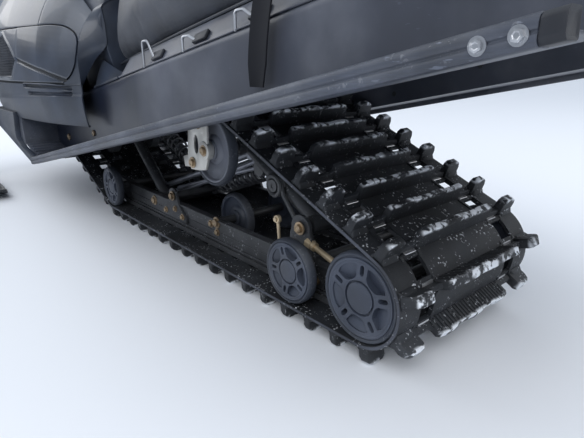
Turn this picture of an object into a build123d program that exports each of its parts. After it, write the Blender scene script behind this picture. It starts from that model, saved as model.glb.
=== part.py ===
"""Snowmobile with a single rear track, two skis, a tunnel, running boards, a seat and a hollow front body.

Lengths are millimetres. A station is a distance forward of the rear axle, y runs to the left of the
middle plane, and heights run up from the floor. Every piece is drawn by station and is moved back by
ORIGIN_STATION when it is written, so that the origin lies on the floor under the middle of the machine.
"""
from build123d import *
import os
from math import asin, atan2, ceil, cos, hypot, radians, sin

ORIGIN_STATION = 1060.0

# Play between pieces
FIT = 0.3
MOVING_GAP = 6.0

# Track loop
TRACK_WIDTH = 381.0
BELT_THICKNESS = 6.0
LUG_HEIGHT = 32.0
LUG_PITCH = 64.0
LUG_THICKNESS = 15.0
LUG_WALL_HALF = 104.0
LUG_END_INNER = 146.0
LUG_END_MARGIN = 2.5
LUG_RIDGE_HEIGHT = 11.0
LUG_ROOT = 3.0

# Wheels that the belt runs round
REAR_WHEEL_RADIUS = 74.0
SMALL_WHEEL_RADIUS = 61.0
CARRIER_WHEEL_RADIUS = 75.0
DRIVER_RADIUS = 68.3
WHEEL_WIDTH = 22.0
HUB_RADIUS = 24.0
TYRE_DEPTH = 9.0
DISH_DEPTH = 5.0
POCKET_COUNT = 5
POCKET_DEPTH = 3.5
POCKET_MARGIN = 4.0
POCKET_SPREAD = 40.0
WHEEL_FACE_Y = 188.0
INNER_WHEEL_FACE_Y = 84.0
SECOND_WHEEL_STATION = 168.0
IDLER_STATION = 488.0
FRONT_WHEEL_STATION = 1006.0
CARRIER_STATION = 404.0
CARRIER_HEIGHT = 286.5
DRIVER_STATION = 1271.0
DRIVER_HEIGHT = 225.0
DRIVER_WIDTH = 26.0
DRIVER_Y = 70.0

# Shafts across the skid
SHAFT_RADIUS = 10.0
BOLT_HEAD_RADIUS = 14.0
BOLT_HEAD_LENGTH = 8.0
WASHER_GAP = 0.4

# Rails and slide shoes
RAIL_Y = 125.0
RAIL_THICKNESS = 12.0
RAIL_TOP = 104.0
RAIL_REAR_STATION = 66.0
RAIL_NOSE = 66.0
RAIL_NOSE_DEPTH = 34.0
SHOE_THICKNESS = 12.0
SHOE_WIDTH = 26.0
BRACKET_THICKNESS = 8.0

# Swing arms of the skid
FRONT_ARM_TOP = (1020.0, 262.0)
FRONT_ARM_FOOT = (820.0, 84.0)
ROD_FOOT = (690.0, 124.0)
ROD_HEAD = (372.0, 240.0)
REAR_BRACKET = (186.0, 165.0)
BRACKET_DROP = 42.0
BRACKET_LIP = 16.0
ARM_Y = 92.0
ARM_TUBE_RADIUS = 15.0
SLEEVE_RADIUS = 17.0
ROD_Y = 62.0
ROD_RADIUS = 9.0
SHOCK_RADIUS = 24.0
SPRING_RADIUS = 23.0
SPRING_LENGTH = 12.0
SPRING_SEAT_RADIUS = 11.0
SPRING_SHARE = 0.53
SPRING_WIRE = 4.5
SPRING_LEG = 52.0
SPRING_LEG_LEAN = 40.0

# Tunnel, boards and edge beams
TUNNEL_HALF_WIDTH = 205.0
TUNNEL_WALL = 4.0
TUNNEL_REAR = -290.0
TUNNEL_FRONT = 1404.0
TUNNEL_TOP_AT_AXLE = 543.5
TUNNEL_TOP_SLOPE = -0.155
ACCESSORY_STATION = -250.0
ACCESSORY_Y = 183.0
ACCESSORY_HOLE_RADIUS = 4.5
BOARD_SLOPE = -0.2
BEAM_TOP_AT_AXLE = 425.5
BEAM_DEPTH = 23.0
BEAM_WIDTH = 24.0
BEAM_OUTER_Y = 340.0
BEAM_REAR = -275.0
BEAM_FRONT = 1262.0
BOARD_DROP = 9.0
BOARD_THICKNESS = 3.0
END_CAP_LENGTH = 18.0
HANGER_THICKNESS = 6.0
HANGER_LAP = 70.0
HANGER_WINDOW = (22.0, 10.0)
HANGER_WINDOW_RADIUS = 9.0
HANGER_WINDOW_LENGTH = 20.0

# Rear end
BUMPER_RADIUS = 12.0
BUMPER_REACH = -388.0
BUMPER_HEIGHT = 600.0
BUMPER_ROOT_STATION = -120.0
BUMPER_HALF_WIDTH = 150.0
FLAP_THICKNESS = 6.0
FLAP_LENGTH = 300.0
FLAP_HALF_WIDTH = 185.0
FLAP_LEAN = 60.0
COOLER_INSET = 12.0
COOLER_LENGTH = 190.0
COOLER_DEPTH = 22.0
COOLER_HALF_WIDTH = 165.0

# Seat
SEAT_REAR = -190.0
SEAT_FRONT = 925.0
SEAT_BASE_DEPTH = 48.0
SEAT_BASE_HALF_WIDTH = 150.0
SEAT_BASE_INSET = 40.0
LAMP_LENGTH = 40.0
LAMP_HALF_WIDTH = 95.0
LAMP_DEPTH = 52.0
LAMP_RAKE = 30.0

# Body shell
SHELL_WALL = 4.0
PANEL_SEAM = 0.4
BODY_SPLIT_STATION = 1156.0
WING_FOOT_HEIGHT = 288.0
DOOR_REAR = 1012.0
DOOR_FRONT = 1640.0
DOOR_FOOT = 406.0
DOOR_TOP = 566.0
VENT_BAR = 9.0
VENT_PITCH = 34.0
VENT_LEAN = 60.0
HOOD_SEAM_Y = 150.0
PAN_SEAM_Y = 128.0
HINGE_STATION = 1643.0
HINGE_Y = 335.0
HINGE_RADIUS = 7.0
HINGE_PIN_RADIUS = 3.5
HINGE_FOOT = 420.0
HINGE_TOP = 552.0
HINGE_KNUCKLE = 22.0
WINDOW_REAR = 1745.0
WINDOW_FRONT = 2040.0
WINDOW_FOOT = 192.0
WINDOW_TOP = 452.0
WINDOW_Y = 130.0
TOE_HOLD_WIDTH = 20.0
TOE_HOLD_DEPTH = 24.0
TOE_HOLD_CORNER = 1378.0
TOE_HOLD_END = 1690.0
TOE_HOLD_RISE = 0.5
FOOT_WALL = 4.0
EYE_LIP = 3.0

# Frame inside the body
CRADLE_HALF_WIDTH = 165.0
CRADLE_PLATE = 5.0
BULKHEAD_REAR = 1830.0
BULKHEAD_FRONT = 2050.0
BULKHEAD_HALF_WIDTH = 92.0
BULKHEAD_TOP = 470.0
SPAR_RADIUS = 14.0
SPAR_ELBOW_Y = 60.0
SPAR_FOOT_Y = 130.0
SPAR_NOSE_Y = 78.0
SPAR_INSET = 60.0
TOP_BAR_REACH = 50.0
ENGINE_REAR = 1440.0
ENGINE_FRONT = 1700.0
ENGINE_HALF_WIDTH = 170.0
ENGINE_FOOT = 190.0
ENGINE_TOP = 500.0

# Steering
BAR_STATION = 1165.0
BAR_HEIGHT = 980.0
HEAD_STATION = 1402.0
HEAD_HEIGHT = 640.0
COLUMN_RADIUS = 14.0
HEAD_SLEEVE_RADIUS = 24.0
HEAD_SLEEVE_LENGTH = 60.0
COLLAR_LENGTH = 12.0
COLLAR_RIM = 5.0
CLAMP_HALF_WIDTH = 34.0
CLAMP_RADIUS = 21.0
BAR_RADIUS = 11.0
BAR_HALF_WIDTH = 372.0
BAR_RISE = 48.0
BAR_SWEEP = 62.0
GRIP_RADIUS = 16.5
GRIP_LENGTH = 118.0

# Front suspension and skis
SKI_Y = 457.0
SPINDLE_STATION = 1900.0
SPINDLE_Y = 398.0
SPINDLE_RADIUS = 16.0
SPINDLE_FOOT = 128.0
SPINDLE_TOP = 384.0
LOWER_ARM_HEIGHT = 226.0
UPPER_ARM_HEIGHT = 343.0
EYE_RADIUS = 26.0
EYE_LENGTH = 26.0
WISHBONE_RADIUS = 11.0
WISHBONE_REAR = 1862.0
WISHBONE_FRONT = 1990.0
WISHBONE_PIVOT_HALF = 20.0
WISHBONE_PIVOT_RIM = 5.0
STEER_ARM_REACH = 108.0
STEER_ARM_GAP = 15.0
STEER_ARM_DEPTH = 16.0
STEER_ARM_WIDTH = 24.0
STEER_PIN_RADIUS = 5.0
STEER_COLLAR_LIP = 12.0
STEER_COLLAR_TOP = 8.0
STEER_COLLAR_RIM = 8.0
TIE_ROD_EYE = 13.0
TIE_ROD_RADIUS = 8.0
SHOCK_PIN_RADIUS = 6.0
SHOCK_FOOT_STATION = 1908.0
SHOCK_HEAD_STATION = 1924.0
SHOCK_FOOT_Y = 300.0
SHOCK_HEAD_REACH = 34.0
FRONT_SHOCK_RADIUS = 22.0
TIE_ROD_INNER_Y = 62.0
SKI_TAIL = 1470.0
SKI_TIP = 2520.0
SKI_WIDTH = 150.0
SKI_PLATE = 8.0
KEEL_DEPTH = 12.0
KEEL_WIDTH = 34.0
SKI_BEND_STATION = 2270.0
SKI_BEND_RADIUS = 330.0
SKI_BOLT_HEIGHT = 88.0
SKI_BOLT_RADIUS = 8.0
SADDLE_GAP = 40.0
SADDLE_WALL = 8.0
SADDLE_LENGTH = 104.0
SADDLE_LIP = 20.0
SADDLE_EAR_HALF = 24.0
SKI_TAIL_RISE = 22.0
SKI_TAIL_RUN = 60.0
SKI_RIB_HEIGHT = 34.0
SKI_RIB_INSET = 20.0
SKI_RIB_HALF = 5.0
SKI_LOOP_RADIUS = 8.0
SKI_LOOP_BEND = 24.0
WINDSHIELD_FOOT = 740.0
WINDSHIELD_CREST = 1086.0
WINDSHIELD_TAPER = 0.985
DASH_HALF_WIDTH = 96.0
LAMP_ZONE = ((1935.0, 2040.0), (26.0, 138.0))
LAMP_PROUD = 6.0
NOSE_LOOP_Y = 84.0
NOSE_LOOP_FOOT = 350.0
NOSE_LOOP_TOP = 372.0
NOSE_LOOP_REACH = 62.0
NOSE_LOOP_BEND = 26.0

# Sizes that follow from those above
BELLY_SEAM_HEIGHT = DOOR_FOOT - MOVING_GAP
GROUND_FACE = LUG_HEIGHT + BELT_THICKNESS
REAR_WHEEL_HEIGHT = GROUND_FACE + REAR_WHEEL_RADIUS
SMALL_WHEEL_HEIGHT = GROUND_FACE + SMALL_WHEEL_RADIUS
RAIL_OUTER_Y = RAIL_Y + RAIL_THICKNESS / 2
RAIL_INNER_Y = RAIL_Y - RAIL_THICKNESS / 2
TUNNEL_INNER_Y = TUNNEL_HALF_WIDTH - TUNNEL_WALL
HANGER_OUTER_Y = TUNNEL_INNER_Y
HANGER_INNER_Y = TUNNEL_INNER_Y - HANGER_THICKNESS
BOARD_INNER_Y = TUNNEL_HALF_WIDTH
STEER_ARM_HEIGHT = LOWER_ARM_HEIGHT + EYE_LENGTH / 2 + STEER_COLLAR_LIP + STEER_ARM_GAP
BRACKET_FOOT = RAIL_TOP - BRACKET_DROP

# Bracket plates on the rails: their shaft, how far they reach behind and ahead of it, and their head
BRACKETS = [
    # shaft spot, behind, ahead, head radius
    (ROD_FOOT, 64.0, 72.0, 21.0),
    (REAR_BRACKET, 60.0, 58.0, 25.0),
]

# Corners of the carrier shaft's hangers below the tunnel's edge, from the shaft
HANGER_CORNERS = [
    # ahead, above
    (-24.0, -18.0),
    (20.0, -44.0),
    (62.0, -46.0),
    (76.0, -18.0),
    (62.0, 52.0),
]

# Corners of the vent in the side panel
VENT_CORNERS = [
    # station, height
    (1376.0, 424.0),
    (1566.0, 420.0),
    (1590.0, 480.0),
    (1552.0, 544.0),
    (1448.0, 546.0),
    (1378.0, 508.0),
    (1324.0, 470.0),
]

# Body sections, from the cowl behind the console to the nose
BODY_SECTIONS = [
    # station, belly height, belly half, low height, low half, high height, high half, top height, top half
    (958, 160, 200, 300, 246, 520, 246, 632, 152),
    (1150, 158, 205, 298, 306, 545, 296, 752, 170),
    (1400, 154, 210, 290, 334, 562, 324, 806, 190),
    (1650, 154, 195, 290, 330, 570, 320, 762, 205),
    (1900, 176, 150, 304, 286, 556, 280, 662, 186),
    (2060, 216, 120, 322, 214, 520, 212, 584, 150),
    (2150, 286, 90, 340, 140, 470, 138, 512, 108),
]

# Fuel tank cover between the seat's nose and the handlebar
CONSOLE_SECTIONS = [
    # station, foot half, waist height, waist half, top height, top half
    (930, 150, 560, 186, 690, 120),
    (1050, 160, 600, 190, 748, 118),
    (1146, 160, 610, 190, 740, 118),
]

CONSOLE_ROOM = max(row[3] for row in CONSOLE_SECTIONS) + FIT

# Seat cushion
SEAT_SECTIONS = [
    # station, foot half, foot rise over the base, waist half, top height, top half
    (SEAT_REAR, 150, 0, 168, 712, 128),
    (120, 160, 0, 186, 738, 146),
    (520, 160, 0, 188, 700, 150),
    (800, 150, 0, 180, 716, 128),
    (SEAT_FRONT, 140, 0, 164, 690, 108),
]
SEAT_WAIST_RISE = 70.0
STRAP_WIDTH = 22.0
STRAP_THICKNESS = 2.4


def beam_top(station):
    """Height of the edge beam's top face."""
    return BEAM_TOP_AT_AXLE + BOARD_SLOPE * station


def board_top(station):
    """Height of the running board's tread face."""
    return beam_top(station) - BOARD_DROP


def tunnel_top(station):
    """Height of the tunnel's top face."""
    return TUNNEL_TOP_AT_AXLE + TUNNEL_TOP_SLOPE * station


def prism(axis, outline, low, high):
    """Straight-sided solid: an outline in the plane across an axis, pushed from low to high."""
    spots = {
        "x": [(low, u, v) for u, v in outline],
        "y": [(u, low, v) for u, v in outline],
        "z": [(u, v, low) for u, v in outline],
    }[axis]
    way = {"x": (1, 0, 0), "y": (0, 1, 0), "z": (0, 0, 1)}[axis]
    face = Face(Wire.make_polygon(spots))
    return Solid.extrude(face, Vector(way) * (high - low))


def block(x_range, y_range, z_range):
    """Box between three pairs of limits."""
    (x0, x1), (y0, y1) = x_range, y_range
    return prism("z", [(x0, y0), (x1, y0), (x1, y1), (x0, y1)], *z_range)


def rod(start, end, radius):
    """Round bar from one point to another."""
    start, end = Vector(start), Vector(end)
    return Solid.make_cylinder(radius, (end - start).length, Plane(origin=start, z_dir=end - start))


def shaft(spot, radius, low_y, high_y):
    """Round bar along y at a station and height."""
    return rod((spot[0], low_y, spot[1]), (spot[0], high_y, spot[1]), radius)


def bent_tube(points, radius, bend):
    """Round tube along straight runs joined by arcs."""
    path = FilletPolyline(*points, radius=bend)
    start = path @ 0
    section = Plane(origin=start, z_dir=path % 0) * Circle(radius)
    return Solid.sweep(section.face(), path.wire())


def sections_loft(sections):
    """Ruled solid through closed outlines, each a list of points at one station."""
    return Solid.make_loft([Wire.make_polygon(points) for points in sections], ruled=True)


def gathered(result):
    """What a boolean step gives, as one solid or one group of solids."""
    pieces = result if isinstance(result, list) else [result]
    solids = [solid for piece in pieces for solid in piece.solids()]
    return solids[0] if len(solids) == 1 else Compound(solids)


def fused(shapes):
    """One shape made of all the given ones."""
    shapes = list(shapes)
    return gathered(shapes[0].fuse(*shapes[1:]))


def cut(shape, tools):
    """The shape with every tool taken away."""
    return gathered(shape.cut(*tools))


def common(shape, tool):
    """What the shape shares with a tool."""
    return gathered(shape.intersect(tool))


def mirrored(shape):
    """The same shape on the right-hand side."""
    return shape.mirror(Plane.XZ)


def both_sides(shape):
    """The shape and its mirror image."""
    return [shape, mirrored(shape)]


def belt_circles(offset):
    """Circles that the belt wraps, in order, grown by an offset from the belt's inner face."""
    return [
        (0.0, REAR_WHEEL_HEIGHT, REAR_WHEEL_RADIUS + offset),
        (FRONT_WHEEL_STATION, SMALL_WHEEL_HEIGHT, SMALL_WHEEL_RADIUS + offset),
        (DRIVER_STATION, DRIVER_HEIGHT, DRIVER_RADIUS + offset),
        (CARRIER_STATION, CARRIER_HEIGHT, CARRIER_WHEEL_RADIUS + offset),
    ]


def tangent_angle(first, second):
    """Direction of the outward normal on the straight run between two wrapped circles."""
    reach = hypot(second[0] - first[0], second[1] - first[1])
    heading = atan2(second[1] - first[1], second[0] - first[0])
    return heading - radians(90) + asin((first[2] - second[2]) / reach)


def on_circle(circle, angle, y):
    """Point on a wrapped circle."""
    return Vector(circle[0] + circle[2] * cos(angle), y, circle[1] + circle[2] * sin(angle))


def belt_wire(offset, y):
    """Closed outline of the belt at an offset from its inner face."""
    circles = belt_circles(offset)
    count = len(circles)
    angles = [tangent_angle(circles[i], circles[(i + 1) % count]) for i in range(count)]
    edges = []
    for i, circle in enumerate(circles):
        after = circles[(i + 1) % count]
        arrive = angles[i - 1]
        leave = angles[i]
        while leave < arrive:
            leave += radians(360)
        middle = (arrive + leave) / 2
        corners = [on_circle(circle, turn, y) for turn in (arrive, middle, leave)]
        edges.append(Edge.make_three_point_arc(*corners))
        edges.append(Edge.make_line(corners[2], on_circle(after, angles[i], y)))
    return Wire(edges)


def lug_profile():
    """Steps of a lug row across the belt, as distance from the middle plane and height above the belt."""
    edge = TRACK_WIDTH / 2 - LUG_END_MARGIN
    half = [
        (LUG_WALL_HALF, LUG_HEIGHT),
        (LUG_WALL_HALF, LUG_RIDGE_HEIGHT),
        (LUG_END_INNER, LUG_RIDGE_HEIGHT),
        (LUG_END_INNER, LUG_HEIGHT),
        (edge, LUG_HEIGHT),
        (edge, -LUG_ROOT),
    ]
    return [*half, *[(-y, height) for y, height in reversed(half)]]


def lug_row(wire, share):
    """Row of lugs across the belt, at a share of the way round its inner face."""
    along = wire.tangent_at(share).normalized()
    out = Vector(along.Z, 0, -along.X)
    foot = wire.position_at(share) + out * BELT_THICKNESS - along * (LUG_THICKNESS / 2)
    corners = [foot + Vector(0, y, 0) + out * height for y, height in lug_profile()]
    return Solid.extrude(Face(Wire.make_polygon(corners)), along * LUG_THICKNESS)


def track():
    """Endless rubber belt with a row of lugs at every pitch."""
    half = TRACK_WIDTH / 2
    face = Face(belt_wire(BELT_THICKNESS, -half), [belt_wire(0.0, -half)])
    belt = Solid.extrude(face, Vector(0, TRACK_WIDTH, 0))
    wire = belt_wire(0.0, 0.0)
    count = round(wire.length / LUG_PITCH)
    return [fused([belt, *[lug_row(wire, step / count) for step in range(count)]])]


def belt_climb():
    """Angle at which the belt climbs from the front wheel to the driver."""
    circles = belt_circles(0.0)
    return tangent_angle(circles[1], circles[2]) + radians(90)


def slide_points(inset, y, nose):
    """Points of a line inside the belt: its rear end, the two ends and middle of its bend, and its nose."""
    climb = belt_climb()
    radius = SMALL_WHEEL_RADIUS - inset
    bend = [(FRONT_WHEEL_STATION + radius * sin(turn), SMALL_WHEEL_HEIGHT - radius * cos(turn))
            for turn in (0.0, climb / 2, climb)]
    tip = (bend[2][0] + nose * cos(climb), bend[2][1] + nose * sin(climb))
    spots = [(RAIL_REAR_STATION, SMALL_WHEEL_HEIGHT - radius), *bend, tip]
    return [Vector(x, y, z) for x, z in spots]


def slide_edges(points):
    """Straight run, bend and nose through the five points of a slide line."""
    return [
        Edge.make_line(points[0], points[1]),
        Edge.make_three_point_arc(points[1], points[2], points[3]),
        Edge.make_line(points[3], points[4]),
    ]


def closed_solid(edges, corners, width):
    """Solid of an outline that begins with edges and closes over straight corners, pushed along y."""
    start = edges[0].position_at(0)
    spots = [edges[-1].position_at(1), *corners, start]
    lines = [Edge.make_line(a, b) for a, b in zip(spots, spots[1:])]
    return Solid.extrude(Face(Wire([*edges, *lines])), Vector(0, width, 0))


def rail():
    """Left rail with its turned-up nose and the holes for the shafts."""
    low = slide_edges(slide_points(SHOE_THICKNESS + FIT, RAIL_INNER_Y, RAIL_NOSE))
    tip = low[-1].position_at(1)
    climb = belt_climb()
    lift = RAIL_NOSE_DEPTH
    corners = [
        Vector(tip.X - lift * sin(climb), RAIL_INNER_Y, tip.Z + lift * cos(climb)),
        Vector(FRONT_WHEEL_STATION - RAIL_NOSE / 2, RAIL_INNER_Y, RAIL_TOP),
        Vector(RAIL_REAR_STATION, RAIL_INNER_Y, RAIL_TOP),
    ]
    solid = closed_solid(low, corners, RAIL_THICKNESS)
    return cut(solid, shaft_bores())


def slide_shoe():
    """Plastic runner under the left rail."""
    y = RAIL_Y - SHOE_WIDTH / 2
    low = slide_edges(slide_points(FIT, y, RAIL_NOSE))
    high = slide_points(SHOE_THICKNESS + FIT, y, RAIL_NOSE)
    back = [Edge.make_line(high[4], high[3]),
            Edge.make_three_point_arc(high[3], high[2], high[1]),
            Edge.make_line(high[1], high[0])]
    ends = [Edge.make_line(low[-1].position_at(1), high[4]), Edge.make_line(high[0], low[0].position_at(0))]
    return Solid.extrude(Face(Wire([*low, ends[0], *back, ends[1]])), Vector(0, SHOE_WIDTH, 0))


# Shafts across the skid: station and height, half length, whether a bolt head closes each end
SHAFTS = {
    # name: (spot, half length, headed)
    "rear": ((0.0, REAR_WHEEL_HEIGHT), WHEEL_FACE_Y - 6.0, False),
    "second": ((SECOND_WHEEL_STATION, SMALL_WHEEL_HEIGHT), WHEEL_FACE_Y - 6.0, False),
    "front": ((FRONT_WHEEL_STATION, SMALL_WHEEL_HEIGHT), WHEEL_FACE_Y - 6.0, False),
    "idler": ((IDLER_STATION, SMALL_WHEEL_HEIGHT), RAIL_OUTER_Y, True),
    "arm_foot": (FRONT_ARM_FOOT, RAIL_OUTER_Y, True),
    "rod_foot": (ROD_FOOT, RAIL_OUTER_Y + BRACKET_THICKNESS, True),
    "rear_bracket": (REAR_BRACKET, RAIL_OUTER_Y + BRACKET_THICKNESS, True),
    "carrier": ((CARRIER_STATION, CARRIER_HEIGHT), HANGER_OUTER_Y, False),
    "arm_top": (FRONT_ARM_TOP, TUNNEL_HALF_WIDTH, True),
    "driver": ((DRIVER_STATION, DRIVER_HEIGHT), TUNNEL_HALF_WIDTH, True),
}


def shaft_bores():
    """Running holes for every shaft across the skid."""
    return [shaft(spot, SHAFT_RADIUS + FIT, -half - BOLT_HEAD_LENGTH, half + BOLT_HEAD_LENGTH)
            for spot, half, headed in SHAFTS.values()]


def cross_shafts():
    """Shafts with their bolt heads."""
    solids = []
    for spot, half, headed in SHAFTS.values():
        pieces = [shaft(spot, SHAFT_RADIUS, -half - WASHER_GAP, half + WASHER_GAP)]
        if headed:
            outer = half + WASHER_GAP + BOLT_HEAD_LENGTH
            pieces.append(shaft(spot, BOLT_HEAD_RADIUS, half + WASHER_GAP, outer))
            pieces.append(shaft(spot, BOLT_HEAD_RADIUS, -outer, -half - WASHER_GAP))
        solids.append(fused(pieces))
    return solids


def wheel_pockets(spot, radius, face_y):
    """Shallow pockets between the spokes, in the outer side of a wheel's disc."""
    floor = face_y - DISH_DEPTH - POCKET_DEPTH
    reaches = (HUB_RADIUS + POCKET_MARGIN, radius - TYRE_DEPTH - POCKET_MARGIN)
    pockets = []
    for place in range(POCKET_COUNT):
        middle = 90.0 + place * 360.0 / POCKET_COUNT
        corners = []
        for reach, sides in zip(reaches, ((-1, 1), (1, -1))):
            for side in sides:
                turn = radians(middle + side * POCKET_SPREAD / 2)
                corners.append((spot[0] + reach * cos(turn), spot[1] + reach * sin(turn)))
        pockets.append(prism("y", corners, floor, face_y))
    return pockets


def wheel(spot, radius, face_y, capped):
    """Road wheel with a rubber tyre, a dished disc and a hub, its outer face at face_y."""
    rim = radius - FIT
    disc = rim - TYRE_DEPTH
    back = face_y - WHEEL_WIDTH
    solid = shaft(spot, rim, back, face_y)
    dish = shaft(spot, disc, face_y - DISH_DEPTH, face_y)
    rear_dish = shaft(spot, disc, back, back + DISH_DEPTH)
    hub = [shaft(spot, HUB_RADIUS, back, face_y)]
    solid = fused([cut(solid, [dish, rear_dish]), *hub])
    bore_end = face_y - 6.0 + 2 * WASHER_GAP if capped else face_y
    tools = [shaft(spot, SHAFT_RADIUS + FIT, back, bore_end)]
    if capped:
        tools.extend(wheel_pockets(spot, radius, face_y))
    return cut(solid, tools)


def wheel_pair(name, radius, face_y, capped):
    """The same wheel on both sides of a shaft."""
    return both_sides(wheel(SHAFTS[name][0], radius, face_y, capped))


def driver_sprockets():
    """Drive cogs on the driveshaft."""
    spot = SHAFTS["driver"][0]
    solid = shaft(spot, DRIVER_RADIUS - FIT, DRIVER_Y - DRIVER_WIDTH / 2, DRIVER_Y + DRIVER_WIDTH / 2)
    return both_sides(cut(solid, [shaft(spot, SHAFT_RADIUS + FIT, 0, TUNNEL_HALF_WIDTH)]))


def sleeve(spot, radius, half):
    """Tube that turns on a shaft."""
    return shaft(spot, radius, -half, half)


def swing_arm(top, foot, half_top, half_foot):
    """Two side tubes between an upper and a lower cross sleeve, bored for their shafts."""
    pieces = [sleeve(top, SLEEVE_RADIUS, half_top), sleeve(foot, SLEEVE_RADIUS, half_foot)]
    for y in (-ARM_Y, ARM_Y):
        pieces.append(rod((top[0], y, top[1]), (foot[0], y, foot[1]), ARM_TUBE_RADIUS))
    return fused(pieces)


def front_arm():
    """Front swing arm, from the tunnel to the rails."""
    solid = swing_arm(FRONT_ARM_TOP, FRONT_ARM_FOOT, ARM_Y + 40.0, RAIL_INNER_Y - WASHER_GAP)
    return [cut(solid, shaft_bores())]


def rear_arm():
    """Rear swing arm, from the carrier shaft to the rear brackets, with the cross sleeve of the rods."""
    body = swing_arm(SHAFTS["carrier"][0], REAR_BRACKET, ARM_Y + 30.0, RAIL_INNER_Y - WASHER_GAP)
    lug = sleeve(ROD_HEAD, SLEEVE_RADIUS, ARM_Y)
    reach = ARM_Y + ARM_TUBE_RADIUS + SPRING_LENGTH + 2 * FIT
    seat = shaft(spring_spot(), SPRING_SEAT_RADIUS, ARM_Y, reach)
    return [cut(fused([body, lug, *both_sides(seat)]), shaft_bores())]


def coupling_rods():
    """Slender rods from the rails' bracket shaft up to the rear arm, one each side."""
    foot = Vector(ROD_FOOT[0], ROD_Y, ROD_FOOT[1])
    head = Vector(ROD_HEAD[0], ROD_Y, ROD_HEAD[1])
    way = (head - foot).normalized()
    head = head - way * (SLEEVE_RADIUS + FIT)
    eye = shaft(ROD_FOOT, SLEEVE_RADIUS, ROD_Y - ROD_RADIUS - EYE_LIP, ROD_Y + ROD_RADIUS + EYE_LIP)
    solid = fused([rod(foot, head, ROD_RADIUS), eye])
    return both_sides(cut(solid, [*shaft_bores(), sleeve(ROD_HEAD, SLEEVE_RADIUS + FIT, ARM_Y)]))


def damper(foot, head, y, foot_sleeve, head_sleeve):
    """Shock absorber with its coil drawn as a plain drum, between two cross sleeves."""
    low = Vector(foot[0], y, foot[1])
    high = Vector(head[0], y, head[1])
    way = (high - low).normalized()
    span = (high - low).length
    start = low + way * (foot_sleeve + FIT)
    end = high - way * (head_sleeve + FIT)
    drum_start = low + way * (0.28 * span)
    drum_end = low + way * (0.82 * span)
    solid = fused([rod(start, end, ROD_RADIUS), rod(drum_start, drum_end, SHOCK_RADIUS)])
    stops = [sleeve(foot, foot_sleeve + FIT, ARM_Y), sleeve(head, head_sleeve + FIT, ARM_Y)]
    return cut(solid, stops)


def skid_shocks():
    """Front and rear shock absorbers of the skid, on the middle plane."""
    rear = damper(ROD_FOOT, ROD_HEAD, 0.0, SHAFT_RADIUS, SLEEVE_RADIUS)
    front = damper(ROD_FOOT, FRONT_ARM_TOP, 0.0, SHAFT_RADIUS, SLEEVE_RADIUS)
    eye = shaft(ROD_FOOT, SLEEVE_RADIUS, -ROD_RADIUS - EYE_LIP, ROD_RADIUS + EYE_LIP)
    solid = fused([rear, front, eye])
    return [cut(solid, shaft_bores())]


def spring_spot():
    """Place of the torsion springs, part of the way down the rear arm."""
    return (CARRIER_STATION + SPRING_SHARE * (REAR_BRACKET[0] - CARRIER_STATION),
            CARRIER_HEIGHT + SPRING_SHARE * (REAR_BRACKET[1] - CARRIER_HEIGHT))


def torsion_springs():
    """Coil springs on the rear arm's seats, each with a leg towards the rail."""
    spot = spring_spot()
    low_y = ARM_Y + ARM_TUBE_RADIUS + FIT
    coil = shaft(spot, SPRING_RADIUS, low_y, low_y + SPRING_LENGTH)
    middle = low_y + SPRING_LENGTH / 2
    start = Vector(spot[0] - SPRING_RADIUS + SPRING_WIRE, middle, spot[1])
    leg = rod(start, start - Vector(SPRING_LEG_LEAN, 0, SPRING_LEG), SPRING_WIRE)
    hole = shaft(spot, SPRING_SEAT_RADIUS + FIT, low_y - 1, low_y + SPRING_LENGTH + 1)
    return both_sides(cut(fused([coil, leg]), [hole]))


def rail_brackets():
    """Plates with round heads on the outer faces of the rails, for the rod shaft and the rear arm's shaft."""
    near = RAIL_OUTER_Y
    far = RAIL_OUTER_Y + BRACKET_THICKNESS
    solids = []
    for (station, height), behind, ahead, head in BRACKETS:
        outline = [
            (station - behind, BRACKET_FOOT),
            (station + ahead, BRACKET_FOOT),
            (station + ahead, BRACKET_FOOT + BRACKET_LIP),
            (station + head, height),
            (station - head, height),
            (station - behind, BRACKET_FOOT + BRACKET_LIP),
        ]
        plate = fused([prism("y", outline, near, far), shaft((station, height), head, near, far)])
        solids.extend(both_sides(cut(plate, shaft_bores())))
    return solids


def hangers():
    """Cast plates under the tunnel that hold the carrier shaft, each with a long window."""
    top = board_top(CARRIER_STATION) + HANGER_LAP
    low = [(CARRIER_STATION + ahead, CARRIER_HEIGHT + above) for ahead, above in HANGER_CORNERS]
    outline = [*low, (CARRIER_STATION + 46, top), (CARRIER_STATION - 34, top)]
    plate = prism("y", outline, HANGER_INNER_Y, HANGER_OUTER_Y)
    station = CARRIER_STATION + HANGER_WINDOW[0] + HANGER_WINDOW_RADIUS
    height = CARRIER_HEIGHT + HANGER_WINDOW[1]
    reach = HANGER_WINDOW_LENGTH / 2
    near = HANGER_INNER_Y - 1
    far = HANGER_OUTER_Y + 1
    window = [block((station - HANGER_WINDOW_RADIUS, station + HANGER_WINDOW_RADIUS), (near, far),
                    (height - reach, height + reach))]
    for end in (-reach, reach):
        window.append(shaft((station, height + end), HANGER_WINDOW_RADIUS, near, far))
    return both_sides(cut(plate, [*shaft_bores(), fused(window)]))


def tunnel_outline(inset_top, rear, front, drop):
    """Side outline of the tunnel between two stations, down to a drop below the board."""
    return [
        (rear, board_top(rear) - drop),
        (rear, tunnel_top(rear) - inset_top),
        (front, tunnel_top(front) - inset_top),
        (front, board_top(front) - drop),
    ]


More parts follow.
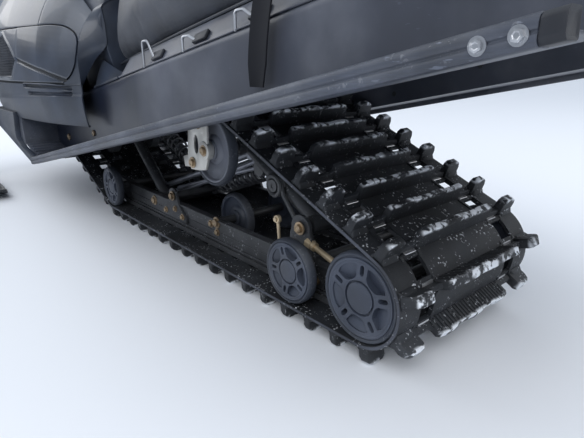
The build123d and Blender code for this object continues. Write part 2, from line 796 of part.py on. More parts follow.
def tunnel():
    """Folded tunnel: two sides, a top and a front plate."""
    outer = prism("y", tunnel_outline(0, TUNNEL_REAR, TUNNEL_FRONT, BOARD_THICKNESS),
                  -TUNNEL_HALF_WIDTH, TUNNEL_HALF_WIDTH)
    inner = prism("y", tunnel_outline(TUNNEL_WALL, TUNNEL_REAR - 1, TUNNEL_FRONT - TUNNEL_WALL, 200.0),
                  -TUNNEL_INNER_Y, TUNNEL_INNER_Y)
    holes = [rod((ACCESSORY_STATION, y, tunnel_top(ACCESSORY_STATION) - 20),
                 (ACCESSORY_STATION, y, tunnel_top(ACCESSORY_STATION) + 20), ACCESSORY_HOLE_RADIUS)
             for y in (-ACCESSORY_Y, ACCESSORY_Y)]
    return [cut(outer, [inner, *shaft_bores(), *holes])]


def board():
    """Left running board and its edge beam, one extrusion along the slope."""
    top = beam_top(BEAM_REAR)
    tread = board_top(BEAM_REAR)
    inner = BEAM_OUTER_Y - BEAM_WIDTH
    outline = [
        (BOARD_INNER_Y, tread - BOARD_THICKNESS),
        (inner, tread - BOARD_THICKNESS),
        (inner, top - BEAM_DEPTH),
        (BEAM_OUTER_Y, top - BEAM_DEPTH),
        (BEAM_OUTER_Y, top),
        (inner, top),
        (inner, tread),
        (BOARD_INNER_Y, tread),
    ]
    face = Face(Wire.make_polygon([(BEAM_REAR, y, z) for y, z in outline]))
    run = BEAM_FRONT - BEAM_REAR
    return Solid.extrude(face, Vector(run, 0, run * BOARD_SLOPE))


def board_end_cap():
    """Plug on the rear end of the left edge beam."""
    top = beam_top(BEAM_REAR)
    inner = BEAM_OUTER_Y - BEAM_WIDTH
    face = Face(Wire.make_polygon([(BEAM_REAR, y, z) for y, z in
                                   [(inner, top - BEAM_DEPTH), (BEAM_OUTER_Y, top - BEAM_DEPTH),
                                    (BEAM_OUTER_Y, top), (inner, top)]]))
    return Solid.extrude(face, Vector(-END_CAP_LENGTH, 0, -END_CAP_LENGTH * BOARD_SLOPE))


def rear_bumper():
    """Grab tube behind the tunnel, fixed outside its sides."""
    side = TUNNEL_HALF_WIDTH + BUMPER_RADIUS + FIT
    root = tunnel_top(BUMPER_ROOT_STATION) - 30.0
    left = [(BUMPER_ROOT_STATION, side, root), (TUNNEL_REAR - 24.0, side, BUMPER_HEIGHT - 14.0),
            (BUMPER_REACH, BUMPER_HALF_WIDTH, BUMPER_HEIGHT)]
    right = [(x, -y, z) for x, y, z in reversed(left)]
    return [bent_tube([*left, *right], BUMPER_RADIUS, 32.0)]


def snow_flap():
    """Hanging flap behind the track."""
    top = tunnel_top(TUNNEL_REAR) - TUNNEL_WALL
    foot = TUNNEL_REAR - FLAP_LEAN
    outline = [
        (TUNNEL_REAR, top),
        (TUNNEL_REAR - FLAP_THICKNESS, top),
        (foot - FLAP_THICKNESS, top - FLAP_LENGTH),
        (foot, top - FLAP_LENGTH),
    ]
    return [prism("y", outline, -FLAP_HALF_WIDTH, FLAP_HALF_WIDTH)]


def cooler():
    """Heat exchanger under the tunnel's top, at the rear."""
    rear = TUNNEL_REAR + COOLER_INSET
    front = rear + COOLER_LENGTH
    rear_top = tunnel_top(rear) - TUNNEL_WALL
    front_top = tunnel_top(front) - TUNNEL_WALL
    outline = [(rear, rear_top), (rear, rear_top - COOLER_DEPTH),
               (front, front_top - COOLER_DEPTH), (front, front_top)]
    return [prism("y", outline, -COOLER_HALF_WIDTH, COOLER_HALF_WIDTH)]


def seat_base():
    """Moulded base of the seat on the tunnel's top."""
    rear = SEAT_REAR + SEAT_BASE_INSET
    front = SEAT_FRONT - SEAT_BASE_INSET
    outline = [(rear, tunnel_top(rear)), (front, tunnel_top(front)),
               (front, tunnel_top(front) + SEAT_BASE_DEPTH), (rear, tunnel_top(rear) + SEAT_BASE_DEPTH)]
    return [prism("y", outline, -SEAT_BASE_HALF_WIDTH, SEAT_BASE_HALF_WIDTH)]


def mirror_section(half):
    """Closed section from the points of its left half, listed from the bottom middle to the top middle."""
    right = [(x, -y, z) for x, y, z in reversed(half) if y > 0]
    return [*half, *right]


def seat_cushion():
    """Long seat cushion."""
    sections = []
    for station, foot_half, rise, waist_half, top, top_half in SEAT_SECTIONS:
        foot = tunnel_top(station) + SEAT_BASE_DEPTH + FIT + rise
        waist = foot + SEAT_WAIST_RISE
        sections.append(mirror_section([
            (station, foot_half, foot), (station, waist_half, waist), (station, top_half, top)]))
    return [sections_loft(sections)]


def tail_lamp():
    """Lamp behind the seat, on the tunnel's top."""
    front = SEAT_REAR - FIT
    rear = front - LAMP_LENGTH
    outline = [(rear, tunnel_top(rear)), (front, tunnel_top(front)),
               (front, tunnel_top(front) + SEAT_BASE_DEPTH + LAMP_DEPTH + LAMP_RAKE),
               (rear, tunnel_top(rear) + SEAT_BASE_DEPTH + LAMP_DEPTH)]
    return [prism("y", outline, -LAMP_HALF_WIDTH, LAMP_HALF_WIDTH)]


def console():
    """Fuel tank cover between the seat and the hood."""
    sections = []
    for station, foot_half, waist, waist_half, top, top_half in CONSOLE_SECTIONS:
        foot = tunnel_top(station)
        sections.append(mirror_section([
            (station, foot_half, foot), (station, waist_half, waist), (station, top_half, top)]))
    return [sections_loft(sections)]


def body_outline(row, inset):
    """Closed section of the body, drawn in by an inset."""
    station, belly, belly_half, low, low_half, high, high_half, top, top_half = row
    return mirror_section([
        (station, belly_half - 0.6 * inset, belly + inset),
        (station, low_half - inset, low),
        (station, high_half - inset, high - 0.3 * inset),
        (station, top_half - 0.6 * inset, top - inset),
    ])


def body_solid(inset, overrun):
    """Solid front body, drawn in by an inset, its rear end pushed back by an overrun."""
    rows = [list(row) for row in BODY_SECTIONS]
    rows[0][0] -= overrun
    rows[-1][0] -= inset
    return sections_loft([body_outline(row, inset) for row in rows])


def body_shell():
    """Thin skin of the front body, open at its rear end."""
    return cut(body_solid(0.0, 0.0), [body_solid(SHELL_WALL, 1.0)])


def door_zone(grow):
    """Space of the left side panel, grown all round by an amount."""
    return block((DOOR_REAR - grow, DOOR_FRONT + grow), (CRADLE_HALF_WIDTH, SKI_Y),
                 (DOOR_FOOT - grow, DOOR_TOP + grow))


def vent_slots():
    """Slanting openings between the bars of the left side panel's vent."""
    stations = [station for station, _ in VENT_CORNERS]
    foot = min(height for _, height in VENT_CORNERS)
    top = max(height for _, height in VENT_CORNERS)
    zone = prism("y", VENT_CORNERS, CRADLE_HALF_WIDTH, SKI_Y)
    bars = []
    count = ceil((max(stations) - min(stations) + VENT_LEAN) / VENT_PITCH)
    for place in range(1, count):
        station = min(stations) - VENT_LEAN + place * VENT_PITCH
        outline = [(station, foot - 1), (station + VENT_BAR, foot - 1),
                   (station + VENT_BAR + VENT_LEAN, top + 1), (station + VENT_LEAN, top + 1)]
        bars.append(prism("y", outline, CRADLE_HALF_WIDTH - 1, SKI_Y + 1))
    return cut(zone, bars)


def suspension_window():
    """Opening in the left flank for the wishbones, the shock absorber and the tie rod."""
    return block((WINDOW_REAR, WINDOW_FRONT), (WINDOW_Y, SKI_Y), (WINDOW_FOOT, WINDOW_TOP))


def hinge_barrel(low, high, leaf_station):
    """Part of a side panel's hinge barrel with its leaf, whose edge reaches leaf_station."""
    barrel = rod((HINGE_STATION, HINGE_Y, low), (HINGE_STATION, HINGE_Y, high), HINGE_RADIUS)
    near, far = sorted((HINGE_STATION, leaf_station))
    leaf = block((near, far), (HINGE_Y - HINGE_RADIUS - 9.0, HINGE_Y - 2.0), (low, high))
    return fused([barrel, leaf])


def side_panel():
    """Left hinged side panel with its hinge knuckle."""
    skin = cut(common(body_shell(), door_zone(0.0)), [vent_slots()])
    low = HINGE_FOOT + HINGE_KNUCKLE + WASHER_GAP
    high = HINGE_TOP - HINGE_KNUCKLE - WASHER_GAP
    knuckle = hinge_barrel(low, high, DOOR_FRONT - 26.0)
    hole = rod((HINGE_STATION, HINGE_Y, low - 1), (HINGE_STATION, HINGE_Y, high + 1), HINGE_PIN_RADIUS + FIT)
    clear = rod((HINGE_STATION, HINGE_Y, low - 1), (HINGE_STATION, HINGE_Y, high + 1), HINGE_RADIUS + 1.0)
    inside = body_solid(SHELL_WALL, 1.0)
    skin = cut(skin, [clear])
    return cut(fused([skin, cut(knuckle, [inside])]), [hole])


def fixed_hinge():
    """Pin and outer knuckles of the left side panel's hinge, on the hood's flank."""
    pin = rod((HINGE_STATION, HINGE_Y, HINGE_FOOT), (HINGE_STATION, HINGE_Y, HINGE_TOP), HINGE_PIN_RADIUS)
    pieces = [pin]
    for low in (HINGE_FOOT, HINGE_TOP - HINGE_KNUCKLE):
        pieces.append(hinge_barrel(low, low + HINGE_KNUCKLE, DOOR_FRONT + 34.0))
    return cut(fused(pieces), [body_solid(SHELL_WALL, 1.0)])


def steering_axis_point(height):
    """Point on the steering column's axis at a height."""
    share = (height - HEAD_HEIGHT) / (BAR_HEIGHT - HEAD_HEIGHT)
    return Vector(HEAD_STATION + share * (BAR_STATION - HEAD_STATION), 0, height)


def column_clearance():
    """Space that the steering column turns in."""
    return rod(steering_axis_point(HEAD_HEIGHT - 80.0), steering_axis_point(BAR_HEIGHT - 20.0),
               COLUMN_RADIUS + MOVING_GAP)


def front_skin():
    """Whole skin of the body with the windows, door openings and column hole taken out."""
    tools = [*both_sides(door_zone(MOVING_GAP)), *both_sides(suspension_window()), column_clearance()]
    return cut(body_shell(), tools)


def hood_zone(low_y, high_y):
    """Space of the upper body ahead of the cowl, between two distances from the middle plane."""
    return block((BODY_SPLIT_STATION + PANEL_SEAM, SKI_TIP), (low_y, high_y), (BELLY_SEAM_HEIGHT, BAR_HEIGHT))


def hood():
    """Middle panel of the upper body, over the engine and down the nose."""
    return [common(front_skin(), hood_zone(-HOOD_SEAM_Y, HOOD_SEAM_Y))]


def hood_side():
    """Left shoulder of the upper body, with the fixed part of the side panel's hinge."""
    skin = common(front_skin(), hood_zone(HOOD_SEAM_Y + PANEL_SEAM, SKI_Y))
    return fused([*skin.solids(), fixed_hinge()])


def cowl():
    """Rear part of the body beside the console, behind the hood's edge."""
    zone = block((0, BODY_SPLIT_STATION), (-SKI_Y, SKI_Y), (BELLY_SEAM_HEIGHT, BAR_HEIGHT))
    room = block((0, BODY_SPLIT_STATION + 1), (-CONSOLE_ROOM, CONSOLE_ROOM), (0, BAR_HEIGHT))
    return [cut(common(front_skin(), zone), [room])]


def low_skin(low_y, high_y):
    """Lower body between two distances from the middle plane, without what lies under the wings."""
    zone = block((0, SKI_TIP), (low_y, high_y), (0, BELLY_SEAM_HEIGHT - PANEL_SEAM))
    under_wing = block((0, TUNNEL_FRONT + FIT), (-SKI_Y, SKI_Y), (0, WING_FOOT_HEIGHT))
    return cut(common(front_skin(), zone), [under_wing])


def belly_pan():
    """Tub under the engine, from the tunnel's front up to the nose."""
    return [low_skin(-PAN_SEAM_Y, PAN_SEAM_Y)]


def pan_side():
    """Left flank of the lower body, with its wing beside the tunnel, its foot wall and its toe hold."""
    rear = TUNNEL_FRONT + 2 * FIT
    wall_zone = block((rear, rear + FOOT_WALL), (CRADLE_HALF_WIDTH + FIT, SKI_Y),
                      (0, BELLY_SEAM_HEIGHT - PANEL_SEAM))
    wall = common(body_solid(0.0, 0.0), wall_zone)
    return fused([*low_skin(PAN_SEAM_Y + PANEL_SEAM, SKI_Y).solids(), wall, toe_hold()])


def toe_hold():
    """Left strip of the lower body that comes down to the front end of the edge beam."""
    start = BEAM_FRONT + FIT
    foot = beam_top(TOE_HOLD_CORNER) - BEAM_DEPTH
    climb = TOE_HOLD_RISE * (TOE_HOLD_END - TOE_HOLD_CORNER)
    outline = [(start, beam_top(start) - BEAM_DEPTH), (TOE_HOLD_CORNER, foot), (TOE_HOLD_END, foot + climb),
               (TOE_HOLD_END, foot + climb + TOE_HOLD_DEPTH), (TOE_HOLD_CORNER, foot + TOE_HOLD_DEPTH),
               (start, beam_top(start))]
    strip = prism("y", outline, BEAM_OUTER_Y - BEAM_WIDTH, BEAM_OUTER_Y - BEAM_WIDTH + TOE_HOLD_WIDTH)
    return cut(strip, [body_solid(SHELL_WALL, 1.0)])


def engine_block():
    """Engine, at its true place and size."""
    half = ENGINE_HALF_WIDTH
    return [block((ENGINE_REAR, ENGINE_FRONT), (-half, half), (ENGINE_FOOT, ENGINE_TOP))]


def frame_front():
    """Cradle under the engine, bulkhead and the spars that carry the steering head."""
    floor_height = BODY_SECTIONS[3][1] + SHELL_WALL + FIT
    cradle = block((TUNNEL_FRONT, BULKHEAD_REAR), (-CRADLE_HALF_WIDTH, CRADLE_HALF_WIDTH),
                   (ENGINE_FOOT - CRADLE_PLATE, ENGINE_FOOT))
    front_plate = block((TUNNEL_FRONT, TUNNEL_FRONT + CRADLE_PLATE), (-CRADLE_HALF_WIDTH, CRADLE_HALF_WIDTH),
                        (floor_height, tunnel_top(TUNNEL_FRONT)))
    box_outer = block((BULKHEAD_REAR, BULKHEAD_FRONT), (-BULKHEAD_HALF_WIDTH, BULKHEAD_HALF_WIDTH),
                      (ENGINE_FOOT, BULKHEAD_TOP))
    box_inner = block((BULKHEAD_REAR - 1, BULKHEAD_FRONT + 1),
                      (CRADLE_PLATE - BULKHEAD_HALF_WIDTH, BULKHEAD_HALF_WIDTH - CRADLE_PLATE),
                      (ENGINE_FOOT + CRADLE_PLATE, BULKHEAD_TOP - CRADLE_PLATE))
    tongue = block((BULKHEAD_REAR - 1, BULKHEAD_FRONT), (-BULKHEAD_HALF_WIDTH, BULKHEAD_HALF_WIDTH),
                   (ENGINE_FOOT - CRADLE_PLATE, ENGINE_FOOT))
    top_bar_y = BULKHEAD_HALF_WIDTH + TOP_BAR_REACH
    top_bar = shaft((SHOCK_HEAD_STATION, BULKHEAD_TOP), SPAR_RADIUS, -top_bar_y, top_bar_y)
    head = steering_axis_point(HEAD_HEIGHT)
    way = (steering_axis_point(BAR_HEIGHT) - head).normalized()
    half = HEAD_SLEEVE_LENGTH / 2
    head_sleeve = rod(head - way * half, head + way * half, HEAD_SLEEVE_RADIUS)
    bar = rod((head.X, -SPAR_ELBOW_Y, head.Z), (head.X, SPAR_ELBOW_Y, head.Z), SPAR_RADIUS)
    foot_station = TUNNEL_FRONT - SPAR_INSET
    spars = []
    for side in (-1, 1):
        elbow = Vector(head.X, side * SPAR_ELBOW_Y, head.Z)
        foot = Vector(foot_station, side * SPAR_FOOT_Y, tunnel_top(foot_station) + SPAR_RADIUS)
        nose = Vector(BULKHEAD_REAR + SPAR_INSET / 2, side * SPAR_NOSE_Y, BULKHEAD_TOP)
        spars.extend([rod(elbow, foot, SPAR_RADIUS), rod(elbow, nose, SPAR_RADIUS)])
    top_cut = block((0, TUNNEL_FRONT), (-CRADLE_HALF_WIDTH, CRADLE_HALF_WIDTH),
                    (0, tunnel_top(TUNNEL_FRONT) - 20))
    bore = column_clearance_bore()
    inside = body_solid(SHELL_WALL + FIT, 0.0)
    box = common(fused([cut(box_outer, [box_inner]), tongue]), inside)
    frame = fused([cradle, front_plate, box, top_bar, head_sleeve, bar, *spars])
    return [cut(frame, [bore, top_cut, tunnel_cover()])]


def column_clearance_bore():
    """Bearing bore of the steering head."""
    reach = HEAD_SLEEVE_LENGTH + 10.0
    return rod(steering_axis_point(HEAD_HEIGHT - reach), steering_axis_point(HEAD_HEIGHT + reach),
               COLUMN_RADIUS + FIT)


def tunnel_cover():
    """Everything below the tunnel's top face, over the tunnel's length."""
    return prism("y", [(TUNNEL_REAR, 0), (TUNNEL_REAR, tunnel_top(TUNNEL_REAR)),
                       (TUNNEL_FRONT, tunnel_top(TUNNEL_FRONT)), (TUNNEL_FRONT, 0)],
                 -TUNNEL_HALF_WIDTH, TUNNEL_HALF_WIDTH)


def pane_section(rows, height):
    """Closed section of the windshield at a height, from the points of its outer face."""
    inner = [(x - SHELL_WALL, y * WINDSHIELD_TAPER) for x, y in reversed(rows)]
    return Wire.make_polygon([(x, y, height) for x, y in [*rows, *inner]])


def windshield():
    """Clear windshield standing on the hood."""
    base = [(1420, -236), (1548, -120), (1548, 120), (1420, 236)]
    crest = [(1276, -172), (1352, -92), (1352, 92), (1276, 172)]
    sections = [pane_section(base, WINDSHIELD_FOOT), pane_section(crest, WINDSHIELD_CREST)]
    return [cut(Solid.make_loft(sections, ruled=True), [body_solid(-FIT, 0.0)])]


def dash():
    """Instrument pod ahead of the handlebar."""
    outline = [(1330, WINDSHIELD_FOOT), (1352, 880), (1440, 872), (1450, WINDSHIELD_FOOT)]
    pod = prism("y", outline, -DASH_HALF_WIDTH, DASH_HALF_WIDTH)
    return [cut(pod, [body_solid(-FIT, 0.0), column_clearance()])]


def headlamps():
    """Two lamps let into the hood's sloping front."""
    return both_sides(headlamp())


def headlamp():
    """Left lamp, standing just proud of the hood."""
    zone = block(*LAMP_ZONE, (BELLY_SEAM_HEIGHT, BAR_HEIGHT))
    outer = common(body_solid(-LAMP_PROUD, 0.0), zone)
    return cut(outer, [body_solid(-FIT, 0.0)])


def front_bumper():
    """Tube loop at the nose."""
    nose = BODY_SECTIONS[-1][0] + FIT
    reach = nose + NOSE_LOOP_REACH
    left = [(nose, NOSE_LOOP_Y, NOSE_LOOP_FOOT), (reach, NOSE_LOOP_Y, NOSE_LOOP_TOP)]
    right = [(x, -y, z) for x, y, z in reversed(left)]
    return [cut(bent_tube([*left, *right], BUMPER_RADIUS, NOSE_LOOP_BEND), [body_solid(-FIT, 0.0)])]


def wishbone(height):
    """Left A-arm at a height: an eye round the spindle and two legs to the bulkhead."""
    eye = rod((SPINDLE_STATION, SPINDLE_Y, height - EYE_LENGTH / 2),
              (SPINDLE_STATION, SPINDLE_Y, height + EYE_LENGTH / 2), EYE_RADIUS)
    pivot = WISHBONE_RADIUS + WISHBONE_PIVOT_RIM
    root = BULKHEAD_HALF_WIDTH + pivot + FIT
    pieces = [eye]
    for station in (WISHBONE_REAR, WISHBONE_FRONT):
        pieces.append(rod((SPINDLE_STATION, SPINDLE_Y, height), (station, root, height), WISHBONE_RADIUS))
        pieces.append(rod((station - WISHBONE_PIVOT_HALF, root, height),
                          (station + WISHBONE_PIVOT_HALF, root, height), pivot))
    bore = rod((SPINDLE_STATION, SPINDLE_Y, 0), (SPINDLE_STATION, SPINDLE_Y, SPINDLE_TOP),
               SPINDLE_RADIUS + FIT)
    return cut(fused(pieces), [bore])


def wishbones():
    """Upper and lower A-arms of the left side."""
    return [wishbone(LOWER_ARM_HEIGHT), wishbone(UPPER_ARM_HEIGHT)]


def front_shock():
    """Left front shock absorber, from the lower A-arm's legs to the bulkhead's top bar."""
    low = Vector(SHOCK_FOOT_STATION, SHOCK_FOOT_Y, LOWER_ARM_HEIGHT + WISHBONE_RADIUS + FIT)
    high = Vector(SHOCK_HEAD_STATION, BULKHEAD_HALF_WIDTH + SHOCK_HEAD_REACH,
                  BULKHEAD_TOP - SPAR_RADIUS - FIT)
    way = (high - low).normalized()
    span = (high - low).length
    pin = Vector(0, 0, SHOCK_PIN_RADIUS)
    foot_pin = rod(low + pin - Vector(34, 0, 0), low + pin + Vector(46, 0, 0), SHOCK_PIN_RADIUS)
    solid = fused([rod(low + pin, high, ROD_RADIUS), foot_pin,
                   rod(low + way * (0.3 * span), low + way * (0.85 * span), FRONT_SHOCK_RADIUS)])
    top_bar = rod((SHOCK_HEAD_STATION, 0, BULKHEAD_TOP), (SHOCK_HEAD_STATION, SKI_Y, BULKHEAD_TOP),
                  SPAR_RADIUS + FIT)
    under = block((0, SKI_TIP), (0, SKI_Y), (0, LOWER_ARM_HEIGHT + WISHBONE_RADIUS + FIT))
    return cut(solid, [top_bar, under])


def steering_column():
    """Column from the steering head to the bar clamp."""
    head = steering_axis_point(HEAD_HEIGHT)
    top = steering_axis_point(BAR_HEIGHT)
    way = (top - head).normalized()
    half = HEAD_SLEEVE_LENGTH / 2
    post = rod(head - way * (half + 14), top - way * (BAR_RADIUS + 2), COLUMN_RADIUS)
    near = half + FIT
    far = half + COLLAR_LENGTH
    collars = [rod(head + way * near, head + way * far, COLUMN_RADIUS + COLLAR_RIM),
               rod(head - way * far, head - way * near, COLUMN_RADIUS + COLLAR_RIM)]
    clamp = rod((top.X, -CLAMP_HALF_WIDTH, top.Z), (top.X, CLAMP_HALF_WIDTH, top.Z), CLAMP_RADIUS)
    reach = CLAMP_HALF_WIDTH + 1
    solid = fused([post, *collars, clamp])
    return [cut(solid, [rod((top.X, -reach, top.Z), (top.X, reach, top.Z), BAR_RADIUS + FIT / 2)])]


def bar_points():
    """Route of the handlebar from the middle to its left end."""
    return [(BAR_STATION, 0, BAR_HEIGHT), (BAR_STATION, 96, BAR_HEIGHT),
            (BAR_STATION - 10, 196, BAR_HEIGHT + BAR_RISE),
            (BAR_STATION - BAR_SWEEP, BAR_HALF_WIDTH, BAR_HEIGHT + BAR_RISE - 18)]


def handlebar():
    """Bent handlebar."""
    left = bar_points()
    right = [(x, -y, z) for x, y, z in reversed(left[1:])]
    return [bent_tube([*right, *left[1:]], BAR_RADIUS, 40.0)]


def grip_line(start, end):
    """Points on the bar's outer run, measured inward from its end."""
    outer = Vector(bar_points()[3])
    inner = Vector(bar_points()[2])
    way = (inner - outer).normalized()
    return outer + way * start, outer + way * end


def grips():
    """Rubber grips."""
    start, end = grip_line(0.0, GRIP_LENGTH)
    sleeve_solid = rod(start, end, GRIP_RADIUS)
    hole_start, hole_end = grip_line(-1.0, GRIP_LENGTH + 1.0)
    return both_sides(cut(sleeve_solid, [rod(hole_start, hole_end, BAR_RADIUS + FIT / 2)]))


def hand_controls():
    """Lever housings with their levers."""
    start, end = grip_line(GRIP_LENGTH + 2.0, GRIP_LENGTH + 34.0)
    housing = rod(start, end, GRIP_RADIUS + 4)
    root = (start + end) / 2 + Vector(20, 0, 0)
    tip = grip_line(30.0, 0.0)[0] + Vector(44, 0, -4)
    lever = fused([rod(root, root + Vector(24, 2, 0), 6.0), rod(root + Vector(24, 0, 0), tip, 5.0)])
    bore = rod(*grip_line(-1.0, GRIP_LENGTH + 50.0), BAR_RADIUS + FIT / 2)
    return both_sides(cut(fused([housing, lever]), [bore]))


def spindle():
    """Left spindle: post, steering arm and foot."""
    station = SPINDLE_STATION
    post = rod((station, SPINDLE_Y, SPINDLE_FOOT), (station, SPINDLE_Y, SPINDLE_TOP), SPINDLE_RADIUS)
    foot_y = (SKI_Y - SADDLE_GAP / 2 + FIT, SKI_Y + SADDLE_GAP / 2 - FIT)
    ear_top = SKI_BOLT_HEIGHT + SADDLE_LIP + MOVING_GAP
    leg_top = LOWER_ARM_HEIGHT - EYE_LENGTH
    outline = [(SPINDLE_Y - 14, SPINDLE_FOOT + 24), (SPINDLE_Y + 10, leg_top), (SPINDLE_Y + 34, leg_top),
               (foot_y[1], SPINDLE_FOOT), (foot_y[1], SKI_BOLT_HEIGHT - 20),
               (foot_y[0], SKI_BOLT_HEIGHT - 20), (foot_y[0], ear_top)]
    leg = prism("x", outline, station - 18, station + 18)
    low = STEER_ARM_HEIGHT
    high = STEER_ARM_HEIGHT + STEER_ARM_DEPTH
    half = STEER_ARM_WIDTH / 2
    arm = block((station - STEER_ARM_REACH - 14, station), (SPINDLE_Y - half, SPINDLE_Y + half), (low, high))
    pin = rod((station - STEER_ARM_REACH, SPINDLE_Y, low),
              (station - STEER_ARM_REACH, SPINDLE_Y, high + 2 * TIE_ROD_EYE), STEER_PIN_RADIUS)
    collar = rod((station, SPINDLE_Y, low - STEER_COLLAR_LIP), (station, SPINDLE_Y, high + STEER_COLLAR_TOP),
                 SPINDLE_RADIUS + STEER_COLLAR_RIM)
    hole = rod((station, SKI_Y - SKI_WIDTH, SKI_BOLT_HEIGHT), (station, SKI_Y + SKI_WIDTH, SKI_BOLT_HEIGHT),
               SKI_BOLT_RADIUS + FIT)
    return cut(fused([post, leg, arm, pin, collar]), [hole])


def tie_rod():
    """Left tie rod, from the steering arm's pin to the middle of the frame."""
    half = TIE_ROD_RADIUS + EYE_LIP
    height = STEER_ARM_HEIGHT + STEER_ARM_DEPTH + FIT + half
    station = SPINDLE_STATION - STEER_ARM_REACH
    bar = rod((station, TIE_ROD_INNER_Y, height), (station, SPINDLE_Y, height), TIE_ROD_RADIUS)
    eyes = [rod((station, y, height - half), (station, y, height + half), TIE_ROD_EYE)
            for y in (SPINDLE_Y, TIE_ROD_INNER_Y)]
    pin = rod((station, SPINDLE_Y, STEER_ARM_HEIGHT), (station, SPINDLE_Y, SPINDLE_TOP),
              STEER_PIN_RADIUS + FIT)
    return cut(fused([bar, *eyes]), [pin])


def ski_sole(low, plate):
    """Bent plate of the ski: tail, flat run and turned-up tip, between two heights of its flat run."""
    turn = asin((SKI_TIP - SKI_BEND_STATION) / SKI_BEND_RADIUS)
    y = SKI_Y - SKI_WIDTH / 2
    centre = (SKI_BEND_STATION, low + SKI_BEND_RADIUS)

    def arc(radius, angles):
        return [Vector(centre[0] + radius * sin(a), y, centre[1] - radius * cos(a)) for a in angles]
    outer = arc(SKI_BEND_RADIUS, (0, turn / 2, turn))
    inner = arc(SKI_BEND_RADIUS - plate, (turn, turn / 2, 0))
    bend = SKI_TAIL + SKI_TAIL_RUN
    tail_low = [Vector(SKI_TAIL, y, low + SKI_TAIL_RISE), Vector(bend, y, low)]
    tail_high = [Vector(bend, y, low + plate), Vector(SKI_TAIL, y, low + plate + SKI_TAIL_RISE)]
    edges = [
        Edge.make_line(*tail_low),
        Edge.make_line(tail_low[1], outer[0]),
        Edge.make_three_point_arc(*outer),
        Edge.make_line(outer[2], inner[0]),
        Edge.make_three_point_arc(*inner),
        Edge.make_line(inner[2], tail_high[0]),
        Edge.make_line(*tail_high),
        Edge.make_line(tail_high[1], tail_low[0]),
    ]
    return Solid.extrude(Face(Wire(edges)), Vector(0, SKI_WIDTH, 0))


def ski_saddle(low):
    """Two ears on the left ski and the bolt through them."""
    top = SKI_BOLT_HEIGHT + SADDLE_LIP
    ear = [(SPINDLE_STATION - SADDLE_LENGTH, low), (SPINDLE_STATION + SADDLE_LENGTH, low),
           (SPINDLE_STATION + SADDLE_EAR_HALF, top), (SPINDLE_STATION - SADDLE_EAR_HALF, top)]
    pieces = []
    for side in (-1, 1):
        near = SKI_Y + side * SADDLE_GAP / 2
        far = near + side * SADDLE_WALL
        pieces.append(prism("y", ear, min(near, far), max(near, far)))
    reach = SADDLE_GAP / 2 + 2 * SADDLE_WALL
    pieces.append(shaft((SPINDLE_STATION, SKI_BOLT_HEIGHT), SKI_BOLT_RADIUS, SKI_Y - reach, SKI_Y + reach))
    return pieces


def ski():
    """Left ski with its keel, side flanges, saddle, bolt and tip loop."""
    low = KEEL_DEPTH
    half = SKI_WIDTH / 2
    left = [(SKI_TIP, 0.44 * half), (SKI_TIP - 170, half), (SKI_TAIL + 40, half), (SKI_TAIL, 0.79 * half)]
    plan = [(x, SKI_Y + y) for x, y in left] + [(x, SKI_Y - y) for x, y in reversed(left)]
    sole = common(ski_sole(low, SKI_PLATE), prism("z", plan, 0, SPINDLE_TOP))
    keel_half = KEEL_WIDTH / 2
    keel = block((SKI_TAIL + 90, SKI_BEND_STATION), (SKI_Y - keel_half, SKI_Y + keel_half), (0, low))
    pieces = [sole, keel, *ski_saddle(low)]
    rib_top = low + SKI_RIB_HEIGHT
    rib = [(SKI_TAIL + 70, low), (SKI_BEND_STATION + 40, low), (SKI_BEND_STATION - 60, rib_top),
           (SKI_TAIL + 130, rib_top)]
    for side in (-1, 1):
        edge = SKI_Y + side * (half - SKI_RIB_INSET)
        pieces.append(prism("y", rib, edge - SKI_RIB_HALF, edge + SKI_RIB_HALF))
    loop = [(SKI_TIP - 34, SKI_Y, low + 92), (SKI_TIP - 74, SKI_Y, low + 214),
            (SKI_BEND_STATION + 20, SKI_Y, low + 116), (SKI_BEND_STATION - 4, SKI_Y, low)]
    pieces.append(bent_tube(loop, SKI_LOOP_RADIUS, SKI_LOOP_BEND))
    return fused(pieces)


def strap():
    """Webbing strap that hangs from the seat's left side over the tunnel's edge."""
    half = STRAP_WIDTH / 2
    route = [
        # station, y, height
        (146, SEAT_SECTIONS[1][3] + 2 * FIT, tunnel_top(146) + SEAT_BASE_DEPTH + SEAT_WAIST_RISE),
        (152, TUNNEL_HALF_WIDTH + 5, tunnel_top(152) + 24),
        (156, TUNNEL_HALF_WIDTH + 8, tunnel_top(156) - 6),
        (190, TUNNEL_HALF_WIDTH + 10, 428),
    ]
    sections = []
    for x, y, z in route:
        far = y + STRAP_THICKNESS
        sections.append([(x - half, y, z), (x + half, y, z), (x + half, far, z), (x - half, far, z)])
    return [sections_loft(sections)]


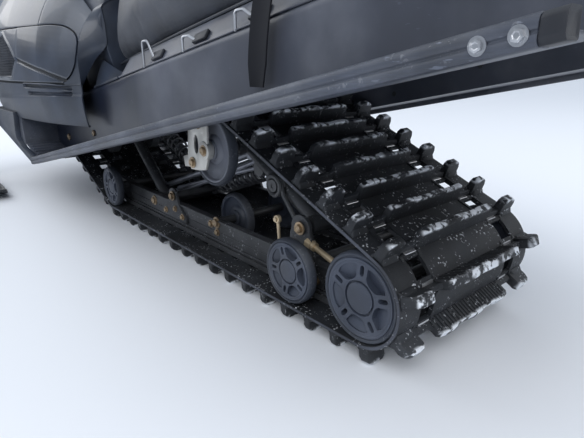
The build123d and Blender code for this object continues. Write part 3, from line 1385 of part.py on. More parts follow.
def build_nodes():
    """Every piece of the machine by name, as a list of solids."""
    nodes = {
        "track": track(),
        "rails": both_sides(rail()),
        "slide_shoes": both_sides(slide_shoe()),
        "rear_wheels": wheel_pair("rear", REAR_WHEEL_RADIUS, WHEEL_FACE_Y, True),
        "second_wheels": wheel_pair("second", SMALL_WHEEL_RADIUS, WHEEL_FACE_Y, True),
        "front_wheels": wheel_pair("front", SMALL_WHEEL_RADIUS, WHEEL_FACE_Y, True),
        "inner_wheels": wheel_pair("idler", SMALL_WHEEL_RADIUS, INNER_WHEEL_FACE_Y, False),
        "carrier_wheels": wheel_pair("carrier", CARRIER_WHEEL_RADIUS, WHEEL_FACE_Y, False),
        "cross_shafts": cross_shafts(),
        "drive_sprockets": driver_sprockets(),
        "front_arm": front_arm(),
        "rear_arm": rear_arm(),
        "skid_shocks": [*skid_shocks(), *coupling_rods()],
        "torsion_springs": torsion_springs(),
        "rail_brackets": rail_brackets(),
        "hangers": hangers(),
        "tunnel": tunnel(),
        "boards": both_sides(board()),
        "beam_end_caps": both_sides(board_end_cap()),
        "rear_bumper": rear_bumper(),
        "snow_flap": snow_flap(),
        "cooler": cooler(),
        "seat_base": seat_base(),
        "seat_cushion": seat_cushion(),
        "tail_lamp": tail_lamp(),
        "console": console(),
        "cowl": cowl(),
        "hood": hood(),
        "hood_side_left": [hood_side()],
        "hood_side_right": [mirrored(hood_side())],
        "belly_pan": belly_pan(),
        "pan_side_left": [pan_side()],
        "pan_side_right": [mirrored(pan_side())],
        "side_panel_left": [side_panel()],
        "side_panel_right": [mirrored(side_panel())],
        "windshield": windshield(),
        "dash": dash(),
        "headlamps": headlamps(),
        "front_bumper": front_bumper(),
        "engine_block": engine_block(),
        "front_frame": frame_front(),
        "wishbones": [side for arm in wishbones() for side in both_sides(arm)],
        "front_shocks": both_sides(front_shock()),
        "steering_column": steering_column(),
        "handlebar": handlebar(),
        "grips": grips(),
        "hand_controls": hand_controls(),
        "spindle_left": [spindle()],
        "spindle_right": [mirrored(spindle())],
        "tie_rod_left": [tie_rod()],
        "tie_rod_right": [mirrored(tie_rod())],
        "ski_left": [ski()],
        "ski_right": [mirrored(ski())],
        "strap": strap(),
    }
    return nodes


def write_parts():
    """Move each node to the shared origin and write it."""
    os.makedirs("parts", exist_ok=True)
    for name, shapes in build_nodes().items():
        solids = [solid for shape in shapes for solid in shape.solids()]
        node = Compound(solids).moved(Location((-ORIGIN_STATION, 0, 0)))
        export_step(node, f"parts/{name}.step")


write_parts()
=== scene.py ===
"""Dressed model of a snowmobile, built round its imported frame.

Pieces are modelled in millimetres. A station is a distance forward of the rear axle, y runs to the left of
the middle plane and heights run up from the floor. When a piece is placed, its mesh is moved to the shared
frame, in metres.
"""

import logging
import math
from contextlib import contextmanager
from dataclasses import dataclass, replace
from enum import Enum
from typing import Callable, Iterator, Sequence

import bmesh
import bpy
import numpy as np
from mathutils import Matrix, Vector, noise


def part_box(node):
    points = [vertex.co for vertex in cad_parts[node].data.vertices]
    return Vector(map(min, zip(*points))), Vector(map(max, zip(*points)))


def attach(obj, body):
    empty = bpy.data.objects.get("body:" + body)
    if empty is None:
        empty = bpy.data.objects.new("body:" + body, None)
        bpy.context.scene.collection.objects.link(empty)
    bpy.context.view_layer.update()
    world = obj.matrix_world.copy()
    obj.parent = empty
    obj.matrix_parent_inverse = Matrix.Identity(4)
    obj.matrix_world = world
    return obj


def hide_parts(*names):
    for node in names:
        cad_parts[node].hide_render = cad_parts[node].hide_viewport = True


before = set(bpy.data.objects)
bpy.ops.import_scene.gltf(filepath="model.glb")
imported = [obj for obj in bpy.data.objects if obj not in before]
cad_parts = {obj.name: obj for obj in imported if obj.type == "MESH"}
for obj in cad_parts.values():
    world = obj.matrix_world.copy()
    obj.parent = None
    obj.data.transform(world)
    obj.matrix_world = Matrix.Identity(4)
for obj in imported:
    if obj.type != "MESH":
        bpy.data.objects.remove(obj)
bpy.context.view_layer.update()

MM = 0.001
ORIGIN_STATION = 1060
LOG = logging.getLogger("snowmobile")
Object = bpy.types.Object
Flat = tuple[float, float]
Spot = tuple[float, float, float]


class Axis(Enum):
    """A direction of the shared frame."""

    X = (1, 0, 0)
    Y = (0, 1, 0)
    Z = (0, 0, 1)


# Shader maths


class Value:
    """A socket that takes part in shader maths."""

    def __init__(self, bench: "ShaderBench", socket: bpy.types.NodeSocket) -> None:
        """Keep the socket and the bench that its tree belongs to."""
        self.bench = bench
        self.socket = socket

    def _maths(self, operation: str, first: object, second: object) -> "Value":
        """Result of a Math node on two values or numbers."""
        return self.bench.node("ShaderNodeMath", {"operation": operation}, {0: first, 1: second})

    def __add__(self, other: object) -> "Value":
        """Sum."""
        return self._maths("ADD", self, other)

    def __radd__(self, other: object) -> "Value":
        """Sum with a number first."""
        return self._maths("ADD", other, self)

    def __sub__(self, other: object) -> "Value":
        """Difference."""
        return self._maths("SUBTRACT", self, other)

    def __mul__(self, other: object) -> "Value":
        """Product."""
        return self._maths("MULTIPLY", self, other)

    def __rmul__(self, other: object) -> "Value":
        """Product with a number first."""
        return self._maths("MULTIPLY", other, self)


class ShaderBench:
    """A material or world that is being put together."""

    def __init__(self, block: bpy.types.Material | bpy.types.World) -> None:
        """Start with no nodes."""
        self.block = block
        block.use_nodes = True
        self.tree = block.node_tree
        self.tree.nodes.clear()
        self.place = self.node("ShaderNodeTexCoord", {}, {}, "Object")

    def node(self, kind: str, settings: dict, inputs: dict, output: object = 0) -> Value | None:
        """Add one node.

        Args:
            kind: The node's type.
            settings: Properties that are set before anything is linked.
            inputs: Values or numbers by socket name or place.
            output: Name or place of the socket to hand on.

        Returns:
            The chosen output, or nothing where the node has none.
        """
        node = self.tree.nodes.new(kind)
        for key, setting in settings.items():
            setattr(node, key, setting)
        for key, given in inputs.items():
            if isinstance(given, Value):
                self.tree.links.new(given.socket, node.inputs[key])
            else:
                node.inputs[key].default_value = given
        return Value(self, node.outputs[output]) if len(node.outputs) else None

    def noise(self, scale: float, detail: float = 3, stretch: Spot = (1, 1, 1)) -> Value:
        """Add cloudy noise.

        Args:
            scale: Clouds per metre.
            detail: How many finer layers it has.
            stretch: Scale on each axis.

        Returns:
            The noise, from 0 to 1.
        """
        place = self.node("ShaderNodeMapping", {}, {"Vector": self.place, "Scale": stretch})
        return self.node("ShaderNodeTexNoise", {}, {"Vector": place, "Scale": scale, "Detail": detail})

    def step(self, value: Value, low: float, high: float) -> Value:
        """Rise smoothly from 0 to 1 as a value goes from low to high."""
        return self.node("ShaderNodeMapRange", {"interpolation_type": "SMOOTHSTEP"},
                         {"Value": value, "From Min": low, "From Max": high})

    def mix(self, share: object, first: object, second: object) -> Value:
        """Mix two colours, the second by the given share."""
        return self.node("ShaderNodeMix", {"data_type": "RGBA"}, {0: share, 6: first, 7: second}, 2)

    def capped(self, value: Value) -> Value:
        """A value, or 1 where it is more."""
        return self.node("ShaderNodeMath", {"operation": "MINIMUM"}, {0: value, 1: 1})

    def part(self, vector: Value, axis: Axis) -> Value:
        """One coordinate of a vector."""
        return self.node("ShaderNodeSeparateXYZ", {}, {0: vector}, axis.name)

    def upward(self) -> Value:
        """How far a face looks up, from -1 to 1."""
        return self.part(self.node("ShaderNodeNewGeometry", {}, {}, "Normal"), Axis.Z)

    def attribute(self, name: str) -> Value:
        """A number that the mesh carries."""
        return self.node("ShaderNodeAttribute", {"attribute_name": name}, {}, "Fac")


def shade(grey: float, tint: Spot = (0, 0, 0)) -> tuple[float, float, float, float]:
    """A grey with a little colour added to it."""
    return (grey + tint[0], grey + tint[1], grey + tint[2], 1)


# Painted sky light: a little blue added to dark colours for the blue cast that the sky's light gives them.
SKY_CAST = (0, 0.002, 0.006)


@dataclass(frozen=True)
class Finish:
    """How a surface looks: its colour, gloss and wear, with some painted light: lighter edges and a pale
    film that is strongest on faces that look up.
    """

    slot: str
    colour: tuple[float, float, float, float]
    roughness: float = 0.45
    metallic: float = 0
    coat: float = 0
    spread: float = 0.14
    cloud_scale: float = 11
    cloud: float = 0.30
    grain_scale: float = 900
    grain: float = 0
    brushed: Axis | None = None
    scratch: float = 0
    # Pale film laid on by noise and strongest on faces that look up: it is dust, and on the tunnel's top it
    # is also a painted reflection of the sky.
    dust: float = 0
    dust_colour: tuple[float, float, float, float] = (0.30, 0.31, 0.33, 1)
    snow: float = 0
    ripple: float = 0
    tipped: bool = False
    # Place along x, in metres, behind which the pale film is stronger, so the piece is paler towards its
    # rear.
    dusty_behind: float | None = None
    worn_colour: tuple[float, float, float, float] | None = None
    transmission: float = 0
    sheen: float = 0
    specular: float = 0.5

    def material(self) -> bpy.types.Material:
        """Build the material, once for each finish.

        Returns:
            The material, named after the slot.
        """
        key = f"finish_{self.slot}_{self.tag()}"
        kept = bpy.data.materials.get(key)
        return kept if kept else self._build(key)

    def tag(self) -> str:
        """Short text that tells finishes of one slot apart."""
        red, green, blue, _ = self.colour
        parts = (red * 999, green * 999, blue * 999, self.roughness * 99, self.snow * 99)
        return "_".join(str(int(part)) for part in parts)

    def worn(self) -> "Finish":
        """The same finish made lighter for bevelled edges: rubbed-through wear, and partly a painted
        highlight.
        """
        bright = self.worn_colour or tuple(min(1, part * 2.1 + 0.02) for part in self.colour[:3]) + (1,)
        return replace(self, colour=bright, roughness=max(0.25, self.roughness - 0.08))

    def _build(self, name: str) -> bpy.types.Material:
        """Put the nodes together.

        Args:
            name: The material's name.

        Returns:
            The material.
        """
        bench = ShaderBench(bpy.data.materials.new(name))
        clouds = bench.noise(self.cloud_scale, 4)
        fine = bench.noise(self.cloud_scale * 14, 3)
        dark = tuple(part * (1 - self.cloud) for part in self.colour[:3]) + (1,)
        light = tuple(min(1, part * (1 + self.cloud)) for part in self.colour[:3]) + (1,)
        colour = bench.mix(bench.step(clouds, 0.3, 0.7), dark, light)
        rough = self.roughness - self.spread * 0.5 + self.spread * clouds + 0.06 * fine
        heights = []
        if self.brushed:
            lines = tuple(4 if part else 160 for part in self.brushed.value)
            strokes = bench.noise(5, 2, lines)
            rough = rough + 0.16 * (strokes - 0.5)
            colour = bench.mix(0.22 * bench.step(strokes, 0.35, 0.7), colour, shade(self.colour[0] * 0.55))
        if self.scratch:
            slim = bench.noise(7, 3, (9, 9, 34))
            marks = bench.step(slim, 0.66, 0.72) * bench.step(bench.noise(16, 2), 0.42, 0.6)
            pale = tuple(min(1, part * 2.6 + 0.05) for part in self.colour[:3]) + (1,)
            colour = bench.mix(self.scratch * marks, colour, pale)
            rough = rough + 0.18 * marks
        if self.dust:
            # The film is strongest on faces that look up: settled dust, and partly a painted sky reflection.
            upper = 0.55 + 0.45 * bench.step(bench.upward(), -0.2, 0.9)
            film = bench.step(bench.noise(6, 5), 0.40, 0.72) * upper
            # The film is faint ahead of a place along x and strong behind it, so the rear is paler.
            if self.dusty_behind is not None:
                edge = self.dusty_behind
                behind = bench.step(bench.part(bench.place, Axis.X), edge + 0.06, edge)
                film = film * (0.12 + 0.88 * behind) + 0.45 * behind
            film = bench.capped(film * self.dust)
            colour = bench.mix(film, colour, self.dust_colour)
            rough = rough + 0.25 * film
        if self.snow:
            flakes = bench.step(bench.noise(210, 4), 0.60, 0.64)
            patches = bench.step(bench.noise(38, 3), 0.46, 0.60)
            lean = bench.step(bench.upward(), -0.55, 0.5)
            crust = self.snow * flakes * patches * (0.25 + 0.75 * lean)
            if self.tipped:
                tips = bench.step(bench.attribute("tip"), 0.72, 0.97)
                fields = bench.step(bench.noise(21, 2), 0.36, 0.52)
                clumps = bench.step(bench.noise(75, 5), 0.42, 0.56) * fields
                crust = 0.45 * crust + self.snow * 1.5 * tips * clumps
            crust = bench.capped(crust)
            colour = bench.mix(crust, colour, (0.84, 0.87, 0.92, 1))
            rough = rough + 0.35 * crust
            heights.append((crust, 0.0012))
        if self.grain:
            heights.append((bench.noise(self.grain_scale, 2), self.grain * MM))
        if self.ripple:
            heights.append((bench.noise(7.5, 1), self.ripple * MM))
        inputs = {"Base Color": colour, "Roughness": rough, "Metallic": self.metallic,
                  "Coat Weight": self.coat, "Specular IOR Level": self.specular}
        if self.transmission:
            inputs["Transmission Weight"] = self.transmission
        if self.sheen:
            inputs["Sheen Weight"] = self.sheen
        normal = None
        for height, depth in heights:
            given = {"Height": height, "Strength": 1, "Distance": depth}
            if normal:
                given["Normal"] = normal
            normal = bench.node("ShaderNodeBump", {}, given)
        if normal:
            inputs["Normal"] = normal
        shader = bench.node("ShaderNodeBsdfPrincipled", {}, inputs)
        bench.node("ShaderNodeOutputMaterial", {}, {0: shader})
        return bench.block


# The blue in the dark colours below is a painted cast of the sky's light, added to their own colours.
RUBBER = Finish("track_rubber", shade(0.013, SKY_CAST), 0.58, grain=0.5, snow=0.8, dust=0.10, cloud=0.4)
LUG_RUBBER = replace(RUBBER, snow=1, tipped=True)
EDGE_RUBBER = replace(RUBBER, colour=(0.045, 0.050, 0.066, 1), snow=0.5)
TRACK_STEEL = Finish("track_rubber", (0.62, 0.62, 0.63, 1), 0.34, metallic=1, scratch=0.3)
RAIL = Finish("rail_paint", shade(0.030, SKY_CAST), 0.40, scratch=0.5, dust=0.20, snow=0.35, grain=0.08)
RUNNER = Finish("slide_plastic", shade(0.045, SKY_CAST), 0.5, scratch=0.4, snow=0.3)
WHEEL = Finish("wheel_plastic", (0.042, 0.051, 0.074, 1), 0.46, grain=0.10, dust=0.22, scratch=0.25)
TYRE = Finish("wheel_plastic", (0.028, 0.034, 0.048, 1), 0.62, grain=0.15, dust=0.25, snow=0.10)
DISC = Finish("wheel_plastic", (0.15, 0.16, 0.19, 1), 0.46, grain=0.10, dust=0.2, scratch=0.2)
GOLD = Finish("zinc_gold", (0.33, 0.25, 0.165, 1), 0.42, metallic=0.75, cloud=0.45, scratch=0.3, dust=0.2)
PALE_GOLD = Finish("zinc_gold", (0.52, 0.42, 0.28, 1), 0.5, metallic=0.6, cloud=0.45, scratch=0.3, dust=0.3)
STEEL = Finish("shock_steel", (0.42, 0.43, 0.45, 1), 0.30, metallic=0.95, scratch=0.3)
ARM = Finish("arm_paint", shade(0.035, SKY_CAST), 0.36, scratch=0.3, dust=0.15, snow=0.15)
ROD = Finish("spring_steel", (0.20, 0.21, 0.24, 1), 0.30, metallic=0.6, scratch=0.3, dust=0.2)
SPRING = Finish("spring_steel", shade(0.045, SKY_CAST), 0.42, scratch=0.3, dust=0.2)
ALLOY = Finish("bare_alloy", (0.50, 0.49, 0.46, 1), 0.40, metallic=0.6, cloud=0.30, scratch=0.25,
               grain=0.12, dust=0.4, dust_colour=(0.16, 0.13, 0.10, 1))
TUNNEL = Finish("tunnel_paint", (0.012, 0.016, 0.030, 1), 0.30, spread=0.22, dust=0.75, scratch=0.5,
                ripple=1.2, dust_colour=(0.145, 0.155, 0.185, 1), coat=0.05, dusty_behind=-0.42,
                specular=0.30)
SHOULDER = Finish("tunnel_paint", (0.040, 0.047, 0.068, 1), 0.36, spread=0.22, dust=0.3,
                  scratch=0.3, ripple=0.6)
BOARD = Finish("board_paint", (0.052, 0.060, 0.082, 1), 0.42, dust=0.35, scratch=0.6,
               brushed=Axis.X, snow=0.1)
CAP = Finish("cap_plastic", (0.010, 0.012, 0.018, 1), 0.5, grain=0.10, dust=0.2)
TUBE = Finish("tube_paint", shade(0.028, SKY_CAST), 0.26, scratch=0.2, dust=0.12, coat=0.2)
FLAP = Finish("flap_rubber", shade(0.030, SKY_CAST), 0.6, grain=0.2, dust=0.3, snow=0.35)
COOLER = Finish("cooler_alloy", (0.62, 0.62, 0.60, 1), 0.46, metallic=0.6, cloud=0.3, brushed=Axis.X)
SEAT_SHELL = Finish("seat_plastic", (0.022, 0.027, 0.038, 1), 0.52, grain=0.2, dust=0.2)
VINYL = Finish("seat_vinyl", (0.026, 0.031, 0.044, 1), 0.46, grain=0.22, grain_scale=620,
               dust=0.16, sheen=0.1)
BODY = Finish("body_plastic", (0.018, 0.026, 0.044, 1), 0.32, spread=0.10, coat=0.22, dust=0.14,
              dust_colour=(0.22, 0.23, 0.25, 1))
BODY_DULL = Finish("body_plastic", (0.022, 0.030, 0.048, 1), 0.42, grain=0.15, dust=0.2)
PAN = Finish("pan_plastic", (0.028, 0.034, 0.050, 1), 0.44, grain=0.12, dust=0.25, snow=0.12)
DASH = Finish("dash_plastic", (0.024, 0.028, 0.038, 1), 0.55, grain=0.18)
LENS = Finish("lamp_lens", (0.86, 0.88, 0.90, 1), 0.06, transmission=0.9, spread=0.02, cloud=0.03)
REFLECTOR = Finish("lamp_lens", (0.85, 0.86, 0.88, 1), 0.14, metallic=1, cloud=0.05)
TAIL = Finish("tail_lens", (0.45, 0.012, 0.012, 1), 0.18, coat=0.4, cloud=0.2)
SCREEN = Finish("smoked_screen", (0.20, 0.21, 0.23, 1), 0.06, transmission=0.92, spread=0.03, cloud=0.08)
ENGINE = Finish("engine_alloy", shade(0.24), 0.5, metallic=0.5, dust=0.3)
FRAME_PAINT = Finish("frame_paint", shade(0.040, SKY_CAST), 0.42, scratch=0.3, dust=0.2)
# Dark grip rubber, on grips and trim, and also as painted shade in the body's recesses and gaps.
GRIP_AND_SHADE = Finish("grip_rubber", shade(0.026, SKY_CAST), 0.62, grain=0.15)
CAST = Finish("frame_paint", (0.10, 0.105, 0.115, 1), 0.46, metallic=0.4, grain=0.25, scratch=0.3, dust=0.2)
COIL_RED = Finish("spring_steel", (0.34, 0.018, 0.016, 1), 0.34, coat=0.3, scratch=0.15, dust=0.15)
DIAL = Finish("dash_plastic", shade(0.010), 0.30, cloud=0.1)
MARK = Finish("dash_plastic", (0.72, 0.73, 0.72, 1), 0.4, cloud=0.05)
SKI = Finish("ski_plastic", shade(0.036, SKY_CAST), 0.42, scratch=0.5, dust=0.15, snow=0.2)
WEBBING = Finish("webbing", (0.010, 0.011, 0.015, 1), 0.8, sheen=0.05, cloud=0.15, specular=0.2)


# Modelling tools


def only(obj: Object) -> None:
    """Make one object active, with everything else deselected."""
    if bpy.context.mode != "OBJECT":
        bpy.ops.object.mode_set(mode="OBJECT")
    bpy.ops.object.select_all(action="DESELECT")
    obj.select_set(True)
    bpy.context.view_layer.objects.active = obj


@contextmanager
def shaping(obj: Object, mode: str = "FACE", pick: Callable = lambda part: True) -> Iterator[None]:
    """Open a piece in edit mode with the picked parts selected.

    Args:
        obj: The piece.
        mode: VERT, EDGE or FACE.
        pick: Says for each vertex, edge or face whether it is selected.
    """
    only(obj)
    bpy.ops.object.mode_set(mode="EDIT")
    bpy.ops.mesh.select_mode(type=mode)
    bpy.ops.mesh.select_all(action="DESELECT")
    mesh = bmesh.from_edit_mesh(obj.data)
    for part in {"VERT": mesh.verts, "EDGE": mesh.edges, "FACE": mesh.faces}[mode]:
        if pick(part):
            part.select_set(True)
    mesh.select_flush_mode()
    bmesh.update_edit_mesh(obj.data)
    yield
    bpy.ops.object.mode_set(mode="OBJECT")


def outward(obj: Object, merge: float = 0.001) -> Object:
    """Merge doubles and turn every face outwards.

    Args:
        obj: The piece.
        merge: Distance under which points are one.

    Returns:
        The piece.
    """
    with shaping(obj, "VERT"):
        bpy.ops.mesh.remove_doubles(threshold=merge)
        bpy.ops.mesh.normals_make_consistent(inside=False)
    return obj


def modified(obj: Object, kind: str, **settings: object) -> Object:
    """Add a modifier and apply it.

    Args:
        obj: The piece.
        kind: The modifier's type.
        **settings: The modifier's properties.

    Returns:
        The piece.
    """
    only(obj)
    modifier = obj.modifiers.new(kind.title(), kind)
    for key, setting in settings.items():
        setattr(modifier, key, setting)
    bpy.ops.object.modifier_apply(modifier=modifier.name)
    return obj


def bevelled(obj: Object, width: float, segments: int = 2, angle: float = 32) -> Object:
    """Round the sharp edges of a piece, as its second material where it has one."""
    return modified(obj, "BEVEL", width=width, segments=segments, limit_method="ANGLE", material=1,
                    angle_limit=math.radians(angle), use_clamp_overlap=True)


def thick(obj: Object, thickness: float, offset: float = -1) -> Object:
    """Thicken an open patch, inwards unless the offset says otherwise."""
    return modified(obj, "SOLIDIFY", thickness=thickness, offset=offset)


def removed(obj: Object, tool: Object) -> Object:
    """Take another shape, which is used up, away from a piece."""
    modified(obj, "BOOLEAN", object=tool, operation="DIFFERENCE", solver="EXACT")
    bpy.data.objects.remove(tool)
    return obj


def sunk(obj: Object, way: Spot, rim: float, move: float) -> Object:
    """Inset the faces that look one way and move them along it.

    Args:
        obj: The piece.
        way: The direction.
        rim: Width of the rim that is left round them.
        move: How far they go, below zero for a recess.

    Returns:
        The piece.
    """
    way = Vector(way)
    with shaping(obj, "FACE", lambda face: face.normal.dot(way) > 0.9):
        bpy.ops.mesh.inset(thickness=rim)
        bpy.ops.transform.translate(value=way * move)
    return obj


def facing(obj: Object, way: Spot | None = None) -> Object:
    """Turn an open patch to look one way, or else away from the body's middle."""
    middle = Vector((1500, 0, 430))
    score = sum(face.normal.dot(Vector(way) if way else face.center - middle) * face.area
                for face in obj.data.polygons)
    if score < 0:
        obj.data.flip_normals()
    return obj


def cube(low: Spot, high: Spot) -> Object:
    """Add a block between two corners."""
    bpy.ops.mesh.primitive_cube_add(size=1)
    obj = bpy.context.active_object
    low, high = Vector(low), Vector(high)
    obj.data.transform(Matrix.LocRotScale((low + high) / 2, None, high - low))
    return obj


def turned_to(start: Vector, end: Vector) -> Matrix:
    """Placing that stands +Z of a piece along a line, its middle at the line's middle."""
    return Matrix.LocRotScale((start + end) / 2, (end - start).to_track_quat("Z", "Y"), None)


def drum(start: Spot, end: Spot, radius: float, sides: int = 32) -> Object:
    """Add a round bar from the middle of one end to the middle of the other."""
    start, end = Vector(start), Vector(end)
    bpy.ops.mesh.primitive_cone_add(vertices=sides, radius1=radius, radius2=radius,
                                    depth=(end - start).length)
    obj = bpy.context.active_object
    obj.data.transform(turned_to(start, end))
    return obj


def plate(axis: Axis, outline: Sequence[Flat], low: float, high: float) -> Object:
    """Add a flat piece: a circle shaped to an outline, then extruded.

    Args:
        axis: The direction that it is thick in.
        outline: Its corners, in the other two directions.
        low: Where it starts along the axis.
        high: Where it ends along the axis.

    Returns:
        The new piece.
    """
    lay = {Axis.X: lambda u, v: (low, u, v), Axis.Y: lambda u, v: (u, low, v),
           Axis.Z: lambda u, v: (u, v, low)}
    bpy.ops.mesh.primitive_circle_add(vertices=len(outline), fill_type="NGON")
    obj = bpy.context.active_object
    for vertex, spot in zip(obj.data.vertices, outline):
        vertex.co = lay[axis](*spot)
    move = Vector(axis.value) * (high - low)
    with shaping(obj):
        bpy.ops.mesh.extrude_region_move(TRANSFORM_OT_translate={"value": move})
    return outward(obj)


def lathe(profile: Sequence[Flat], start: Spot, way: Spot, sides: int = 48) -> Object:
    """Add a turned piece by spinning a closed profile.

    Args:
        profile: Radius and distance along the axis of each corner.
        start: The point that distances are measured from.
        way: Direction of the axis.
        sides: Number of steps round it.

    Returns:
        The new piece.
    """
    start, way = Vector(start), Vector(way).normalized()
    out = way.orthogonal().normalized()
    bpy.ops.mesh.primitive_circle_add(vertices=len(profile), fill_type="NOTHING")
    obj = bpy.context.active_object
    for vertex, (radius, along) in zip(obj.data.vertices, profile):
        vertex.co = start + out * radius + way * along
    with shaping(obj, "VERT"):
        bpy.ops.mesh.spin(steps=sides, angle=math.tau, center=start, axis=way)
    return outward(obj)


def filleted(points: Sequence[Spot], bend: float, steps: int = 6) -> list[Vector]:
    """Round the corners of a path.

    Args:
        points: The path's corners.
        bend: Radius of each bend.
        steps: Number of points on each bend.

    Returns:
        The rounded path.
    """
    spots = [Vector(point) for point in points]
    path = [spots[0]]
    for before, corner, after in zip(spots, spots[1:], spots[2:]):
        back, ahead = (before - corner), (after - corner)
        turn = math.pi - back.angle(ahead)
        reach = min(bend * math.tan(turn / 2), back.length * 0.48, ahead.length * 0.48)
        first, last = corner + back.normalized() * reach, corner + ahead.normalized() * reach
        for step in range(steps + 1):
            share = step / steps
            path.append(first * (1 - share) ** 2 + corner * 2 * share * (1 - share) + last * share ** 2)
    path.append(spots[-1])
    return path


def tube(points: Sequence[Spot], radius: float, bend: float = 0, sides: int = 12,
         closed: bool = False) -> Object:
    """Add a round tube along a path.

    Args:
        points: The path's corners.
        radius: Radius of the tube.
        bend: Radius of its bends.
        sides: Number of flats round it.
        closed: Whether the path is a ring.

    Returns:
        The new piece.
    """
    path = filleted(points, bend) if bend else [Vector(point) for point in points]
    curve = bpy.data.curves.new("run", "CURVE")
    curve.dimensions = "3D"
    curve.bevel_depth = radius
    curve.bevel_resolution = max(1, sides // 4)
    curve.use_fill_caps = not closed
    spline = curve.splines.new("POLY")
    spline.points.add(len(path) - 1)
    spline.use_cyclic_u = closed
    for point, spot in zip(spline.points, path):
        point.co = (*spot, 1)
    obj = bpy.data.objects.new("run", curve)
    bpy.context.collection.objects.link(obj)
    only(obj)
    bpy.ops.object.convert(target="MESH")
    return outward(bpy.context.active_object)


def coil(start: Spot, end: Spot, radius: float, wire: float, turns: float, per_turn: int = 20) -> Object:
    """Add a coil of wire.

    Args:
        start: Middle of its first turn.
        end: Middle of its last turn.
        radius: Radius to the middle of the wire.
        wire: Radius of the wire.
        turns: Number of turns.
        per_turn: Number of points on each turn.

    Returns:
        The new piece.
    """
    start, end = Vector(start), Vector(end)
    stand = turned_to(start, end)
    length = (end - start).length
    count = int(turns * per_turn)
    points = []
    for step in range(count + 1):
        turn, rise = math.tau * turns * step / count, length * (step / count - 0.5)
        points.append(stand @ Vector((radius * math.cos(turn), radius * math.sin(turn), rise)))
    return tube(points, wire, sides=8)


def gridded(columns: int, rows: int, spot: Callable[[float, float], Spot]) -> Object:
    """Add a grid primitive and lay it over a surface.

    Args:
        columns: Number of cells one way.
        rows: Number of cells the other way.
        spot: The surface's point for two shares from 0 to 1.

    Returns:
        The new piece.
    """
    bpy.ops.mesh.primitive_grid_add(x_subdivisions=columns, y_subdivisions=rows, size=1)
    obj = bpy.context.active_object
    for vertex in obj.data.vertices:
        vertex.co = spot(min(1, max(0, vertex.co.x + 0.5)), min(1, max(0, vertex.co.y + 0.5)))
    return obj


def loft(sections: Sequence[Sequence[Spot]]) -> Object:
    """Add a closed form through sections of equally many points, capped at both ends."""
    count = len(sections[0])
    bpy.ops.mesh.primitive_cylinder_add(vertices=count, end_fill_type="NGON")
    obj = bpy.context.active_object
    mesh = bmesh.new()
    rings = [[mesh.verts.new(spot) for spot in section] for section in sections]
    for first, second in zip(rings, rings[1:]):
        for k in range(count):
            mesh.faces.new((first[k], first[(k + 1) % count], second[(k + 1) % count], second[k]))
    mesh.faces.new(list(reversed(rings[0])))
    mesh.faces.new(rings[-1])
    mesh.to_mesh(obj.data)
    mesh.free()
    return outward(obj)


def joined(pieces: Sequence[Object]) -> Object:
    """Join pieces to the first one."""
    only(pieces[0])
    for piece in pieces[1:]:
        piece.select_set(True)
    if len(pieces) > 1:
        bpy.ops.object.join()
    return pieces[0]


def copied(obj: Object, move: Matrix) -> Object:
    """A moved copy with its own mesh, turned outwards again where the move mirrors it."""
    twin = obj.copy()
    twin.data = obj.data.copy()
    bpy.context.collection.objects.link(twin)
    twin.data.transform(move)
    if move.determinant() < 0:
        twin.data.flip_normals()
    return twin


MIRROR = Matrix.Diagonal((1, -1, 1, 1))


def both(obj: Object) -> Object:
    """A piece joined with its mirror image."""
    return joined([obj, copied(obj, MIRROR)])


def moved(obj: Object, move: Matrix) -> Object:
    """Move a piece's mesh, turned outwards again where the move mirrors it."""
    obj.data.transform(move)
    if move.determinant() < 0:
        obj.data.flip_normals()
    return obj


def stamped(master: Object, moves: Sequence[Matrix]) -> Object:
    """Join copies of one small piece, which is used up.

    Args:
        master: The piece.
        moves: Placing of each copy.

    Returns:
        The joined piece.
    """
    source = master.data
    count, loops, faces = len(source.vertices), len(source.loops), len(source.polygons)
    spots = np.empty(count * 3)
    source.vertices.foreach_get("co", spots)
    corners = np.empty(loops, dtype=np.int32)
    source.loops.foreach_get("vertex_index", corners)
    starts = np.empty(faces, dtype=np.int32)
    source.polygons.foreach_get("loop_start", starts)
    spots = np.c_[spots.reshape(-1, 3), np.ones(count)]
    mesh = bpy.data.meshes.new("stamped")
    total = len(moves)
    mesh.vertices.add(count * total)
    mesh.loops.add(loops * total)
    mesh.polygons.add(faces * total)
    moved_spots = [(spots @ np.array(move).T)[:, :3].ravel() for move in moves]
    mesh.vertices.foreach_set("co", np.concatenate(moved_spots))
    mesh.loops.foreach_set("vertex_index", np.concatenate([corners + count * k for k in range(total)]))
    mesh.polygons.foreach_set("loop_start", np.concatenate([starts + loops * k for k in range(total)]))
    mesh.update(calc_edges=True)
    if moves and moves[0].determinant() < 0:
        mesh.flip_normals()
    obj = bpy.data.objects.new("stamped", mesh)
    bpy.context.collection.objects.link(obj)
    bpy.data.objects.remove(master)
    return obj


def bolt(radius: float, height: float) -> Object:
    """Add a flanged hex bolt head that stands on the floor plane, along +Z."""
    bpy.ops.mesh.primitive_cylinder_add(vertices=24, radius=radius * 1.45, depth=height * 0.3)
    washer = bpy.context.active_object
    washer.data.transform(Matrix.Translation((0, 0, height * 0.15)))
    bpy.ops.mesh.primitive_cylinder_add(vertices=6, radius=radius, depth=height * 0.75)
    head = bpy.context.active_object
    head.data.transform(Matrix.Translation((0, 0, height * 0.62)))
    with shaping(head, "FACE", lambda face: face.normal.z > 0.9):
        bpy.ops.mesh.inset(thickness=radius * 0.3)
        bpy.ops.transform.translate(value=(0, 0, height * 0.1))
        bpy.ops.mesh.inset(thickness=radius * 0.18)
        bpy.ops.transform.translate(value=(0, 0, -height * 0.12))
    return joined([head, washer])


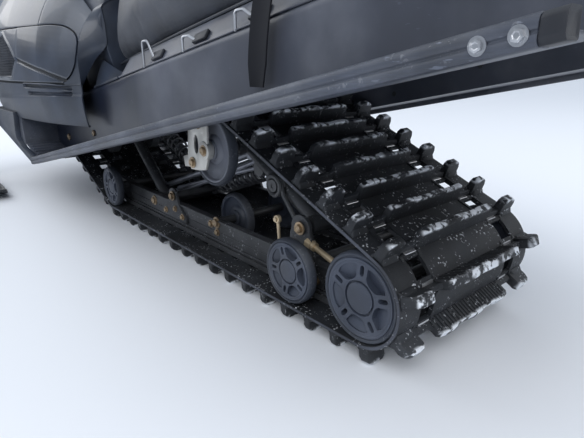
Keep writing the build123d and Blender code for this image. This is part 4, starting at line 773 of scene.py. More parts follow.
def pointing(spot: Spot, way: Spot, turn: float = 0) -> Matrix:
    """Placing that stands a piece on a point, with its +Z along a direction."""
    quat = Vector(way).to_track_quat("Z", "Y")
    return Matrix.LocRotScale(Vector(spot), quat, None) @ Matrix.Rotation(turn, 4, "Z")


def bolts(spots: Sequence[Spot], way: Spot, radius: float, height: float) -> Object:
    """Bolt heads at several points, each turned a little differently."""
    return stamped(bolt(radius, height), [pointing(spot, way, 0.37 * k) for k, spot in enumerate(spots)])


def placed(obj: Object, name: str, finish: Finish, body: str = "root", replaces: Sequence[str] = (),
           angle: float = 34, edge: Finish | None = None) -> Object:
    """Move a modelled piece to the shared frame, finish it and fix it to a body.

    Args:
        obj: The piece, in millimetres by station.
        name: Its name.
        finish: Its finish.
        body: The body that it moves with.
        replaces: The frame's nodes that it stands for.
        angle: Edges sharper than this stay crisp.
        edge: Finish of the faces that bevels made.

    Returns:
        The piece.
    """
    only(obj)
    obj.name = name
    obj.data.name = name
    obj.data.transform(Matrix.Scale(MM, 4) @ Matrix.Translation((-ORIGIN_STATION, 0, 0)))
    obj.data.materials.clear()
    obj.data.materials.append(finish.material())
    # The edge finish goes on the faces that bevels made; it is often a lighter one, for worn edges with a
    # painted highlight.
    if edge:
        obj.data.materials.append(edge.material())
    bpy.ops.object.shade_smooth_by_angle(angle=math.radians(angle))
    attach(obj, body)
    if replaces:
        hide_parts(*replaces)
    LOG.info("%s: %d faces", name, len(obj.data.polygons))
    return obj


def dressed(finish: Finish, *nodes: str) -> None:
    """Give the frame's own nodes a finish."""
    for node in nodes:
        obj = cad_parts[node]
        obj.data.materials.clear()
        obj.data.materials.append(finish.material())


# The track and what it runs on


def wheel_box(node: str) -> tuple[float, float, float, float]:
    """Station, height, radius and outer face of a pair of wheels in the frame."""
    low, high = (Vector(corner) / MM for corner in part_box(node))
    return (low.x + high.x) / 2 + ORIGIN_STATION, (low.z + high.z) / 2, (high.z - low.z) / 2, high.y


class BeltPath:
    """Closed line of the belt's inner face, round four pairs of wheels."""

    play = 0.3

    def __init__(self) -> None:
        """Work the line out from the wheels' places in the frame."""
        rows = []
        for node in ("rear_wheels", "front_wheels", "drive_sprockets", "carrier_wheels"):
            station, height, radius, _ = wheel_box(node)
            rows.append((station, height, radius + self.play))
        self.circles = rows
        self.parts = []
        angles = [self._leaving(k) for k in range(4)]
        for k, (x, z, radius) in enumerate(rows):
            arrive, leave = angles[k - 1], angles[k]
            while leave < arrive:
                leave += math.tau
            self.parts.append(("arc", radius * (leave - arrive), x, z, radius, arrive))
            after = rows[(k + 1) % 4]
            first = Vector((x + radius * math.cos(leave), z + radius * math.sin(leave)))
            last = Vector((after[0] + after[2] * math.cos(leave), after[1] + after[2] * math.sin(leave)))
            self.parts.append(("line", (last - first).length, first, last, leave, 0))
        self.length = sum(part[1] for part in self.parts)

    def _leaving(self, place: int) -> float:
        """Angle at which the belt leaves one circle for the next."""
        (x, z, radius), (x2, z2, radius2) = self.circles[place], self.circles[(place + 1) % 4]
        reach = math.hypot(x2 - x, z2 - z)
        return math.atan2(z2 - z, x2 - x) - math.pi / 2 + math.asin((radius - radius2) / reach)

    def at(self, distance: float) -> tuple[Vector, Vector]:
        """Place on the line.

        Args:
            distance: Distance along it, backwards over the top and forwards along the floor.

        Returns:
            The point and the way out.
        """
        distance %= self.length
        for part in self.parts:
            if distance <= part[1]:
                break
            distance -= part[1]
        if part[0] == "arc":
            _, _, x, z, radius, arrive = part
            angle = arrive + distance / radius
            spot = Vector((x + radius * math.cos(angle), 0, z + radius * math.sin(angle)))
        else:
            _, length, first, last, angle, _ = part
            flat = first.lerp(last, distance / length)
            spot = Vector((flat.x, 0, flat.y))
        return spot, Vector((math.cos(angle), 0, math.sin(angle)))

    def wrap(self, obj: Object) -> Object:
        """Bend a flat piece round the line: x runs along it, y across and z out of it."""
        for vertex in obj.data.vertices:
            spot, out = self.at(vertex.co.x)
            vertex.co = spot + out * vertex.co.z + Vector((0, -vertex.co.y, 0))
        return obj


@dataclass
class Track:
    """Rubber belt with its lugs, windows, clips and cross rods."""

    path: BeltPath
    width: float = 381
    pitches: int = 48
    belt: float = 6
    lug_height: float = 31.5
    window_inner: float = 108
    window_outer: float = 142
    cells: int = 8
    wall_half: float = 104
    end_inner: float = 146
    end_outer: float = 188
    thickness: float = 15
    ridge_height: float = 11
    flute_pitch: float = 8

    def __post_init__(self) -> None:
        """Work out the lug spacing."""
        self.pitch = self.path.length / self.pitches

    def build(self) -> None:
        """Model and place every piece."""
        placed(self.belt_band(), "track_belt", RUBBER, replaces=("track",), angle=40)
        placed(self.lugs(), "track_lugs", LUG_RUBBER, replaces=("track",), angle=38)
        placed(self.edges(), "track_edges", EDGE_RUBBER, replaces=("track",))
        placed(self.ribs(), "track_ribs", RUBBER, replaces=("track",))
        placed(self.drive_lugs(), "track_drive_lugs", RUBBER, replaces=("track",))
        placed(self.clips(), "track_clips", TRACK_STEEL, replaces=("track",))
        placed(self.rod_ends(), "track_rod_ends", SPRING, replaces=("track",))

    def belt_band(self) -> Object:
        """Endless band with two rows of windows."""
        half = self.width / 2
        edges = [-half, -self.window_outer, -self.window_inner, -40, 40, self.window_inner,
                 self.window_outer, half]
        cells = self.pitches * self.cells
        obj = gridded(cells, len(edges) - 1,
                      lambda u, v: (u * self.path.length, edges[round(v * (len(edges) - 1))], 0))
        step = self.pitch / self.cells

        def in_window(face: bmesh.types.BMFace) -> bool:
            """Whether a cell lies in a window between two lug rows."""
            middle = face.calc_center_median()
            along = (middle.x / step) % self.cells
            return 2 < along < 6 and self.window_inner < abs(middle.y) < self.window_outer

        with shaping(obj, "FACE", in_window):
            bpy.ops.mesh.delete(type="FACE")
        thick(obj, self.belt, 1)
        return outward(self.path.wrap(obj), 0.01)

    def upright(self, outline: Sequence[Flat], depth: float, share: float) -> Object:
        """One lug: an outline across the belt, drafted towards its crest.

        Args:
            outline: Its corners, across the belt and out of it.
            depth: Its thickness along the belt at its foot.
            share: Its crest's thickness as a share of that.

        Returns:
            The lug, flat.
        """
        obj = plate(Axis.X, outline, -depth / 2, depth / 2)
        top = max(height for _, height in outline)
        for vertex in obj.data.vertices:
            vertex.co.x *= 1 - (1 - share) * (vertex.co.z - self.belt) / (top - self.belt)
        return bevelled(obj, 1.3, 1)

    def row(self, wave: float) -> Object:
        """One row of lugs: middle wall, flutes, ridges over the window lanes and end blocks."""
        foot, top = self.belt - 0.5, self.belt + self.lug_height
        half, inner, outer = self.wall_half, self.end_inner, self.end_outer
        crest = [(half - 5 - k * (2 * half - 10) / 12, top - 2.2 + 2 * math.sin(wave + 1.35 * k))
                 for k in range(13)]
        pieces = [self.upright([(half, foot), (half, top - 7), *crest, (-half, top - 7), (-half, foot)],
                               self.thickness, 0.62)]
        for k in range(int((2 * half - 8) / self.flute_pitch)):
            y = -half + 8 + self.flute_pitch * k
            flute = cube((-self.thickness / 2 - 1.3, y - 1.7, foot),
                         (-self.thickness / 2 + 1, y + 1.7, top - 6))
            for vertex in flute.data.vertices:
                if vertex.co.z > foot + 1:
                    vertex.co.x += self.thickness * 0.17
            pieces.append(flute)
        for sign in (-1, 1):
            ridge = self.upright([(half * sign, foot), (half * sign, foot + self.ridge_height + 5),
                                  ((half + 8) * sign, foot + self.ridge_height),
                                  (inner * sign, foot + self.ridge_height), (inner * sign, foot)], 11, 0.6)
            end = self.upright([(inner * sign, foot), (inner * sign, top - 6), ((inner + 6) * sign, top),
                                ((outer - 14) * sign, top), ((outer - 4) * sign, top - 5),
                                (outer * sign, top - 14), (outer * sign, foot)], self.thickness + 1, 0.72)
            gusset = self.upright([((inner + 4) * sign, foot), ((inner + 12) * sign, foot + 13),
                                   ((outer - 2) * sign, foot + 13), (outer * sign, foot)], 27, 0.4)
            pieces += [ridge, end, gusset]
        return joined(pieces)

    def repeated(self, piece: Object, first: int = 0, every: int = 1) -> Object:
        """A flat piece once in each pitch, or in some of them."""
        moves = [Matrix.Translation((self.pitch * k, 0, 0)) for k in range(first, self.pitches, every)]
        return stamped(piece, moves)

    def lugs(self) -> Object:
        """All lug rows, each as wide as the belt, with their height kept for the snow."""
        obj = joined([self.repeated(self.row(1.9 * first), first, 2) for first in range(2)])
        tips = obj.data.attributes.new("tip", "FLOAT", "POINT")
        heights = [(vertex.co.z - self.belt) / self.lug_height for vertex in obj.data.vertices]
        tips.data.foreach_set("value", heights)
        return self.path.wrap(obj)

    def ribs(self) -> Object:
        """Ridges round the windows and along the belt's edges."""
        bars = []
        for low, high in ((-106, -100), (100, 106), (144, 150), (-150, -144)):
            bars.append(cube((10, low, self.belt - 0.4), (self.pitch - 10, high, self.belt + 2.2)))
        return self.path.wrap(self.repeated(joined(bars)))

    def edges(self) -> Object:
        """Pale worn edge faces of the belt with a shallow groove."""
        bar = cube((0, self.width / 2 - 2.4, 0.6), (self.pitch, self.width / 2 + 0.1, self.belt - 0.8))
        groove = cube((0, self.width / 2 - 1.4, 2.6), (self.pitch, self.width / 2 - 0.9, 3.4))
        bar = joined([bar, groove])
        with shaping(bar, "EDGE", lambda edge: abs(edge.verts[0].co.x - edge.verts[1].co.x) > 1):
            bpy.ops.mesh.subdivide(number_cuts=5)
        return self.path.wrap(both(self.repeated(bar)))

    def drive_lugs(self) -> Object:
        """Nubs on the inner face that the drive cogs push."""
        nub = cube((-9, 52, -13), (9, 88, 0.4))
        with shaping(nub, "FACE", lambda face: face.normal.z < -0.9):
            bpy.ops.transform.resize(value=(0.45, 0.7, 1), center_override=(0, 70, -13))
        both(bevelled(nub, 2, 1))
        return self.path.wrap(self.repeated(nub))

    def clips(self) -> Object:
        """Steel clips folded round the bars between the windows."""
        clip = cube((-10, self.window_inner - 0.5, -1.6), (10, self.window_outer - 8, self.belt + 1.4))
        both(bevelled(sunk(clip, (0, 0, -1), 3, 1), 0.8, 1))
        return self.path.wrap(self.repeated(clip))

    def rod_ends(self) -> Object:
        """Ends of the cross rods, just proud of the belt's edges."""
        end = drum((0, self.width / 2 - 2, 3), (0, self.width / 2, 3), 2.6, 10)
        both(end)
        return self.path.wrap(self.repeated(end))


@dataclass
class Wheels:
    """Five-spoked road wheels with rubber tyres."""

    width: float = 22
    spokes: int = 5
    sides: int = 80
    tyre_share: float = 0.105
    cap_share: float = 0.34
    pocket_depth: float = 15.5
    pocket_ramp: float = 9.5

    def build(self) -> None:
        """Model one wheel of each size and copy it to both sides."""
        for node, turn in (("rear_wheels", 14), ("second_wheels", 40), ("front_wheels", 40)):
            station, height, radius, face = wheel_box(node)
            move = Matrix.Translation((station, 0, height)) @ Matrix.Rotation(math.radians(turn), 4, "Y")
            placed(both(moved(self.spoked(radius, face), move)), f"{node}_discs", WHEEL,
                   replaces=(node,), angle=30)
            placed(both(self.tyre(radius, face, station, height)), f"{node}_tyres", TYRE, replaces=(node,))
        for node, finish in (("carrier_wheels", DISC), ("inner_wheels", WHEEL)):
            station, height, radius, face = wheel_box(node)
            placed(both(self.dished(radius, face, station, height)), f"{node}_discs", finish,
                   replaces=(node,))
            placed(both(self.tyre(radius, face, station, height)), f"{node}_tyres", TYRE, replaces=(node,))

    def tyre(self, radius: float, face: float, station: float, height: float) -> Object:
        """Rubber tyre of the left wheel, with its crowned tread and a side lip."""
        inner = radius * (1 - self.tyre_share)
        back = face - self.width
        profile = [(inner, back + 1.5), (radius - 5, back), (radius - 1.2, back + 3.5), (radius, back + 8),
                   (radius, face - 8), (radius - 1.2, face - 3), (radius - 3.4, face - 0.6),
                   (inner + 1.6, face - 0.6), (inner, face - 2.2)]
        return lathe(profile, (station, 0, height), (0, 1, 0), self.sides)

    def dished(self, radius: float, face: float, station: float, height: float) -> Object:
        """Plain dished disc of the left wheel, with a stepped hub."""
        rim = radius * (1 - self.tyre_share)
        back = face - self.width
        profile = [(10.5, face - 1), (19, face - 1), (20, face - 2), (20, face - 6), (25, face - 7),
                   (27, face - 8), (31, face - 12.5), (rim * 0.80, face - 12), (rim * 0.90, face - 8.5),
                   (rim * 0.935, face - 2), (rim * 0.965, face - 1), (rim, face - 1.6), (rim, back + 1.5),
                   (rim * 0.93, back + 1), (rim * 0.88, back + 6), (32, back + 6.5), (26, back + 1),
                   (10.5, back + 1)]
        return lathe(profile, (station, 0, height), (0, 1, 0), self.sides)

    def spoked(self, radius: float, face: float) -> Object:
        """Moulded disc with fan pockets, a slot along each spoke and a round cap, about the origin's y axis.

        Args:
            radius: The wheel's outer radius.
            face: How far out its face is.

        Returns:
            The disc.
        """
        rim = radius * (1 - self.tyre_share)
        back = face - self.width
        cap = radius * self.cap_share
        profile = [(0, face - 2.2), (cap * 0.90, face - 2.2), (cap, face - 3), (cap * 1.02, face - 7),
                   (cap * 1.12, face - 7), (cap * 1.15, face - 2.6), (rim * 0.87, face - 3.2),
                   (rim * 0.90, face - 2.2), (rim * 0.925, face - 1), (rim * 0.965, face - 0.9),
                   (rim * 0.975, face - 3.6), (rim, face - 3.8), (rim, back + 1.6),
                   (rim * 0.9, back + 1.6), (rim * 0.86, back + 4), (26, back + 4), (24, back + 2),
                   (0, back + 2)]
        obj = lathe(profile, (0, 0, 0), (0, 1, 0), self.sides)
        low, high = cap * 1.24, rim * 0.85
        pockets, slots = [], []
        for k in range(self.spokes):
            spin = Matrix.Rotation(math.tau * k / self.spokes, 4, "Y")
            pocket = plate(Axis.Y, self.fan(low, high), face - self.pocket_depth, face + 1)
            for vertex in pocket.data.vertices:
                if vertex.co.y < face:
                    reach = math.hypot(vertex.co.x, vertex.co.z)
                    vertex.co.y += self.pocket_ramp * (reach - low) / (high - low)
            pocket.data.transform(spin)
            pockets.append(pocket)
            slot = plate(Axis.Y, self.slot(low * 1.20, high * 0.98, radius * 0.052), back - 1, face + 1)
            slot.data.transform(Matrix.Rotation(math.tau * (k + 0.5) / self.spokes, 4, "Y"))
            slots.append(slot)
        removed(obj, joined(pockets))
        removed(obj, joined(slots))
        return bevelled(obj, 0.9, 2, 40)

    @staticmethod
    def fan(low: float, high: float, steps: int = 6) -> list[Flat]:
        """Outline of a rounded fan between two radii, that leaves a broad spoke on each side."""
        outer = [(high - 2.6 * abs(2 * k / steps - 1) ** 5, 0.43 * (2 * k / steps - 1))
                 for k in range(steps + 1)]
        inner = [(low + 5.5 * abs(1 - 2 * k / steps) ** 3, 0.36 * (1 - 2 * k / steps))
                 for k in range(steps + 1)]
        return [(r * math.cos(a), r * math.sin(a)) for r, a in (*outer, *inner)]

    @staticmethod
    def slot(low: float, high: float, half: float, steps: int = 5) -> list[Flat]:
        """Outline of a radial slot with round ends."""
        turns = [math.pi * (k / steps - 0.5) for k in range(steps + 1)]
        outer = [(high - half + half * math.cos(a), half * math.sin(a)) for a in turns]
        inner = [(low + half - half * math.cos(a), -half * math.sin(a)) for a in turns]
        return outer + inner


def turned_up(spots: Sequence[Flat], y: float) -> list[Spot]:
    """Points at stations and heights, all at one distance from the middle plane."""
    return [(station, y, height) for station, height in spots]


@dataclass
class Skid:
    """Rails, arms, rods, springs and brackets inside the track."""

    rail_y: float = 125
    rail_outer: float = 131
    rail_top: float = 104
    carrier: Flat = (404, 286.5)
    arm_top: Flat = (1020, 262)
    rod_foot: Flat = (690, 124)
    rod_head: Flat = (372, 240)
    bracket: Flat = (186, 165)
    spring_spot: Flat = (288.5, 222.1)
    idler: Flat = (488, 99)
    long_rod: tuple = ((905, 62, 96), (430, 62, 262))
    thin_rods: tuple = (((803, 62, 96), (404, 62, 250)), ((803, 62, 112), (404, 62, 234)))
    hanger_outline: tuple = ((380, 268.5), (392, 247), (424, 242.5), (466, 240.5), (474, 250), (480, 268.5),
                             (474, 300), (466, 338.5), (450, 405.7), (370, 405.7), (376, 330))

    def build(self) -> None:
        """Model and place every piece."""
        dressed(RAIL, "rails")
        dressed(RUNNER, "slide_shoes", "drive_sprockets")
        dressed(ARM, "front_arm", "rear_arm")
        placed(self.rail_lips(), "rail_lips", RAIL, edge=RAIL.worn())
        placed(self.shafts(), "skid_shafts", SPRING, replaces=("cross_shafts",))
        placed(self.shaft_bolts(), "skid_bolts", GOLD, replaces=("cross_shafts",), angle=25)
        placed(self.brackets(), "bracket_plates", RAIL, replaces=("rail_brackets",), edge=RAIL.worn())
        placed(self.bracket_bolts(), "bracket_bolts", GOLD, angle=25)
        placed(self.rods(), "long_rods", ROD, replaces=("skid_shocks",), edge=ROD.worn())
        placed(self.shock_bodies(), "skid_shock_bodies", STEEL, replaces=("skid_shocks",))
        placed(self.shock_coils(), "skid_shock_coils", SPRING, replaces=("skid_shocks",))
        placed(self.torsion_coils(), "torsion_coils", SPRING, replaces=("torsion_springs",))
        placed(self.carrier_hangers(), "carrier_hangers", ALLOY, replaces=("hangers",), edge=ALLOY.worn())
        placed(self.hanger_bolts(), "hanger_bolts", GOLD, angle=25)
        placed(self.eye_bolts(), "eye_bolts", PALE_GOLD, angle=25)
        placed(self.tension_bolts(), "tension_bolts", PALE_GOLD, angle=25)
        placed(self.stop_blocks(), "stop_blocks", ALLOY, edge=ALLOY.worn())

    def rail_lips(self) -> Object:
        """Flanges along the top and the foot of both rails."""
        pieces = []
        for low, high, half in ((self.rail_top - 3, self.rail_top + 1.6, 9), (51, 58, 9.5)):
            bar = cube((67, self.rail_y - half, low), (985, self.rail_y + half, high))
            pieces.append(bevelled(bar, 1, 2))
        bead = cube((67, self.rail_outer - 1, 74), (985, self.rail_outer + 1.2, 77))
        pieces.append(bevelled(bead, 0.8, 1))
        return both(joined(pieces))

    def shafts(self) -> Object:
        """Plain round shafts across the skid."""
        rows = ((0, 112, 182), (168, 99, 182), (1006, 99, 182), (*self.idler, 131),
                (820, 84, 131), (*self.rod_foot, 139), (*self.bracket, 139), (*self.carrier, 195),
                (*self.arm_top, 204), (1271, 225, 204))
        return joined([drum((station, -half, height), (station, half, height), 9.8, 28)
                       for station, height, half in rows])

    def shaft_bolts(self) -> Object:
        """Plated bolt heads on the ends of the shafts."""
        rows = ((self.idler, 131, 9.5), ((820, 84), 131, 9.5), (self.rod_foot, 139.2, 9),
                (self.bracket, 139.2, 8.6), (self.arm_top, 205.2, 9.5), ((1271, 225), 205.2, 11))
        pieces = [bolts([(station, y, height)], (0, 1, 0), radius, 8)
                  for (station, height), y, radius in rows]
        stubs = [(self.idler[0], self.rail_outer, self.idler[1] - 24),
                 (self.idler[0] + 26, self.rail_outer, 90)]
        pieces.append(bolts(stubs, (0, 1, 0), 6.5, 6))
        return both(joined(pieces))

    def brackets(self) -> Object:
        """Bracket plates on the outer faces of the rails."""
        outlines = [self.headed(self.rod_foot, 64, 72, 21), self.headed(self.bracket, 60, 58, 25)]
        pieces = []
        for outline in outlines:
            obj = plate(Axis.Y, outline, self.rail_outer + 0.2, self.rail_outer + 8)
            pieces.append(bevelled(sunk(obj, (0, 1, 0), 6, -2.2), 1, 2))
        return both(joined(pieces))

    @staticmethod
    def headed(spot: Flat, behind: float, ahead: float, head: float) -> list[Flat]:
        """Outline of a bracket: a broad foot, hollowed flanks and a round head."""
        x, z = spot
        crown = [(x + head * math.cos(a), z + head * math.sin(a))
                 for a in np.linspace(-0.15, math.pi + 0.15, 12)]
        return [(x - behind, 62), (x + ahead, 62), (x + ahead, 76), (x + 0.62 * ahead, 92),
                (x + head * 1.15, z - 14), *crown, (x - head * 1.15, z - 14), (x - 0.62 * behind, 92),
                (x - behind, 76)]

    def bracket_bolts(self) -> Object:
        """Small bolts that fix the brackets to the rails."""
        foot, rear = self.rod_foot, self.bracket
        spots = [(foot[0] - 44, 76), (foot[0] + 48, 76), (foot[0] - 6, 90), (rear[0] - 42, 76),
                 (rear[0] + 40, 76)]
        return both(bolts(turned_up(spots, self.rail_outer + 6), (0, 1, 0), 6, 6))

    def rods(self) -> Object:
        """Long rods of the suspension, with their forged eyes."""
        pieces = [bevelled(drum(*self.long_rod, 8.5, 20), 1, 1)]
        for start, end in self.thin_rods:
            pieces.append(drum(start, end, 5.5, 16))
        for station, y, height in (*self.long_rod, *self.thin_rods[0]):
            eye = drum((station, y - 11, height), (station, y + 11, height), 15, 28)
            pieces.append(bevelled(eye, 1.2, 2))
        return both(joined(pieces))

    def shock_lines(self) -> list[tuple[Vector, Vector, Vector]]:
        """Foot, head and direction of both dampers, on the middle plane."""
        start = Vector((self.rod_foot[0], 0, self.rod_foot[1]))
        ends = [Vector((head[0], 0, head[1])) for head in (self.rod_head, self.arm_top)]
        return [(start, end, (end - start).normalized()) for end in ends]

    def shock_bodies(self) -> Object:
        """Dampers on the middle plane, with their eyes."""
        pieces = []
        for start, end, way in self.shock_lines():
            pieces.append(drum(start + way * 24, start + way * ((end - start).length * 0.62), 14, 28))
            pieces.append(drum(start + way * 60, end - way * 20, 6.5, 20))
            for spot, sign in ((start + way * 30, 1), (end - way * 40, -1)):
                pieces.append(drum(spot, spot + way * (6 * sign), 25, 32))
            pieces.append(drum(end + Vector((0, -10, 0)), end + Vector((0, 10, 0)), 16, 28))
        x, z = self.rod_foot
        pieces.append(drum((x, -13, z), (x, 13, z), 18, 28))
        return joined(pieces)

    def shock_coils(self) -> Object:
        """Coil springs round the dampers."""
        pieces = []
        for start, end, way in self.shock_lines():
            pieces.append(coil(start + way * 34, end - way * 44, 21, 3.6, 11))
        return joined(pieces)

    def torsion_coils(self) -> Object:
        """Torsion springs beside the rear arm: a short coil and its leg down to the rail."""
        station, height = self.spring_spot
        ring = coil((station, 106, height), (station, 120, height), 19.5, 4.6, 2.4, 28)
        leg = tube([(station - 19, 113, height + 4), (station - 24, 113, height - 14),
                    (station - 58, 113, height - 54)], 4.6, 14, 10)
        core = lathe([(5, 0), (11, 0), (12.5, 1.5), (12.5, 17), (5, 17)], (station, 104, height),
                     (0, 1, 0), 28)
        return both(joined([ring, leg, core]))

    def carrier_hangers(self) -> Object:
        """Cast hangers of the carrier shaft, each with an oval window."""
        outline = [(446 + (station - 446) * 0.80, height) for station, height in self.hanger_outline]
        obj = plate(Axis.Y, outline, 195, 201)
        hole = [(435 + 9 * math.cos(k * math.tau / 20), 296.5 + 19 * math.sin(k * math.tau / 20))
                for k in range(20)]
        removed(obj, plate(Axis.Y, hole, 190, 206))
        x, z = self.carrier
        boss = drum((x, 188, z), (x, 202.5, z), 19, 32)
        rim = lathe([(9, -3), (13, -3), (13, 1.5), (9, 1.5)], (420, 201, 340), (0, 1, 0), 24)
        return both(joined([bevelled(obj, 1.4, 2), bevelled(boss, 1, 2), rim]))

    def eye_bolts(self) -> Object:
        """Strap bolts that stand on the rails ahead of the rear brackets."""
        eye = bevelled(drum((253, 133, 166), (253, 141, 166), 8, 24), 1, 2)
        stem = drum((253, 136, 158), (249, 136, 102), 3.4, 12)
        nut = drum((253, 131, 166), (253, 145, 166), 4.6, 6)
        return both(joined([eye, stem, nut]))

    def tension_bolts(self) -> Object:
        """Long adjusting bolts that pull the rear shaft back along the rails."""
        shank = drum((90, 134, 119), (160, 134, 139), 5.5, 20)
        head = drum((158, 134, 138.4), (172, 134, 142.4), 10, 6)
        collar = drum((150, 134, 136.2), (157, 134, 138.2), 8.4, 24)
        return both(joined([shank, bevelled(head, 1, 1), collar]))

    def stop_blocks(self) -> Object:
        """Pale blocks beside the carrier wheels, on the hangers' inner faces."""
        obj = plate(Axis.Y, [(438, 246), (500, 240), (505, 262), (462, 274), (440, 268)], 186, 194.8)
        return both(bevelled(obj, 1.2, 2))

    def hanger_bolts(self) -> Object:
        """Bolts of the carrier hangers."""
        spots = [(self.carrier[0], self.carrier[1]), (420, 340), (452, 256)]
        return both(bolts(turned_up(spots, 201.5), (0, 1, 0), 8, 6))


TOP_AT_AXLE, TOP_SLOPE = 543.5, -0.155


def tunnel_top(station: float) -> float:
    """Height of the tunnel's top face."""
    return TOP_AT_AXLE + TOP_SLOPE * station


@dataclass
class Tunnel:
    """Folded tunnel with its running boards, edge beams, flap, cooler and grab tube."""

    rear: float = -290
    front: float = 1404
    half: float = 205
    wall: float = 4
    corner: float = 13
    beam_at_axle: float = 425.5
    beam_slope: float = -0.2
    beam_rear: float = -275
    beam_front: float = 1262
    beam_outer: float = 340
    board_drop: float = 9
    rivets: tuple = ((69, 506), (59, 443), (-197, 500), (273, 472))
    dents: tuple = ((330, 440, 60, 2.6), (-60, 470, 80, 2.2), (520, 410, 70, 2.4), (120, 430, 34, 1.8),
                    (-180, 455, 40, 1.7), (690, 385, 60, 2))

    def beam(self, station: float) -> float:
        """Height of the edge beam's top."""
        return self.beam_at_axle + self.beam_slope * station

    def build(self) -> None:
        """Model and place every piece."""
        placed(self.shell(), "tunnel_shell", TUNNEL, replaces=("tunnel",), angle=50)
        placed(self.fasteners(), "tunnel_rivets", TUBE, angle=30)
        placed(self.boards(), "running_boards", BOARD, replaces=("boards",), edge=BOARD.worn())
        placed(self.treads(), "board_treads", BOARD)
        placed(self.caps(), "beam_caps", CAP, replaces=("beam_end_caps",))
        placed(self.cap_bolts(), "beam_bolts", STEEL, angle=25)
        placed(self.flap(), "rear_flap", FLAP, replaces=("snow_flap",))
        placed(self.cooler(), "cooler_fins", COOLER, replaces=("cooler",))
        placed(self.hooks(), "wire_hooks", STEEL)
        placed(self.clips(), "edge_clips", CAP)
        placed(self.shoulders(), "tunnel_shoulders", SHOULDER, edge=TUNNEL)
        dressed(TUBE, "rear_bumper", "front_bumper")

    def profile(self, station: float) -> list[Flat]:
        """Half section from the left foot to the middle of the top."""
        foot, top, r = self.beam(station) - self.board_drop - 3, tunnel_top(station), self.corner
        points = [(self.half, foot + (top - r - foot) * k / 10) for k in range(11)]
        points += [(self.half - r + r * math.cos(a), top - r + r * math.sin(a))
                   for a in (0.4, 0.8, 1.2, math.pi / 2)]
        points += [((self.half - r) * (1 - k / 8), top) for k in range(1, 9)]
        return points

    def skin(self, u: float, v: float) -> Spot:
        """Point of the outer skin, with the dents of its sides."""
        station = self.rear + (self.front - self.rear) * u
        rows = self.profile(station)
        whole = rows + [(-y, z) for y, z in reversed(rows[:-1])]
        y, z = whole[round(v * (len(whole) - 1))]
        if abs(abs(y) - self.half) < 0.1:
            push = sum(depth * math.exp(-((station - a) ** 2 + (z - h) ** 2) / reach ** 2)
                       for a, h, reach, depth in self.dents)
            push += 0.5 * noise.noise(Vector((station / 130, z / 70, math.copysign(1, y))))
            y -= math.copysign(abs(push) * 0.9, y)
        return station, y, z

    def shell(self) -> Object:
        """Folded sheet with a front plate."""
        count = 2 * len(self.profile(0)) - 2
        obj = gridded(84, count, self.skin)
        thick(obj, self.wall)
        y, low, high = self.half - 4, self.beam(self.front) - 12, tunnel_top(self.front) - 4
        front = plate(Axis.X, [(-y, low), (y, low), (y, high), (-y, high)], self.front - 4, self.front)
        return joined([outward(obj), front])

    def fasteners(self) -> Object:
        """Rivets on both sides of the tunnel."""
        head = lathe([(0, 0), (5.6, 0), (5.2, 1.2), (3.4, 2), (3, 1.5), (0, 1.5)], (0, 0, 0), (0, 0, 1), 20)
        spots = [Vector((station, self.half - 0.4, height)) for station, height in self.rivets]
        spots += [Vector((station, self.half - 0.4, self.beam(station) + 9))
                  for station in range(-240, 1000, 124)]
        spots += [Vector((station, self.half - 0.4, tunnel_top(station) - 22))
                  for station in range(360, 960, 150)]
        return both(stamped(head, [pointing(spot, (0, 1, 0)) for spot in spots]))

    def leaned(self, obj: Object) -> Object:
        """Lay a level piece along the slope of the beam."""
        for vertex in obj.data.vertices:
            vertex.co.z += self.beam_slope * vertex.co.x
        return obj

    def boards(self) -> Object:
        """Edge beam and board in one extrusion, with lips and grooves."""
        top, out = self.beam_at_axle, self.beam_outer
        tread = top - self.board_drop
        outline = [(self.half, tread - 3), (out - 24, tread - 3), (out - 24, top - 22),
                   (out - 22.5, top - 23), (out - 6, top - 23), (out - 2.2, top - 22), (out, top - 19),
                   (out, top - 14.2), (out - 1.8, top - 13.2), (out - 1.8, top - 11.6), (out, top - 10.6),
                   (out, top - 5.2), (out - 1.4, top - 2), (out - 5, top), (out - 20, top),
                   (out - 23, top - 1.4), (out - 24, top - 4), (out - 24, tread), (self.half + 8, tread),
                   (self.half + 2.5, tread + 3), (self.half + 2.5, tread + 15), (self.half, tread + 15)]
        obj = plate(Axis.X, outline, self.beam_rear, self.beam_front)
        return both(self.leaned(bevelled(obj, 0.7, 1, 40)))

    def treads(self) -> Object:
        """Raised oval grips punched in the boards."""
        ring = lathe([(6, 0), (10.5, 0), (8.6, 3.2), (7.2, 3.4)], (0, 0, 0), (0, 0, 1), 18)
        ring.data.transform(Matrix.Diagonal((1.5, 1, 1, 1)))
        tread = self.beam_at_axle - self.board_drop - 0.2
        moves = []
        for k in range(27):
            station = self.beam_rear + 44 + 54 * k
            for lane in range(2):
                moves.append(Matrix.Translation((station + 27 * lane, self.half + 36 + 42 * lane, tread)))
        return both(self.leaned(stamped(ring, moves)))

    def caps(self) -> Object:
        """Plugs on the rear ends of the edge beams."""
        top, out = self.beam_at_axle, self.beam_outer
        obj = plate(Axis.X, [(out - 24, top - 22.5), (out - 4, top - 22.5), (out - 0.3, top - 18),
                             (out - 0.3, top - 4), (out - 4, top - 0.4), (out - 22, top - 0.4)],
                    self.beam_rear - 18, self.beam_rear - 0.2)
        return both(self.leaned(bevelled(sunk(obj, (-1, 0, 0), 3, -1.8), 1.6, 2)))

    def cap_bolts(self) -> Object:
        """Two flange bolts near the rear end of each beam."""
        spots = [(station, self.beam_outer - 0.6, self.beam(station) - 12.5) for station in (-234, -263)]
        return both(bolts(spots, (0, 1, 0), 5, 3.8))

    def flap(self) -> Object:
        """Hanging sheet behind the track, with moulded ribs."""
        top = tunnel_top(self.rear) - self.wall
        lean, length, half = 60, 298, 184

